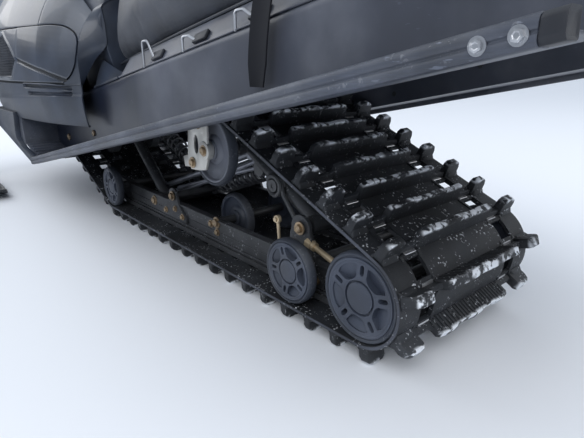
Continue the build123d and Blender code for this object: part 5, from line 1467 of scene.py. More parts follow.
        def spot(u: float, v: float) -> Spot:
            """Point of the sheet's front face."""
            bow = 7 * math.sin(math.pi * v) * math.sin(math.pi * u)
            return self.rear - 1 - lean * v - bow * 0.4, half * (2 * u - 1), top - length * v

        obj = thick(gridded(24, 20, spot), 5, 0)
        ribs = []
        for k in range(-3, 4):
            y = 48 * k
            head, foot = (self.rear - 8, y, top - 30), (self.rear - 8 - lean * 0.86, y, top - length * 0.92)
            ribs.append(tube([head, foot], 3.6, sides=8))
        return joined([outward(obj), *ribs])

    def cooler(self) -> Object:
        """Heat exchanger with long fins under the tunnel's top."""
        rear, front = self.rear + 12, self.rear + 202
        pieces = [cube((rear, -165, -10), (front, 165, -self.wall))]
        for k in range(23):
            y = -154 + 14 * k
            pieces.append(cube((rear + 2, y - 1.6, -25.5), (front - 2, y + 1.6, -9)))
        obj = joined([bevelled(piece, 0.6, 1) for piece in pieces])
        for vertex in obj.data.vertices:
            vertex.co.z += tunnel_top(vertex.co.x)
        return obj

    def shoulder(self, station: float, share: float) -> Vector:
        """Point of the left sloped strip over the tunnel's edge, from its foot at 0 to its head at 1."""
        return Vector((station, 204 - 32 * share, tunnel_top(station) + 0.8 + 45 * share))

    def shoulders(self) -> Object:
        """Sloped strips between the tunnel's edges and the seat."""
        strip = gridded(60, 4, lambda u, v: self.shoulder(-150 + 936 * u, v))
        pieces = [bevelled(thick(facing(strip), 2.4), 0.8, 2)]
        welt = [self.shoulder(station, 0) + Vector((0, 1.5, 0)) for station in (-150, 786)]
        return both(joined([*pieces, tube(welt, 2, sides=8)]))

    def hooks(self) -> Object:
        """Bent wire hooks that stand on the tunnel's left edge."""
        pieces = []
        for station, rise in ((632, 54), (449, 27), (268, 30)):
            top = tunnel_top(station)
            path = [(station, 205.5, top - 1), (station - 3, 207.5, top + rise),
                    (station - 22, 204, top + rise + 1), (station - 42, 200, top + 19),
                    (station - 56, 198, top + 17)]
            pieces.append(tube(path, 2.6, 9, 12))
        return joined(pieces)

    def clips(self) -> Object:
        """Square black clips on the sloped strips."""
        pieces = []
        for station in (576, 393, 212):
            block = bevelled(cube((-24, -10, 0), (24, 10, 7)), 2.4, 2)
            middle = self.shoulder(station, 0.30)
            dip, lean = math.atan(-TOP_SLOPE), math.radians(-54.6)
            lie = Matrix.Rotation(dip, 4, "Y") @ Matrix.Rotation(lean, 4, "X")
            block.data.transform(Matrix.Translation(middle) @ lie)
            pieces.append(block)
        return both(joined(pieces))


@dataclass
class Stage:
    """Floor, light and camera."""

    eye: Spot = (-1.481, 0.6754, 0.449)
    yaw: float = 40.44
    pitch: float = 18.19
    roll: float = -0.59
    focal_pixels: float = 471.4
    picture_width: float = 584
    floor_colour: tuple = (0.86, 0.88, 0.92, 1)
    horizon: tuple = (0.20, 0.23, 0.29, 1)
    zenith: tuple = (0.84, 0.91, 1, 1)
    sky_band: Flat = (0.02, 0.75)
    # name, place and width in metres, power in watts
    lamps: tuple = (("key", (-3.2, 3.4, 3.6), 3.2, 117), ("fill", (-3.4, -3, 2.4), 3.6, 40),
                    ("front", (4.2, 1.6, 2.8), 3, 60))

    def build(self) -> None:
        """Make the floor, the lamps, the world and the camera."""
        bpy.ops.mesh.primitive_plane_add(size=60, location=(0, 0, 0))
        floor = bpy.context.active_object
        floor.name = "floor"
        bench = ShaderBench(bpy.data.materials.new("floor_plain"))
        soft = bench.noise(3, 4)
        shader = bench.node("ShaderNodeBsdfPrincipled", {},
                            {"Base Color": self.floor_colour, "Roughness": 0.85 + 0.1 * soft})
        bench.node("ShaderNodeOutputMaterial", {}, {0: shader})
        floor.data.materials.append(bench.block)
        self.world()
        for row in self.lamps:
            self.lamp(*row)
        self.camera()

    def world(self) -> None:
        """Soft sky, bright overhead and darker towards the horizon."""
        world = bpy.data.worlds.new("studio")
        bench = ShaderBench(world)
        up = bench.part(bench.node("ShaderNodeTexCoord", {}, {}, "Generated"), Axis.Z)
        sky = bench.mix(bench.step(up, *self.sky_band), self.horizon, self.zenith)
        light = bench.node("ShaderNodeBackground", {}, {"Color": sky, "Strength": 1})
        bench.node("ShaderNodeOutputWorld", {}, {0: light})
        bpy.context.scene.world = world

    @staticmethod
    def lamp(name: str, spot: Spot, size: float, power: float) -> None:
        """Add one soft lamp that looks at the machine.

        Args:
            name: Its name.
            spot: Where it hangs, in metres.
            size: Its width, in metres.
            power: Its power, in watts.
        """
        light = bpy.data.lights.new(name, "AREA")
        light.size = size
        light.energy = power
        obj = bpy.data.objects.new(name, light)
        obj.location = spot
        obj.rotation_euler = (Vector((0, 0, 0.4)) - Vector(spot)).to_track_quat("-Z", "Y").to_euler()
        bpy.context.collection.objects.link(obj)

    def camera(self) -> None:
        """Set the camera where the picture was taken."""
        data = bpy.data.cameras.new("camera")
        data.sensor_width = 36
        data.lens = self.focal_pixels * data.sensor_width / self.picture_width
        data.clip_start = 0.01
        obj = bpy.data.objects.new("camera", data)
        yaw, pitch, roll = (math.radians(angle) for angle in (self.yaw, self.pitch, self.roll))
        look = Vector((math.cos(yaw) * math.cos(pitch), -math.sin(yaw) * math.cos(pitch), -math.sin(pitch)))
        level = look.cross(Vector((0, 0, 1))).normalized()
        rise = level.cross(look)
        right = math.cos(roll) * level + math.sin(roll) * rise
        up = right.cross(look)
        turn = Matrix((right, up, -look)).transposed()
        obj.matrix_world = Matrix.LocRotScale(Vector(self.eye), turn.to_quaternion(), None)
        bpy.context.collection.objects.link(obj)
        bpy.context.scene.camera = obj


# The front body


def smooth_row(rows: Sequence, station: float, straight: float) -> np.ndarray:
    """Read a table at a station, which is its first column.

    Args:
        rows: The table.
        station: Where it is read.
        straight: Share of the straight line in the result, the rest being smooth.

    Returns:
        The row, with the station first.
    """
    table = np.asarray(rows)
    place = int(np.clip(np.searchsorted(table[:, 0], station) - 1, 0, len(table) - 2))
    first, second = table[place], table[place + 1]
    before, after = table[max(place - 1, 0)], table[min(place + 2, len(table) - 1)]
    span = second[0] - first[0]
    share = min(1, max(0, (station - first[0]) / span))
    rise = (second - before) / (second[0] - before[0]) * span
    fall = (after - first) / (after[0] - first[0]) * span
    cubic = ((2 * share ** 3 - 3 * share ** 2 + 1) * first + (share ** 3 - 2 * share ** 2 + share) * rise
             + (3 * share ** 2 - 2 * share ** 3) * second + (share ** 3 - share ** 2) * fall)
    return straight * (first + (second - first) * share) + (1 - straight) * cubic


class BodySurface:
    """Smooth outer surface of the front body, from the cowl to the nose."""

    # station, belly and its half width, low corner, high corner, top and its half width
    rows = np.array([
        (958, 160, 200, 300, 246, 520, 246, 632, 152),
        (1150, 158, 205, 298, 306, 545, 296, 752, 170),
        (1400, 154, 210, 290, 334, 562, 324, 806, 190),
        (1650, 154, 195, 290, 330, 570, 320, 762, 205),
        (1900, 176, 150, 304, 286, 556, 280, 662, 186),
        (2060, 216, 120, 322, 214, 520, 212, 584, 150),
        (2150, 286, 90, 340, 140, 470, 138, 512, 108),
    ])
    samples = 240

    def __init__(self) -> None:
        """Start with no sections worked out."""
        self.kept: dict[float, np.ndarray] = {}

    def row(self, station: float) -> np.ndarray:
        """The table's numbers at a station."""
        return smooth_row(self.rows, station, 0.35)

    def section(self, station: float) -> np.ndarray:
        """Left half of the section at a station, from the belly to the top, as distances and heights."""
        key = round(float(station), 2)
        if key in self.kept:
            return self.kept[key]
        _, belly, belly_half, low, low_half, high, high_half, top, top_half = self.row(station)
        corners = np.array([(0, belly), (belly_half, belly), (low_half, low), (high_half, high),
                            (top_half, top), (0, top)])
        points = [corners[0]]
        for place, share in ((1, 0.30), (2, 0.34), (3, 0.36), (4, 0.34)):
            corner, before, after = corners[place], corners[place - 1], corners[place + 1]
            back, ahead = np.linalg.norm(before - corner), np.linalg.norm(after - corner)
            reach = min(95, share * back * 1.4, share * ahead * 1.4)
            first = corner + (before - corner) / back * reach
            last = corner + (after - corner) / ahead * reach
            for t in np.linspace(0, 1, 12):
                points.append(first * (1 - t) ** 2 + corner * 2 * t * (1 - t) + last * t ** 2)
        points.append(corners[-1])
        line = np.array(points)
        along = np.concatenate([[0], np.cumsum(np.linalg.norm(np.diff(line, axis=0), axis=1))])
        even = np.linspace(0, along[-1], self.samples)
        self.kept[key] = np.c_[np.interp(even, along, line[:, 0]), np.interp(even, along, line[:, 1])]
        return self.kept[key]

    def at(self, station: float, place: float) -> Vector:
        """Point of the surface, by its place round the half section from 0 at the belly to 1 at the top."""
        rows = self.section(station)
        spot = place * (self.samples - 1)
        return Vector((station, float(np.interp(spot, np.arange(self.samples), rows[:, 0])),
                       float(np.interp(spot, np.arange(self.samples), rows[:, 1]))))

    def at_height(self, station: float, height: float) -> float:
        """Place round the section of the flank's point at a height."""
        rows = self.section(station)
        return float(np.interp(height, rows[:, 1], np.arange(self.samples))) / (self.samples - 1)

    def at_side(self, station: float, y: float, upper: bool) -> float:
        """Place round the section at a distance from the middle plane, above or below the flank."""
        rows = self.section(station)
        widest = int(np.argmax(rows[:, 0]))
        if upper:
            part = rows[widest:, 0][::-1]
            return float(self.samples - 1 - np.interp(y, part, np.arange(len(part)))) / (self.samples - 1)
        return float(np.interp(y, rows[:widest + 1, 0], np.arange(widest + 1))) / (self.samples - 1)

    def normal(self, station: float, place: float) -> Vector:
        """Outward direction at a point."""
        along = self.at(min(station + 4, 2149), place) - self.at(max(station - 4, 958), place)
        round_it = self.at(station, min(1, place + 0.004)) - self.at(station, max(0, place - 0.004))
        return round_it.cross(along).normalized()

    def lifted(self, station: float, place: float, lift: float) -> Vector:
        """Point over the surface."""
        spot = self.at(station, place)
        return spot + self.normal(station, place) * lift if lift else spot

    def on(self, station: float, height: float, lift: float = 0) -> Vector:
        """Point on or above the flank at a station and height."""
        return self.lifted(station, self.at_height(station, height), lift)


SURFACE = BodySurface()


def level(height: float) -> Callable[[float], float]:
    """Place round the section at one height, for any station."""
    return lambda station: SURFACE.at_height(station, height)


def aside(y: float, upper: bool) -> Callable[[float], float]:
    """Place round the section at one distance from the middle plane, for any station."""
    return lambda station: SURFACE.at_side(station, y, upper)


def along(line: Callable[[float], float], shift: float = 0) -> Callable[[float], float]:
    """Place round the section along a line of heights, moved up by a shift."""
    return lambda station: SURFACE.at_height(station, line(station) + shift)


def inside(station: float, height: float, outline: Sequence[Flat]) -> bool:
    """Whether a point lies in an outline."""
    hit = False
    for (x0, z0), (x1, z1) in zip(outline, [*outline[1:], outline[0]]):
        if (z0 > height) != (z1 > height) and station < x0 + (height - z0) / (z1 - z0) * (x1 - x0):
            hit = not hit
    return hit


def line_distance(station: float, height: float, points: Sequence[Flat]) -> float:
    """Distance of a point from a broken line."""
    best = 1e9
    spot = Vector((station, height))
    for first, second in zip(points, points[1:]):
        a, b = Vector(first), Vector(second)
        share = max(0, min(1, (spot - a).dot(b - a) / (b - a).length_squared))
        best = min(best, (spot - a.lerp(b, share)).length)
    return best


def rim_distance(station: float, height: float, outline: Sequence[Flat]) -> float:
    """Distance from an outline, negative inside it."""
    reach = line_distance(station, height, [*outline, outline[0]])
    return -reach if inside(station, height, outline) else reach


def eased(value: float, low: float, high: float) -> float:
    """Rise smoothly from 0 to 1 as a value goes from low to high."""
    share = max(0, min(1, (value - low) / (high - low)))
    return share * share * (3 - 2 * share)


def interpolated(rows: Sequence[Flat]) -> Callable[[float], float]:
    """Function that reads a broken line at a station."""
    stations, heights = zip(*sorted(rows))
    return lambda station: float(np.interp(station, stations, heights))


@dataclass
class Strip:
    """A patch of the body's skin between two stations and two lines round the section."""

    rear: float
    front: float
    low: Callable[[float], float]
    high: Callable[[float], float]
    relief: Callable[[float, float], float] = lambda station, height: 0
    cell: float = 9
    wall: float = 3.6
    rows: int = 24

    def build(self) -> Object:
        """Lay a grid over the patch, thicken it inwards and round its edges.

        Returns:
            The patch.
        """
        columns = max(6, round((self.front - self.rear) / self.cell))

        def spot(u: float, v: float) -> Spot:
            """Point of the patch."""
            station = self.rear + (self.front - self.rear) * u
            low, high = self.low(station), self.high(station)
            place = low + (high - low) * v
            lift = self.relief(station, SURFACE.at(station, place).z)
            return SURFACE.lifted(station, place, lift)

        return bevelled(thick(facing(gridded(columns, self.rows, spot)), self.wall), 1.1, 2, 60)


def painted(obj: Object, finish: Finish, pick: Callable[[bpy.types.MeshPolygon], bool]) -> Object:
    """Give the picked faces of a placed piece another finish."""
    obj.data.materials.append(finish.material())
    place = len(obj.data.materials) - 1
    for face in obj.data.polygons:
        if pick(face):
            face.material_index = place
    return obj


@dataclass
class Body:
    """Panels of the front body with what is let into them."""

    seam: float = 0.5
    gap: float = 6
    belly_seam: float = 400
    hood_y: float = 150
    pan_y: float = 128
    split: float = 1156
    rear: float = 958
    nose: float = 2150
    room: float = 190.6
    door_rear: float = 962
    door_front: float = 1640
    hinge_station: float = 1643
    foot_wall_station: float = 1404.6
    board_end: float = 1262.3
    door_top: tuple = ((1640, 566), (1442, 563), (1224, 560), (1089, 558), (1044, 553), (1020, 547),
                       (1003, 541), (985, 533), (970, 521), (962, 506))
    door_foot: tuple = ((1640, 406), (1040, 406), (1022, 412), (1000, 424), (984, 438), (970, 456),
                        (962, 484))
    groove: tuple = ((1300, 471), (1131, 439), (1022, 413))
    vent: tuple = ((1376, 420), (1566, 417), (1594, 480), (1556, 548), (1446, 550), (1374, 513),
                   (1316, 469))
    slots: tuple = (((1273, 394), (1120, 393), (1004, 391)), ((1240, 372), (1120, 373), (1004, 375)))
    window: tuple = (1745, 2040, 192, 452)

    def build(self) -> None:
        """Model and place every panel."""
        door = self.door()
        for name, skin in (("right", copied(door, MIRROR)), ("left", door)):
            placed(skin, f"door_skin_{name}", BODY, f"door_{name}", (f"side_panel_{name}",),
                   edge=BODY.worn())
            # The vent floor and the knee groove get painted shade.
            self.paint_vent(skin)
        for name, body, sign in (("left", "door_left", 1), ("right", "door_right", -1)):
            placed(self.mesh_bars(sign), f"vent_mesh_{name}", DASH, body)
            placed(self.hinge(sign), f"door_hinge_{name}", FRAME_PAINT, body, (f"side_panel_{name}",))
        # Dark strips in the body's gaps are painted shade.
        placed(self.jambs(), "door_jambs", GRIP_AND_SHADE)
        placed(self.nose_cap(), "nose_cap", BODY_DULL, edge=BODY.worn())
        placed(self.grille(), "nose_grille", DASH)
        placed(self.footwells(), "footwell_floors", BOARD, edge=BOARD.worn())
        placed(self.cowl(), "cowl_skin", BODY, replaces=("cowl",), edge=BODY.worn())
        placed(self.hood(), "hood_skin", BODY, replaces=("hood",), edge=BODY.worn())
        self.on_both_sides(self.hood_side(), "shoulder", "hood_side", BODY)
        placed(self.belly(), "belly_skin", PAN, replaces=("belly_pan",))
        self.on_both_sides(self.flank(), "flank", "pan_side", BODY_DULL)

    def on_both_sides(self, skin: Object, part: str, node: str, finish: Finish) -> None:
        """Place a left skin and its mirror, each round its own node."""
        for name, piece in (("right", copied(skin, MIRROR)), ("left", skin)):
            placed(piece, f"{part}_{name}", finish, replaces=(f"{node}_{name}",), edge=BODY.worn())

    def knee_panel(self, station: float) -> float:
        """Lower edge of the smooth knee panel at a station."""
        return interpolated(((1316, 474), (1300, 471), (1131, 439), (1022, 413), (960, 400)))(station)

    def door_relief(self, station: float, height: float) -> float:
        """Height of the door's moulding over the plain surface."""
        rim = rim_distance(station, height, self.vent)
        lift = 0
        if station < 1330:
            over = height - self.knee_panel(station)
            lift += 3 * eased(over, 0, 7) * eased(1316 - station, 0, 30)
            lift -= 6.5 * (1 - eased(abs(over + 3), 3, 6.5)) * eased(1318 - station, 0, 6)
        lift += 2.4 * (1 - eased(abs(rim - 3), 2, 5))
        if rim < 0:
            lift -= 7 * eased(-rim, 0, 5)
        return lift

    def door(self) -> Object:
        """Left side panel."""
        high, low = interpolated(self.door_top), interpolated(self.door_foot)
        strip = Strip(self.door_rear, self.door_front, along(low), along(high), self.door_relief,
                      cell=3.2, rows=52)
        return strip.build()

    def paint_vent(self, door: Object) -> None:
        """Paint shade on the vent's floor and in the groove under the knee panel: their faces take the dark
        grip rubber, as those recesses lie in shade.
        """
        def in_vent(face: bpy.types.MeshPolygon) -> bool:
            """Whether a face lies in the vent or in the groove under the knee panel, where shade is painted.
            """
            spot = face.center / MM
            station = spot.x + ORIGIN_STATION
            if rim_distance(station, spot.z, self.vent) < -4:
                return True
            return station < 1312 and abs(spot.z - self.knee_panel(station) + 3) < 4.6
        painted(door, GRIP_AND_SHADE, in_vent)

    def mesh_bars(self, sign: int) -> Object:
        """Diamond mesh of the vent."""
        pieces = []
        for lean in (-1, 1):
            for k in range(-24, 50):
                run = []
                for step in range(60):
                    height = 418 + step * 2.4
                    station = 1316 + 13 * k + lean * (height - 418) * 0.8
                    if rim_distance(station, height, self.vent) < -1:
                        run.append(SURFACE.on(station, height, -4.6))
                if len(run) > 2:
                    pieces.append(tube([run[0], run[len(run) // 2], run[-1]], 1.5, sides=4))
        obj = joined(pieces)
        return obj if sign > 0 else moved(obj, MIRROR)

    def hinge(self, sign: int) -> Object:
        """Moving knuckle and leaf of a side panel's hinge."""
        x = self.hinge_station
        pieces = [drum((x, 335, 442.4), (x, 335, 529.6), 7, 24), cube((x - 29, 319, 444), (x, 324, 528))]
        obj = joined([bevelled(piece, 0.8, 2) for piece in pieces])
        return obj if sign > 0 else moved(obj, MIRROR)

    def cowl(self) -> Object:
        """Rear part of the body, with the returns that close on the console."""
        high, low = interpolated(self.door_top), interpolated(self.door_foot)
        edge = self.gap * 0.6
        top = Strip(self.rear, self.split, along(high, edge), aside(self.room, True), cell=5, rows=26)
        foot = Strip(self.rear, 1030, level(self.belly_seam + self.seam),
                     along(lambda a: max(self.belly_seam + 1.5, low(a) - edge)), cell=3, rows=14)
        pieces = [top.build(), foot.build(), self.rear_return()]
        return both(joined(pieces))

    def rear_return(self) -> Object:
        """Flange from the body's rear edge in to the console, with a flat facet at its foot."""
        def spot(u: float, v: float) -> Spot:
            """Point of the flange."""
            height = 402 + (622 - 402) * v
            edge = SURFACE.on(self.rear + 1, height)
            up, down = eased(height, 446, 512), max(0, 452 - height) / 52
            station = 957 - 29 * up + 9 * down
            side = 210 - 38 * up + 30 * down + 0.10 * max(0, height - 560)
            return edge.x + (station - edge.x) * u, edge.y + (min(side, edge.y - 1) - edge.y) * u, height
        return thick(gridded(10, 34, spot), 3, 0)

    def jambs(self) -> Object:
        """Painted shade: dark strips behind the left door's edges and under the console's edge, set in the
        gaps where only shade should show.
        """
        high, low = interpolated(self.door_top), interpolated(self.door_foot)
        pieces = []
        for line, under, over in ((high, 12, 16), (low, 14, 12)):
            pieces.append(Strip(960, 1650, along(line, -under), along(line, over), lambda a, z: -8,
                                cell=14, wall=1.6, rows=4).build())
        pieces.append(Strip(972, 1200, aside(200, True), lambda a: 1,
                            lambda a, z: -26, cell=14, wall=2, rows=10).build())
        return both(joined(pieces))

    def nose_section(self, inset: float) -> list[Flat]:
        """Closed section of the nose, drawn in by some millimetres."""
        rows = SURFACE.section(self.nose - 1)
        middle = float(rows[:, 1].mean())
        half = [(max(0, y - inset), z + math.copysign(min(inset, abs(z - middle)), middle - z))
                for y, z in rows[::8]]
        return half + [(-y, z) for y, z in reversed(half) if y > 0]

    def nose_cap(self) -> Object:
        """Front wall of the body with the recess of its grille."""
        obj = plate(Axis.X, self.nose_section(1.6), self.nose - 7, self.nose - 0.4)
        return bevelled(sunk(obj, (1, 0, 0), 15, -5), 1.4, 2)

    def grille(self) -> Object:
        """Slats of the nose grille."""
        rows = SURFACE.section(self.nose - 1)
        pieces = []
        for k in range(9):
            height = 312 + 21 * k
            half = float(np.max(rows[np.abs(rows[:, 1] - height) < 9, 0])) - 19
            slat = cube((self.nose - 7, -half, height - 3), (self.nose - 1.2, half, height + 3))
            pieces.append(bevelled(slat, 1.2, 2))
        for y in (-62, 0, 62):
            pieces.append(cube((self.nose - 6.4, y - 2.5, 306), (self.nose - 2.2, y + 2.5, 486)))
        return joined(pieces)

    def hood(self) -> Object:
        """Middle panel over the engine and down the nose."""
        strip = Strip(self.split + self.seam, self.nose, aside(self.hood_y, True), lambda a: 1,
                      cell=9, rows=22)
        return both(strip.build())

    def hood_side(self) -> Object:
        """Left shoulder."""
        top = interpolated(self.door_top)
        strip = Strip(self.split + self.seam, self.nose, along(lambda a: self.shoulder_foot(a, top)),
                      aside(self.hood_y + self.seam, True), cell=7, rows=40)
        return strip.build()

    def shoulder_foot(self, station: float, top: Callable[[float], float]) -> float:
        """Lower edge of the shoulder at a station, over the door and the suspension opening."""
        if station <= self.door_front:
            return top(station) + self.gap * 0.6
        if station <= 1646:
            return self.belly_seam
        if self.window[0] <= station <= self.window[1]:
            return self.window[3]
        return self.belly_seam

    def belly(self) -> Object:
        """Tub under the engine."""
        strip = Strip(1405, self.nose, lambda a: 0, aside(self.pan_y, False), cell=12, rows=14)
        return both(strip.build())

    def flank_relief(self, station: float, height: float) -> float:
        """Creases and slots of the lower flank."""
        lift = 0
        for slot in self.slots:
            lift -= 9 * (1 - eased(line_distance(station, height, slot), 3, 5.5))
        crease = interpolated(((1629, 346), (1300, 360), (1014, 371)))(station)
        lift += 3.5 * (1 - eased(height - crease, -4, 8))
        return lift

    def nose_foot(self, station: float) -> float:
        """Lower edge of the flank ahead of the suspension opening."""
        inner = min(self.pan_y + self.seam, 0.92 * SURFACE.row(station)[4])
        return SURFACE.at_side(station, inner, False)

    def flank(self) -> Object:
        """Left flank of the lower body with its wing, foot wall and toe hold."""
        inner, seam = self.pan_y + self.seam, level(self.belly_seam - self.seam)
        wing = Strip(self.rear, 1405, level(288), seam, self.flank_relief, cell=3.4, rows=44)
        rear_low = Strip(1405, 1745, aside(inner, False), seam, self.flank_relief, cell=6, rows=50)
        under = Strip(1745, 2040, aside(inner, False), aside(self.pan_y + 4, False), cell=10, rows=4)
        ahead = Strip(2040, self.nose, self.nose_foot, seam, cell=8, rows=24)
        return joined([wing.build(), rear_low.build(), under.build(), ahead.build(), self.foot_wall(),
                       self.toe_hold(), self.lip()])

    def foot_wall(self) -> Object:
        """Wall at the front of the footwell."""
        edge = [(SURFACE.at(1406, place).y, SURFACE.at(1406, place).z)
                for place in np.linspace(0.30, 0.62, 14)]
        edge = [(y - 2, z) for y, z in edge if 165 < y and z < 398]
        outline = [(166, edge[0][1]), *edge, (166, edge[-1][1])]
        return plate(Axis.X, outline, self.foot_wall_station, self.foot_wall_station + 4)

    def footwells(self) -> Object:
        """Ramps from the boards' front ends up to the foot walls, with cleats."""
        start, end = self.board_end + 0.3, self.foot_wall_station - 0.4
        ramp = plate(Axis.Y, [(start, 161), (end, 197), (end, 200), (start, 164.2)], 207, 316)
        cleats = []
        for k in range(6):
            station = 1280 + 22 * k
            height = 164.2 + (station - start) * 0.253
            cleats.append(cube((station - 2, 214, height - 1), (station + 2, 308, height + 4)))
        wall = plate(Axis.X, [(207, 197), (318, 197), (318, 296), (280, 340), (207, 360)], 1400, 1404)
        cheek = plate(Axis.Y, [(1384, 188), (1452, 206), (1452, 300), (1404, 300), (1402, 197)], 316.2, 319)
        return both(joined([bevelled(piece, 0.8, 1) for piece in (ramp, wall, cheek, *cleats)]))

    def toe_hold(self) -> Object:
        """Strip from the flank down to the front end of the edge beam."""
        outline = [(self.board_end, 150), (1300, 158), (1690, 232), (1712, 262), (1690, 300), (1420, 304),
                   (1430, 272), (1444, 240), (1440, 212), (1384, 191), (self.board_end, 173)]
        obj = plate(Axis.Y, outline, 316, 336)
        return bevelled(sunk(obj, (0, 1, 0), 5, -2.4), 2, 3)

    def lip(self) -> Object:
        """Rolled edge along the wing's foot."""
        path = [SURFACE.on(station, 289, -1.4) for station in np.linspace(self.rear + 2, 1402, 40)]
        return tube(path, 3.2, sides=8)


def squared_ring(half: float, reach: float, flat: float, tall: float, count: int) -> list[Flat]:
    """Points of an oval that is squared off.

    Args:
        half: Half its width.
        reach: Half its height.
        flat: Power of the cosine, squarer when it is small.
        tall: Power of the sine.
        count: Number of points.

    Returns:
        The points, as distances across and up.
    """
    turns = np.linspace(0, math.tau, count + 1)[:-1]
    return [(half * math.copysign(abs(math.cos(a)) ** flat, math.cos(a)),
             reach * math.copysign(abs(math.sin(a)) ** tall, math.sin(a))) for a in turns]


@dataclass
class Seat:
    """Seat cushion on its plastic base, with the console ahead of it and the strap over it."""

    base_depth: float = 48
    waist_rise: float = 70
    foot_inset: float = 3
    side_pull: float = 7
    most_swell: float = 24
    kept_swell: float = 0.55
    pressure: float = 4
    frames: int = 14
    voxel: float = 6
    seams: tuple = (560, 872)
    # station, foot half, waist half, top height, top half
    rows: tuple = ((-190, 150, 168, 712, 128), (120, 160, 186, 738, 146),
                   (520, 160, 188, 700, 150), (800, 150, 180, 716, 128),
                   (925, 140, 164, 690, 108))
    # station, foot half, waist height, waist half, top height, top half
    console_rows: tuple = ((930, 150, 560, 186, 690, 120), (1050, 160, 600, 190, 748, 118),
                           (1146, 160, 610, 190, 740, 118))

    def build(self) -> None:
        """Model and place every piece."""
        placed(self.base(), "seat_tray", SEAT_SHELL, replaces=("seat_base",), edge=SEAT_SHELL.worn())
        cushion = self.cushion()
        placed(cushion, "seat_pad", VINYL, replaces=("seat_cushion",), angle=60)
        placed(self.piping(), "seat_piping", SEAT_SHELL)
        placed(self.console(), "console_shell", BODY_DULL, replaces=("console",), edge=BODY.worn())
        placed(self.side_covers(), "console_sides", BODY_DULL, edge=BODY.worn())
        placed(self.cap(), "filler_cap", DASH, edge=DASH.worn())
        placed(self.tail(), "tail_lens", TAIL, replaces=("tail_lamp",), edge=TAIL)
        placed(self.tail_bezel(), "tail_bezel", SEAT_SHELL)
        placed(self.strap(), "strap_webbing", WEBBING, replaces=("strap",), angle=50)

    def base(self) -> Object:
        """Plastic tray under the cushion, with a flared foot."""
        rear, front = self.rows[0][0] + 40, self.rows[-1][0] - 40
        sections = []
        for k in range(15):
            station = rear + (front - rear) * k / 14
            low = tunnel_top(station) + 0.6
            top = low + self.base_depth - 0.8
            half = 150 - 10 * (0.5 + 0.5 * math.cos(math.pi * min(1, k / 1.5)))
            ring = ((half - 6, low), (half, low + 4), (half, low + 15), (half - 7, low + 21),
                    (half - 7, top), (7 - half, top), (7 - half, low + 21), (-half, low + 15),
                    (-half, low + 4), (6 - half, low))
            sections.append([(station, y, z) for y, z in ring])
        return bevelled(loft(sections), 1.4, 2)

    def cushion_row(self, station: float) -> tuple[float, ...]:
        """Foot half, waist half, top height and top half at a station."""
        return tuple(smooth_row(self.rows, station, 0.3)[1:].tolist())

    def cushion_section(self, station: float, shrink: float) -> list[Spot]:
        """One closed section of the cushion with pulled-in sides and a crowned top.

        Args:
            station: Where it is cut.
            shrink: How far it stays inside the full size.

        Returns:
            Its points.
        """
        foot_half, waist_half, top, top_half = self.cushion_row(station)
        low = tunnel_top(station) + self.base_depth + self.foot_inset
        waist = low + self.waist_rise
        top -= shrink
        waist_half -= shrink
        taper, climb = waist_half - top_half, top - waist
        half = [(foot_half - shrink * 0.6, low), (foot_half + (waist_half - foot_half) * 0.35, low + 14),
                (waist_half - self.side_pull * 0.4, (low + waist) / 2), (waist_half, waist),
                (waist_half - taper * 0.28 - self.side_pull * 0.3, waist + climb * 0.42),
                (top_half + taper * 0.28, waist + climb * 0.78),
                (top_half, top - 9), (top_half - 16, top - 2), (top_half * 0.55, top + 1)]
        ring = [*half, (0, top + 1.5), *((-y, z) for y, z in reversed(half)), (0, low)]
        return [(station, y, z) for y, z in ring]

    def cushion(self) -> Object:
        """Padded cushion: a lofted form that is blown up like a cover over foam, then given its seams."""
        rear, front = self.rows[0][0], self.rows[-1][0]
        sections = []
        for k in range(31):
            station = rear + 4 + (front - rear - 8) * k / 30
            end = min(k, 30 - k)
            sections.append(self.cushion_section(station, (14, 6, 3, 2)[min(end, 3)]))
        pad = loft(sections)
        modified(pad, "SUBSURF", levels=1, render_levels=1)
        self.inflate(pad)
        self.press_seams(pad)
        return outward(pad, 0.01)

    def inflate(self, pad: Object) -> None:
        """Simulate the cover as cloth under pressure, at its real size in metres, and keep the result."""
        pad.data.transform(Matrix.Scale(MM, 4))
        modified(pad, "REMESH", mode="VOXEL", voxel_size=self.voxel * MM)
        before = np.empty(len(pad.data.vertices) * 3)
        pad.data.vertices.foreach_get("co", before)
        only(pad)
        cloth = pad.modifiers.new("Cover", "CLOTH")
        cloth.settings.use_pressure = True
        cloth.settings.uniform_pressure_force = self.pressure
        cloth.settings.quality = 4
        cloth.settings.effector_weights.gravity = 0
        scene = bpy.context.scene
        for number in range(1, self.frames + 1):
            scene.frame_set(number)
        bpy.ops.object.modifier_apply(modifier=cloth.name)
        scene.frame_set(1)
        after = np.empty_like(before)
        pad.data.vertices.foreach_get("co", after)
        step = (after - before).reshape(-1, 3)
        reach = np.linalg.norm(step, axis=1, keepdims=True)
        step *= np.minimum(1, self.most_swell * MM / np.maximum(reach, 1e-9))
        spots = before.reshape(-1, 3) + step * self.kept_swell
        pad.data.vertices.foreach_set("co", spots.ravel())
        pad.data.transform(Matrix.Scale(1 / MM, 4))
        modified(pad, "DECIMATE", ratio=0.5)

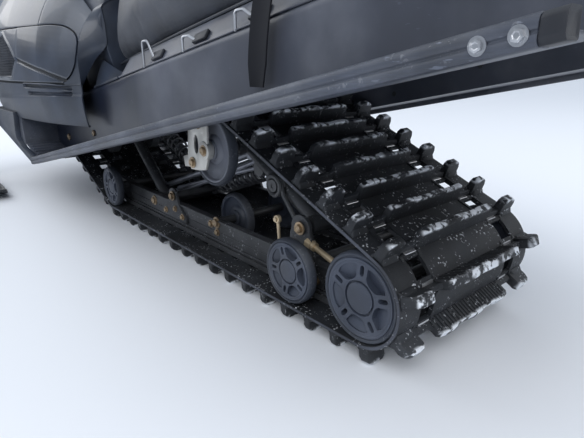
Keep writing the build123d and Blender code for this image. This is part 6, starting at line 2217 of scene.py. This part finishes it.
    def press_seams(self, pad: Object) -> None:
        """Hold the cushion in its box and sew its cross seams and its side seam in."""
        rear, front = self.rows[0][0], self.rows[-1][0]
        for vertex in pad.data.vertices:
            spot = vertex.co
            _, waist_half, top, top_half = self.cushion_row(min(front, max(rear, spot.x)))
            low = tunnel_top(spot.x) + self.base_depth + 0.4
            dip = sum(5 * math.exp(-((spot.x - seam) / 5) ** 2) for seam in self.seams)
            waist = low + self.waist_rise
            side = 0
            if abs(spot.y) > top_half * 0.8:
                side = 3.6 * math.exp(-((spot.z - waist - 34) / 4.2) ** 2)
            spot.z = min(max(spot.z, low), top + 3 - dip)
            limit = waist_half + 1 - side - dip * 0.6
            spot.y = math.copysign(min(abs(spot.y), limit), spot.y)
            spot.x = min(max(spot.x, rear), front)

    def piping(self) -> Object:
        """Welt along the cushion's foot."""
        path = []
        rear, front = self.rows[0][0] + 10, self.rows[-1][0] - 6
        for k in range(30):
            station = rear + (front - rear) * k / 29
            foot_half = self.cushion_row(station)[0]
            path.append((station, foot_half + 2, tunnel_top(station) + self.base_depth + 5))
        return both(tube(path, 3.6, sides=8))

    def console(self) -> Object:
        """Plastic cover between the seat and the dash."""
        sections = []
        for k in range(13):
            station = 930.4 + (1146 - 930.4) * k / 12
            row = smooth_row(self.console_rows, station, 0.3)
            foot_half, waist, waist_half, top, top_half = row[1:].tolist()
            low = tunnel_top(station) + 0.8
            half = [(foot_half, low),
                    (foot_half + (waist_half - foot_half) * 0.6, low + (waist - low) * 0.55),
                    (waist_half - 1, waist - 6), (waist_half - 2, waist + 10),
                    (top_half + (waist_half - top_half) * 0.40, top - 26), (top_half + 8, top - 6),
                    (top_half - 6, top)]
            half += [(-y, z) for y, z in reversed(half)]
            sections.append([(station, y, z) for y, z in half])
        return bevelled(loft(sections), 3, 3, 28)

    def side_covers(self) -> Object:
        """Covers on the tunnel between the seat's nose and the body."""
        def skin(u: float, v: float) -> Spot:
            """Point of the left cover."""
            station = 790 + (968 - 790) * u
            low = tunnel_top(station) + 1.2
            rise = (6 + 66 * u ** 1.2) * v
            return station, 204 - 26 * v ** 1.4 - 3 * v, low + rise

        cover = thick(facing(gridded(20, 10, skin)), 3)
        lip = tube([(790, 206.5, tunnel_top(790) + 0.5), (968, 206.5, tunnel_top(968) + 0.5)], 3.2, sides=8)
        return both(joined([bevelled(cover, 1, 2), lip]))

    def cap(self) -> Object:
        """Ribbed round cap of the fuel tank on the console."""
        spot = (1010, 0, 725)
        profile = [(0, 14), (26, 14), (29, 12), (30, 2), (34, 0), (34, -12), (0, -12)]
        lid = lathe(profile, spot, (-0.18, 0, 1), 48)
        lean = Matrix.Translation(spot) @ Matrix.Rotation(-0.18, 4, "Y")
        turns = [lean @ Matrix.Rotation(math.tau * k / 18, 4, "Z") for k in range(18)]
        ribs = stamped(cube((27.5, -1.6, 1), (31.4, 1.6, 12)), turns)
        bar = cube((-24, -4, 13), (24, 4, 20))
        bar.data.transform(lean)
        return joined([lid, ribs, bevelled(bar, 2, 2)])

    @staticmethod
    def tail_box() -> tuple[float, float, float, float]:
        """Rear, front, middle height and side of the frame's tail lamp."""
        low, high = (Vector(corner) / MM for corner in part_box("tail_lamp"))
        return low.x + ORIGIN_STATION, high.x + ORIGIN_STATION, (low.z + high.z) / 2, high.y

    def tail(self) -> Object:
        """Red lens behind the seat."""
        rear, front, middle, side = self.tail_box()
        sections = []
        for share, grow in ((0, -11), (0.14, -3), (0.4, 0), (1, 0)):
            half, reach = side + grow, 24 + grow * 0.6
            ring = squared_ring(half, reach, 0.55, 0.6, 32)
            station = rear + 6 + (front - rear - 6) * share
            sections.append([(station, y, middle + z) for y, z in ring])
        return loft(sections)

    def tail_bezel(self) -> Object:
        """Housing that frames the tail lens."""
        rear, front, middle, side = self.tail_box()
        half = side - 1
        pieces = [cube((rear + 14, -half, middle + 25), (front, half, middle + 33)),
                  cube((rear + 14, -half, middle - 33), (front, half, middle - 25))]
        return joined([bevelled(piece, 2.4, 3) for piece in pieces])

    def strap(self) -> Object:
        """Webbing that hangs over the tunnel's left side, with a fold and stitched end."""
        def face(u: float, v: float) -> Spot:
            """Point of the webbing."""
            station = 156 + 26 * v + (u - 0.5) * (44 - 30 * max(0, v - 0.82) * 2)
            y = 229 - 17 * (1 - v) ** 2 + 5 * math.sin(2.4 * v + 0.6) - 2 * math.sin(math.pi * u)
            return station, y, 606 - 190 * v

        _, high = (Vector(corner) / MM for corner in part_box("strap"))
        band = thick(gridded(16, 50, face), 2.6, 0)
        fold = bevelled(cube((150, high.y - 6, 566), (200, high.y + 0.5, 570)), 1, 2)
        return joined([outward(band), fold])


# Front suspension, skis and steering


@dataclass
class FrontEnd:
    """Arms, spindles, coil-over shocks, tie rods and the skis."""

    spindle: Flat = (1900, 398)
    arm_heights: tuple = (226, 343)
    arm_stations: tuple = (1862, 1990)
    root: float = 108.3
    shock_foot: Spot = (1908, 300, 243.5)
    shock_head: Spot = (1924, 126, 455.5)
    ski_y: float = 457
    ski_half: float = 75
    ski_tail: float = 1470
    ski_tip: float = 2520
    bend_station: float = 2270
    bend_radius: float = 330
    keel: float = 12
    bolt_height: float = 88

    def build(self) -> None:
        """Model and place every piece."""
        dressed(ARM, "wishbones")
        dressed(FRAME_PAINT, "front_frame")
        dressed(STEEL, "tie_rod_left", "tie_rod_right")
        dressed(CAST, "spindle_left", "spindle_right")
        placed(self.arm_bolts(), "wishbone_bolts", GOLD, angle=25)
        placed(self.shock_bodies(), "front_shock_bodies", STEEL, replaces=("front_shocks",))
        placed(self.shock_coils(), "front_shock_coils", COIL_RED, replaces=("front_shocks",))
        placed(self.engine(), "engine_casing", ENGINE, replaces=("engine_block",), edge=ENGINE.worn())
        placed(self.engine_trim(), "engine_covers", FRAME_PAINT)
        for side, sign in (("left", 1), ("right", -1)):
            body, node = f"ski_{side}_set", f"ski_{side}"
            parts = (("sole", SKI, self.sole(), SKI.worn()), ("keel", SKI, self.keels(), None),
                     ("runner", STEEL, self.runner(), None), ("saddle", CAST, self.saddle(), CAST.worn()),
                     ("loop", SKI, self.loop(), None), ("bolts", GOLD, self.ski_bolts(), None))
            for name, finish, piece, edge in parts:
                if sign < 0:
                    moved(piece, MIRROR)
                placed(piece, f"ski_{name}_{side}", finish, body, (node,), edge=edge)

    def arm_bolts(self) -> Object:
        """Bolt heads at the arms' pivots."""
        spots = []
        for height in self.arm_heights:
            for station, way in zip(self.arm_stations, (-1, 1)):
                spots.append(bolts([(station + 20 * way, self.root, height)], (way, 0, 0), 8, 6))
        return both(joined(spots))

    def shock_axis(self) -> tuple[Vector, Vector, float]:
        """Foot, direction and length of the left shock."""
        low, high = Vector(self.shock_foot), Vector(self.shock_head)
        return low, (high - low).normalized(), (high - low).length

    def shock_bodies(self) -> Object:
        """Damper tubes with their rods, collars and eyes."""
        low, way, span = self.shock_axis()
        pieces = [drum(low + way * 4, low + way * (span - 6), 6.2, 20),
                  drum(low + way * (0.28 * span), low + way * (0.86 * span), 15, 32)]
        for share, depth, radius in ((0.27, 8, 22), (0.78, 10, 21.5), (0.83, 5, 19)):
            collar = drum(low + way * (share * span), low + way * (share * span + depth), radius, 32)
            pieces.append(bevelled(collar, 1, 2))
        pieces.append(bevelled(drum(low + Vector((-15, 0, 0)), low + Vector((15, 0, 0)), 11.5, 24), 1, 2))
        pieces.append(drum(low + Vector((-34, 0, 0)), low + Vector((46, 0, 0)), 6, 16))
        return both(joined(pieces))

    def shock_coils(self) -> Object:
        """Springs round the dampers."""
        low, way, span = self.shock_axis()
        return both(coil(low + way * (0.31 * span), low + way * (0.77 * span), 18.4, 3.4, 8, 24))

    def engine(self) -> Object:
        """Engine as one block with a ribbed casing."""
        block = cube((1444, -166, 194), (1696, 166, 496))
        with shaping(block, "EDGE", lambda edge: all(vertex.co.z > 400 for vertex in edge.verts)):
            bpy.ops.mesh.bevel(offset=34, segments=3)
        ribs = [cube((1440.4, -150 + 30 * k, 230), (1699.6, -142 + 30 * k, 452)) for k in range(11)]
        fins = [cube((1450, -169, 236 + 24 * k), (1690, 169, 242 + 24 * k)) for k in range(9)]
        return joined([bevelled(block, 3, 2), *[bevelled(piece, 1.2, 1) for piece in (*ribs, *fins)]])

    def engine_trim(self) -> Object:
        """Round covers with bolts on both ends of the engine."""
        profile = [(0, 8), (52, 8), (60, 4), (66, 0), (66, -10), (0, -10)]
        cover = lathe(profile, (1560, 161.8, 310), (0, 1, 0), 48)
        ring = [(1560 + 60 * math.cos(a), 166, 310 + 60 * math.sin(a))
                for a in np.linspace(0, math.tau, 9)[:-1]]
        return both(joined([cover, bolts(ring, (0, 1, 0), 4.4, 3.6)]))

    def sole_height(self, station: float) -> float:
        """Height of the sole's underside at a station."""
        if station > self.bend_station:
            run = station - self.bend_station
            return self.keel + self.bend_radius - math.sqrt(self.bend_radius ** 2 - run ** 2)
        return self.keel + 22 * eased(self.ski_tail + 60 - station, 0, 60)

    def sole_half(self, station: float) -> float:
        """Half width of the sole at a station."""
        tip = eased(self.ski_tip - station, -60, 190)
        tail = eased(station - self.ski_tail, -90, 60)
        return self.ski_half * (0.20 + 0.80 * tip) * (0.55 + 0.45 * tail)

    def sole(self) -> Object:
        """Left ski's sole with its rolled edges and the raised ridges along it."""
        def skin(u: float, v: float) -> Spot:
            """Point of the sole's upper face."""
            station = self.ski_tail + (self.ski_tip - self.ski_tail) * u
            half, side = self.sole_half(station), 2 * v - 1
            fade = eased(station - self.ski_tail, 30, 120) * eased(self.ski_tip - station, 20, 240)
            lift = 11 * eased(abs(side), 0.80, 0.99) * fade
            ridge = 24 * math.exp(-((abs(side) - 0.62) / 0.085) ** 2)
            lift += ridge * fade * eased(self.bend_station + 60 - station, 0, 120)
            return station, self.ski_y + half * side, self.sole_height(station) + 4 + lift

        obj = thick(facing(gridded(110, 40, skin), (0, 0, 1)), 6)
        return bevelled(obj, 1.4, 2, 50)

    def keels(self) -> Object:
        """Moulded keel under the sole."""
        y, top = self.ski_y, self.keel + 3
        outline = [(y - 17, top), (y - 11, 1.2), (y + 11, 1.2), (y + 17, top)]
        return bevelled(plate(Axis.X, outline, self.ski_tail + 92, self.bend_station), 1.6, 2)

    def runner(self) -> Object:
        """Steel wear rod along the keel."""
        tail, bend, y = self.ski_tail, self.bend_station, self.ski_y
        path = [(tail + 150, y, 8), (tail + 180, y, 3.6), (bend - 120, y, 3.6), (bend - 70, y, 9)]
        return tube(path, 3.4, 30, 10)

    def saddle(self) -> Object:
        """Two ears of the saddle with the foot plate between them."""
        low, top = self.keel + 7, self.bolt_height + 20
        x = self.spindle[0]
        pieces = []
        for sign in (-1, 1):
            near, far = sorted((self.ski_y + sign * 20, self.ski_y + sign * 28))
            ear = plate(Axis.Y, [(x - 104, low), (x + 104, low), (x + 96, low + 14), (x + 46, low + 44),
                                 (x + 24, top - 10), (x + 12, top), (x - 12, top), (x - 24, top - 10),
                                 (x - 46, low + 44), (x - 96, low + 14)], near, far)
            pieces.append(bevelled(sunk(ear, (0, sign, 0), 7, -2.5), 1.2, 2))
        foot = cube((x - 100, self.ski_y - 20.5, low), (x + 100, self.ski_y + 20.5, low + 6))
        pieces.append(bevelled(foot, 1, 1))
        return joined(pieces)

    def loop(self) -> Object:
        """Handle loop at the ski's tip."""
        tip, bend, y, low = self.ski_tip, self.bend_station, self.ski_y, self.keel
        path = [(tip - 34, y, low + 92), (tip - 74, y, low + 206), (bend + 20, y, low + 112),
                (bend - 4, y, low + 2)]
        return tube(path, 8, 34, 16)

    def ski_bolts(self) -> Object:
        """Pivot bolt of the ski and the small bolts of its saddle."""
        x, y, z, far = self.spindle[0], self.ski_y, self.bolt_height, 28
        pieces = [drum((x, y - 34, z), (x, y + 34, z), 7.6, 20)]
        for sign in (-1, 1):
            pieces.append(bolts([(x, y + sign * far, z)], (0, sign, 0), 11, 8))
        spots = [(x + 84 * way, y + 8 * side, self.keel + 10) for way in (-1, 1) for side in (-1, 1)]
        return joined([*pieces, bolts(spots, (0, 0, 1), 5, 4)])


@dataclass
class Cockpit:
    """Handlebar, controls, dash, windshield and lamps."""

    bar: tuple = ((1165, 0, 980), (1165, 96, 980), (1155, 196, 1028), (1103, 372, 1010))
    head: Spot = (1402, 0, 640)
    grip_length: float = 118
    grip_radius: float = 16.5
    dial_radius: float = 33
    dial_y: float = 44
    dial_height: float = 826
    screen_foot: float = 740
    screen_crest: float = 1086
    lamp_stations: Flat = (1935, 2040)
    lamp_sides: Flat = (26, 138)

    def build(self) -> None:
        """Model and place every piece."""
        dressed(TUBE, "handlebar", "steering_column")
        placed(both(self.grip()), "ribbed_grips", GRIP_AND_SHADE, "steering", ("grips",))
        placed(both(self.control_housing()), "control_housings", DASH, "steering", ("hand_controls",),
               edge=DASH.worn())
        placed(both(self.lever()), "control_levers", STEEL, "steering", ("hand_controls",))
        placed(self.bar_pad(), "bar_pad", VINYL, "steering")
        placed(self.clamp_bolts(), "bar_clamp_bolts", GOLD, "steering", angle=25)
        placed(self.boot(), "column_boot", GRIP_AND_SHADE)
        placed(self.pod(), "dash_pod", DASH, replaces=("dash",), edge=DASH.worn())
        placed(both(self.dial_face()), "dial_faces", DIAL)
        placed(both(self.dial_ring()), "dial_rings", STEEL)
        placed(both(self.dial_marks()), "dial_marks", MARK)
        placed(self.switches(), "dash_switches", TAIL)
        placed(self.screen(), "screen_pane", SCREEN, replaces=("windshield",))
        placed(self.screen_trim(), "screen_trim", GRIP_AND_SHADE)
        placed(both(self.lamp(6, 1.8, 1)), "lamp_lenses", LENS, replaces=("headlamps",))
        placed(both(self.lamp(1.6, 1, 0.98)), "lamp_reflectors", REFLECTOR, replaces=("headlamps",))
        placed(both(self.lamp_bezel()), "lamp_bezels", DASH, replaces=("headlamps",))

    def grip_spot(self, reach: float) -> Vector:
        """Point on the bar's left outer run, by its distance from the end."""
        outer, inner = Vector(self.bar[3]), Vector(self.bar[2])
        return outer + (inner - outer).normalized() * reach

    def grip(self) -> Object:
        """Left grip with its ribs and end flange."""
        radius = self.grip_radius
        profile = [(11.2, 0), (radius, 0), (radius, 5)]
        for k in range(12):
            along = 7 + 8.6 * k
            profile += [(radius - 2.6, along), (radius - 0.5, along + 2), (radius - 0.5, along + 5.4),
                        (radius - 2.6, along + 7.4)]
        profile += [(radius, self.grip_length - 5), (radius, self.grip_length), (11.2, self.grip_length)]
        end = self.grip_spot(0)
        plug = drum(end, self.grip_spot(6), 11.4, 24)
        return joined([lathe(profile, end, self.grip_spot(10) - end, 32), plug])

    def control_housing(self) -> Object:
        """Left switch and lever housing."""
        near, far = self.grip_spot(self.grip_length + 2), self.grip_spot(self.grip_length + 34)
        ring = bevelled(drum(near, far, 20, 32), 2, 3)
        middle = (near + far) / 2
        box = bevelled(cube(middle + Vector((-6, -17, -4)), middle + Vector((30, 17, 22))), 4, 3)
        knobs = [bevelled(cube(middle + Vector((-14, y - 5, 16)), middle + Vector((-4, y + 5, 25))), 2, 2)
                 for y in (-9, 6)]
        return joined([ring, box, *knobs])

    def lever(self) -> Object:
        """Left hand lever with its ball end."""
        root = self.grip_spot(self.grip_length + 18) + Vector((20, 0, 0))
        tip = self.grip_spot(30) + Vector((44, 0, -4))
        path = [root, root + Vector((24, 4, 0)), root.lerp(tip, 0.55) + Vector((16, 0, 0)), tip]
        blade = tube(path, 5, 24, 12)
        bpy.ops.mesh.primitive_uv_sphere_add(segments=20, ring_count=12, radius=7.4, location=tip)
        ball = bpy.context.active_object
        bpy.ops.object.transform_apply(location=True)
        return joined([blade, ball])

    def bar_pad(self) -> Object:
        """Pad over the middle of the handlebar."""
        spot = Vector(self.bar[0])
        rows = []
        for k in range(13):
            y = -88 + 176 * k / 12
            swell = 1 - 0.18 * abs(2 * k / 12 - 1) ** 4
            ring = squared_ring(23 * swell, 27 * swell, 0.7, 0.7, 24)
            rows.append([(spot.x + across, y, spot.z + 6 + rise) for across, rise in ring])
        return bevelled(loft(rows), 3, 2)

    def clamp_bolts(self) -> Object:
        """Bolts of the handlebar clamp."""
        x, _, z = self.bar[0]
        return bolts([(x + dx, y, z - 22) for dx in (-10, 10) for y in (-24, 24)], (0, 0, -1), 4.4, 5)

    def axis_at(self, height: float) -> Vector:
        """Point of the steering axis at a height."""
        head, top = Vector(self.head), Vector(self.bar[0])
        return head.lerp(top, (height - head.z) / (top.z - head.z))

    def boot(self) -> Object:
        """Bellows round the steering column where it leaves the hood."""
        start = self.axis_at(772)
        profile = [(14.6, 0), (44, 0), (44, 5)]
        for k in range(6):
            profile += [(36 - 3.2 * k, 8 + 9 * k), (39 - 3.2 * k, 12 + 9 * k)]
        profile += [(18, 66), (14.6, 66)]
        return lathe(profile, start, self.axis_at(900) - start, 40)

    def pod(self) -> Object:
        """Instrument pod with a raised brow over the dials."""
        sections = []
        for y, shrink in ((-96, 12), (-88, 3), (-60, 0), (60, 0), (88, 3), (96, 12)):
            outline = [(1331 + shrink, 752), (1352 + shrink, 866 - shrink), (1344 + shrink, 876 - shrink),
                       (1350 + shrink, 880 - shrink), (1440 - shrink, 871 - shrink), (1449 - shrink, 752)]
            sections.append([(station, y, height) for station, height in outline])
        return bevelled(loft(sections), 3, 3, 28)

    def face_way(self) -> Vector:
        """Direction in which the dials look."""
        return Vector((-0.984, 0, 0.181)).normalized()

    def dial_spot(self) -> Vector:
        """Middle of the left dial."""
        return Vector((1331 + 21 * (self.dial_height - 752) / 114, self.dial_y, self.dial_height))

    def dial_face(self) -> Object:
        """Dark face of the left dial, dished in its ring."""
        radius = self.dial_radius
        profile = [(0, 1.4), (radius * 0.7, 1.4), (radius, 2.4), (radius, -4), (0, -4)]
        return lathe(profile, self.dial_spot(), self.face_way(), 48)

    def dial_ring(self) -> Object:
        """Bright ring of the left dial."""
        radius = self.dial_radius
        return lathe([(radius - 0.6, 0), (radius + 3.4, 0), (radius + 3, 4), (radius + 0.6, 4.8),
                      (radius - 0.6, 3.2)], self.dial_spot(), self.face_way(), 48)

    def dial_marks(self) -> Object:
        """Tick marks and needle of the left dial."""
        stand = pointing(self.dial_spot(), self.face_way())
        tick = cube((0.80 * self.dial_radius, -0.7, 2.2), (0.93 * self.dial_radius, 0.7, 3.2))
        turns = [math.radians(-120 + 24 * k) for k in range(11)]
        marks = stamped(tick, [stand @ Matrix.Rotation(turn, 4, "Z") for turn in turns])
        needle = cube((-6, -0.8, 2.4), (0.74 * self.dial_radius, 0.8, 3.4))
        hub = drum((0, 0, 1.4), (0, 0, 4.4), 4, 20)
        for piece in (needle, hub):
            piece.data.transform(stand @ Matrix.Rotation(math.radians(-112), 4, "Z"))
        return joined([marks, needle, hub])

    def switches(self) -> Object:
        """Rocker switches under the dials."""
        pieces = []
        for y in (-52, -18, 18, 52):
            block = cube((-11, -6, 0), (11, 6, 4))
            stand = pointing((1334.4, y, 771), self.face_way())
            block.data.transform(stand @ Matrix.Rotation(math.pi / 2, 4, "Z"))
            pieces.append(bevelled(block, 1.6, 2))
        return joined(pieces)

    def pane(self, u: float, share: float) -> Vector:
        """Point of the windshield's outer face.

        Args:
            u: From the right edge at 0 to the left edge at 1.
            share: From the foot at 0 to the crest at 1.

        Returns:
            The point.
        """
        side = 2 * u - 1
        front, rear = 1546 + (1351 - 1546) * share, 1422 + (1278 - 1422) * share
        half = 234 + (171 - 234) * share
        wrap = max(0, (abs(side) - 0.30) / 0.70) ** 1.35
        crest = self.screen_crest - 1 - 46 * side * side
        height = self.screen_foot + (crest - self.screen_foot) * share
        return Vector((front - (front - rear) * wrap - 3 * side * side, half * side, height))

    def pane_foot(self, u: float) -> float:
        """Share at which the windshield leaves the hood."""
        low, high = 0, 0.9
        for _ in range(18):
            middle = (low + high) / 2
            spot = self.pane(u, middle)
            place = SURFACE.at_side(spot.x, abs(spot.y), True)
            if SURFACE.at(spot.x, place).z + 0.6 > spot.z:
                low = middle
            else:
                high = middle
        return high

    def screen(self) -> Object:
        """Smoked pane, wrapped round and cut to the hood."""
        feet = {}

        def skin(u: float, v: float) -> Spot:
            """Point of the pane."""
            key = round(u, 4)
            feet.setdefault(key, self.pane_foot(u))
            return self.pane(u, feet[key] + (1 - feet[key]) * v)

        obj = gridded(60, 34, skin)
        return bevelled(thick(facing(obj, (1, 0, 0)), 3.4), 1, 2, 60)

    def screen_trim(self) -> Object:
        """Rubber bead along the pane's foot and the fasteners above it."""
        path = [self.pane(u, self.pane_foot(u)) + Vector((-1, 0, 1)) for u in np.linspace(0.02, 0.98, 60)]
        bead = tube(path, 3.4, sides=8)
        heads = []
        for u in (0.10, 0.27, 0.5, 0.73, 0.90):
            spot = self.pane(u, self.pane_foot(u) + 0.06)
            way = Vector((1, (2 * u - 1) * 1.4, 0.25)).normalized()
            heads.append(pointing(spot, way))
        button = lathe([(0, 0), (7, 0), (6, 2.4), (2, 3.2), (0, 3.2)], (0, 0, 0), (0, 0, 1), 20)
        return joined([bead, stamped(button, heads)])

    def lamp_outline(self, u: float, v: float, grow: float) -> tuple[float, float]:
        """Station and side of a point of the left lamp's field, with raked ends and round corners."""
        rear, front = self.lamp_stations
        near, far = self.lamp_sides
        a, b = (2 * u - 1) * grow, (2 * v - 1) * grow
        squeeze = 1 - 0.16 * (b * b) ** 2
        lean = 26 * (b + 1) / 2
        reach = (front - rear) / 2 * a * squeeze * (1 - 0.16 * (b + 1) / 2)
        side = (near + far) / 2 + (far - near) / 2 * b * (1 - 0.05 * (a * a) ** 2)
        return (rear + front) / 2 + reach - lean * 0.5, side

    def lamp(self, lift: float, wall: float, grow: float) -> Object:
        """One layer of the left lamp, over the hood."""
        def skin(u: float, v: float) -> Spot:
            """Point of the layer."""
            station, side = self.lamp_outline(u, v, grow)
            rise = lift * (0.35 + 0.65 * eased(min(u, 1 - u, v, 1 - v), 0, 0.09))
            return SURFACE.lifted(station, SURFACE.at_side(station, side, True), rise)
        return bevelled(thick(facing(gridded(18, 18, skin), (0, 0, 1)), wall), 0.5, 1, 60)

    def lamp_bezel(self) -> Object:
        """Frame round the left lamp."""
        quarter = [k / 8 for k in range(8)]
        ring = [*((u, 0) for u in quarter), *((1, v) for v in quarter)]
        ring += [(1 - u, 1 - v) for u, v in ring]
        path = []
        for u, v in ring:
            station, side = self.lamp_outline(u, v, 1.03)
            path.append(SURFACE.lifted(station, SURFACE.at_side(station, side, True), 1.6))
        return tube(path, 3.4, sides=8, closed=True)


def main() -> None:
    """Build every sub-assembly in order."""
    logging.basicConfig(level=logging.INFO, format="%(message)s")
    bpy.context.scene.view_settings.view_transform = "Standard"
    Stage().build()
    Track(BeltPath()).build()
    Wheels().build()
    Skid().build()
    Tunnel().build()
    Body().build()
    Seat().build()
    FrontEnd().build()
    Cockpit().build()


if __name__ == "__main__":
    main()
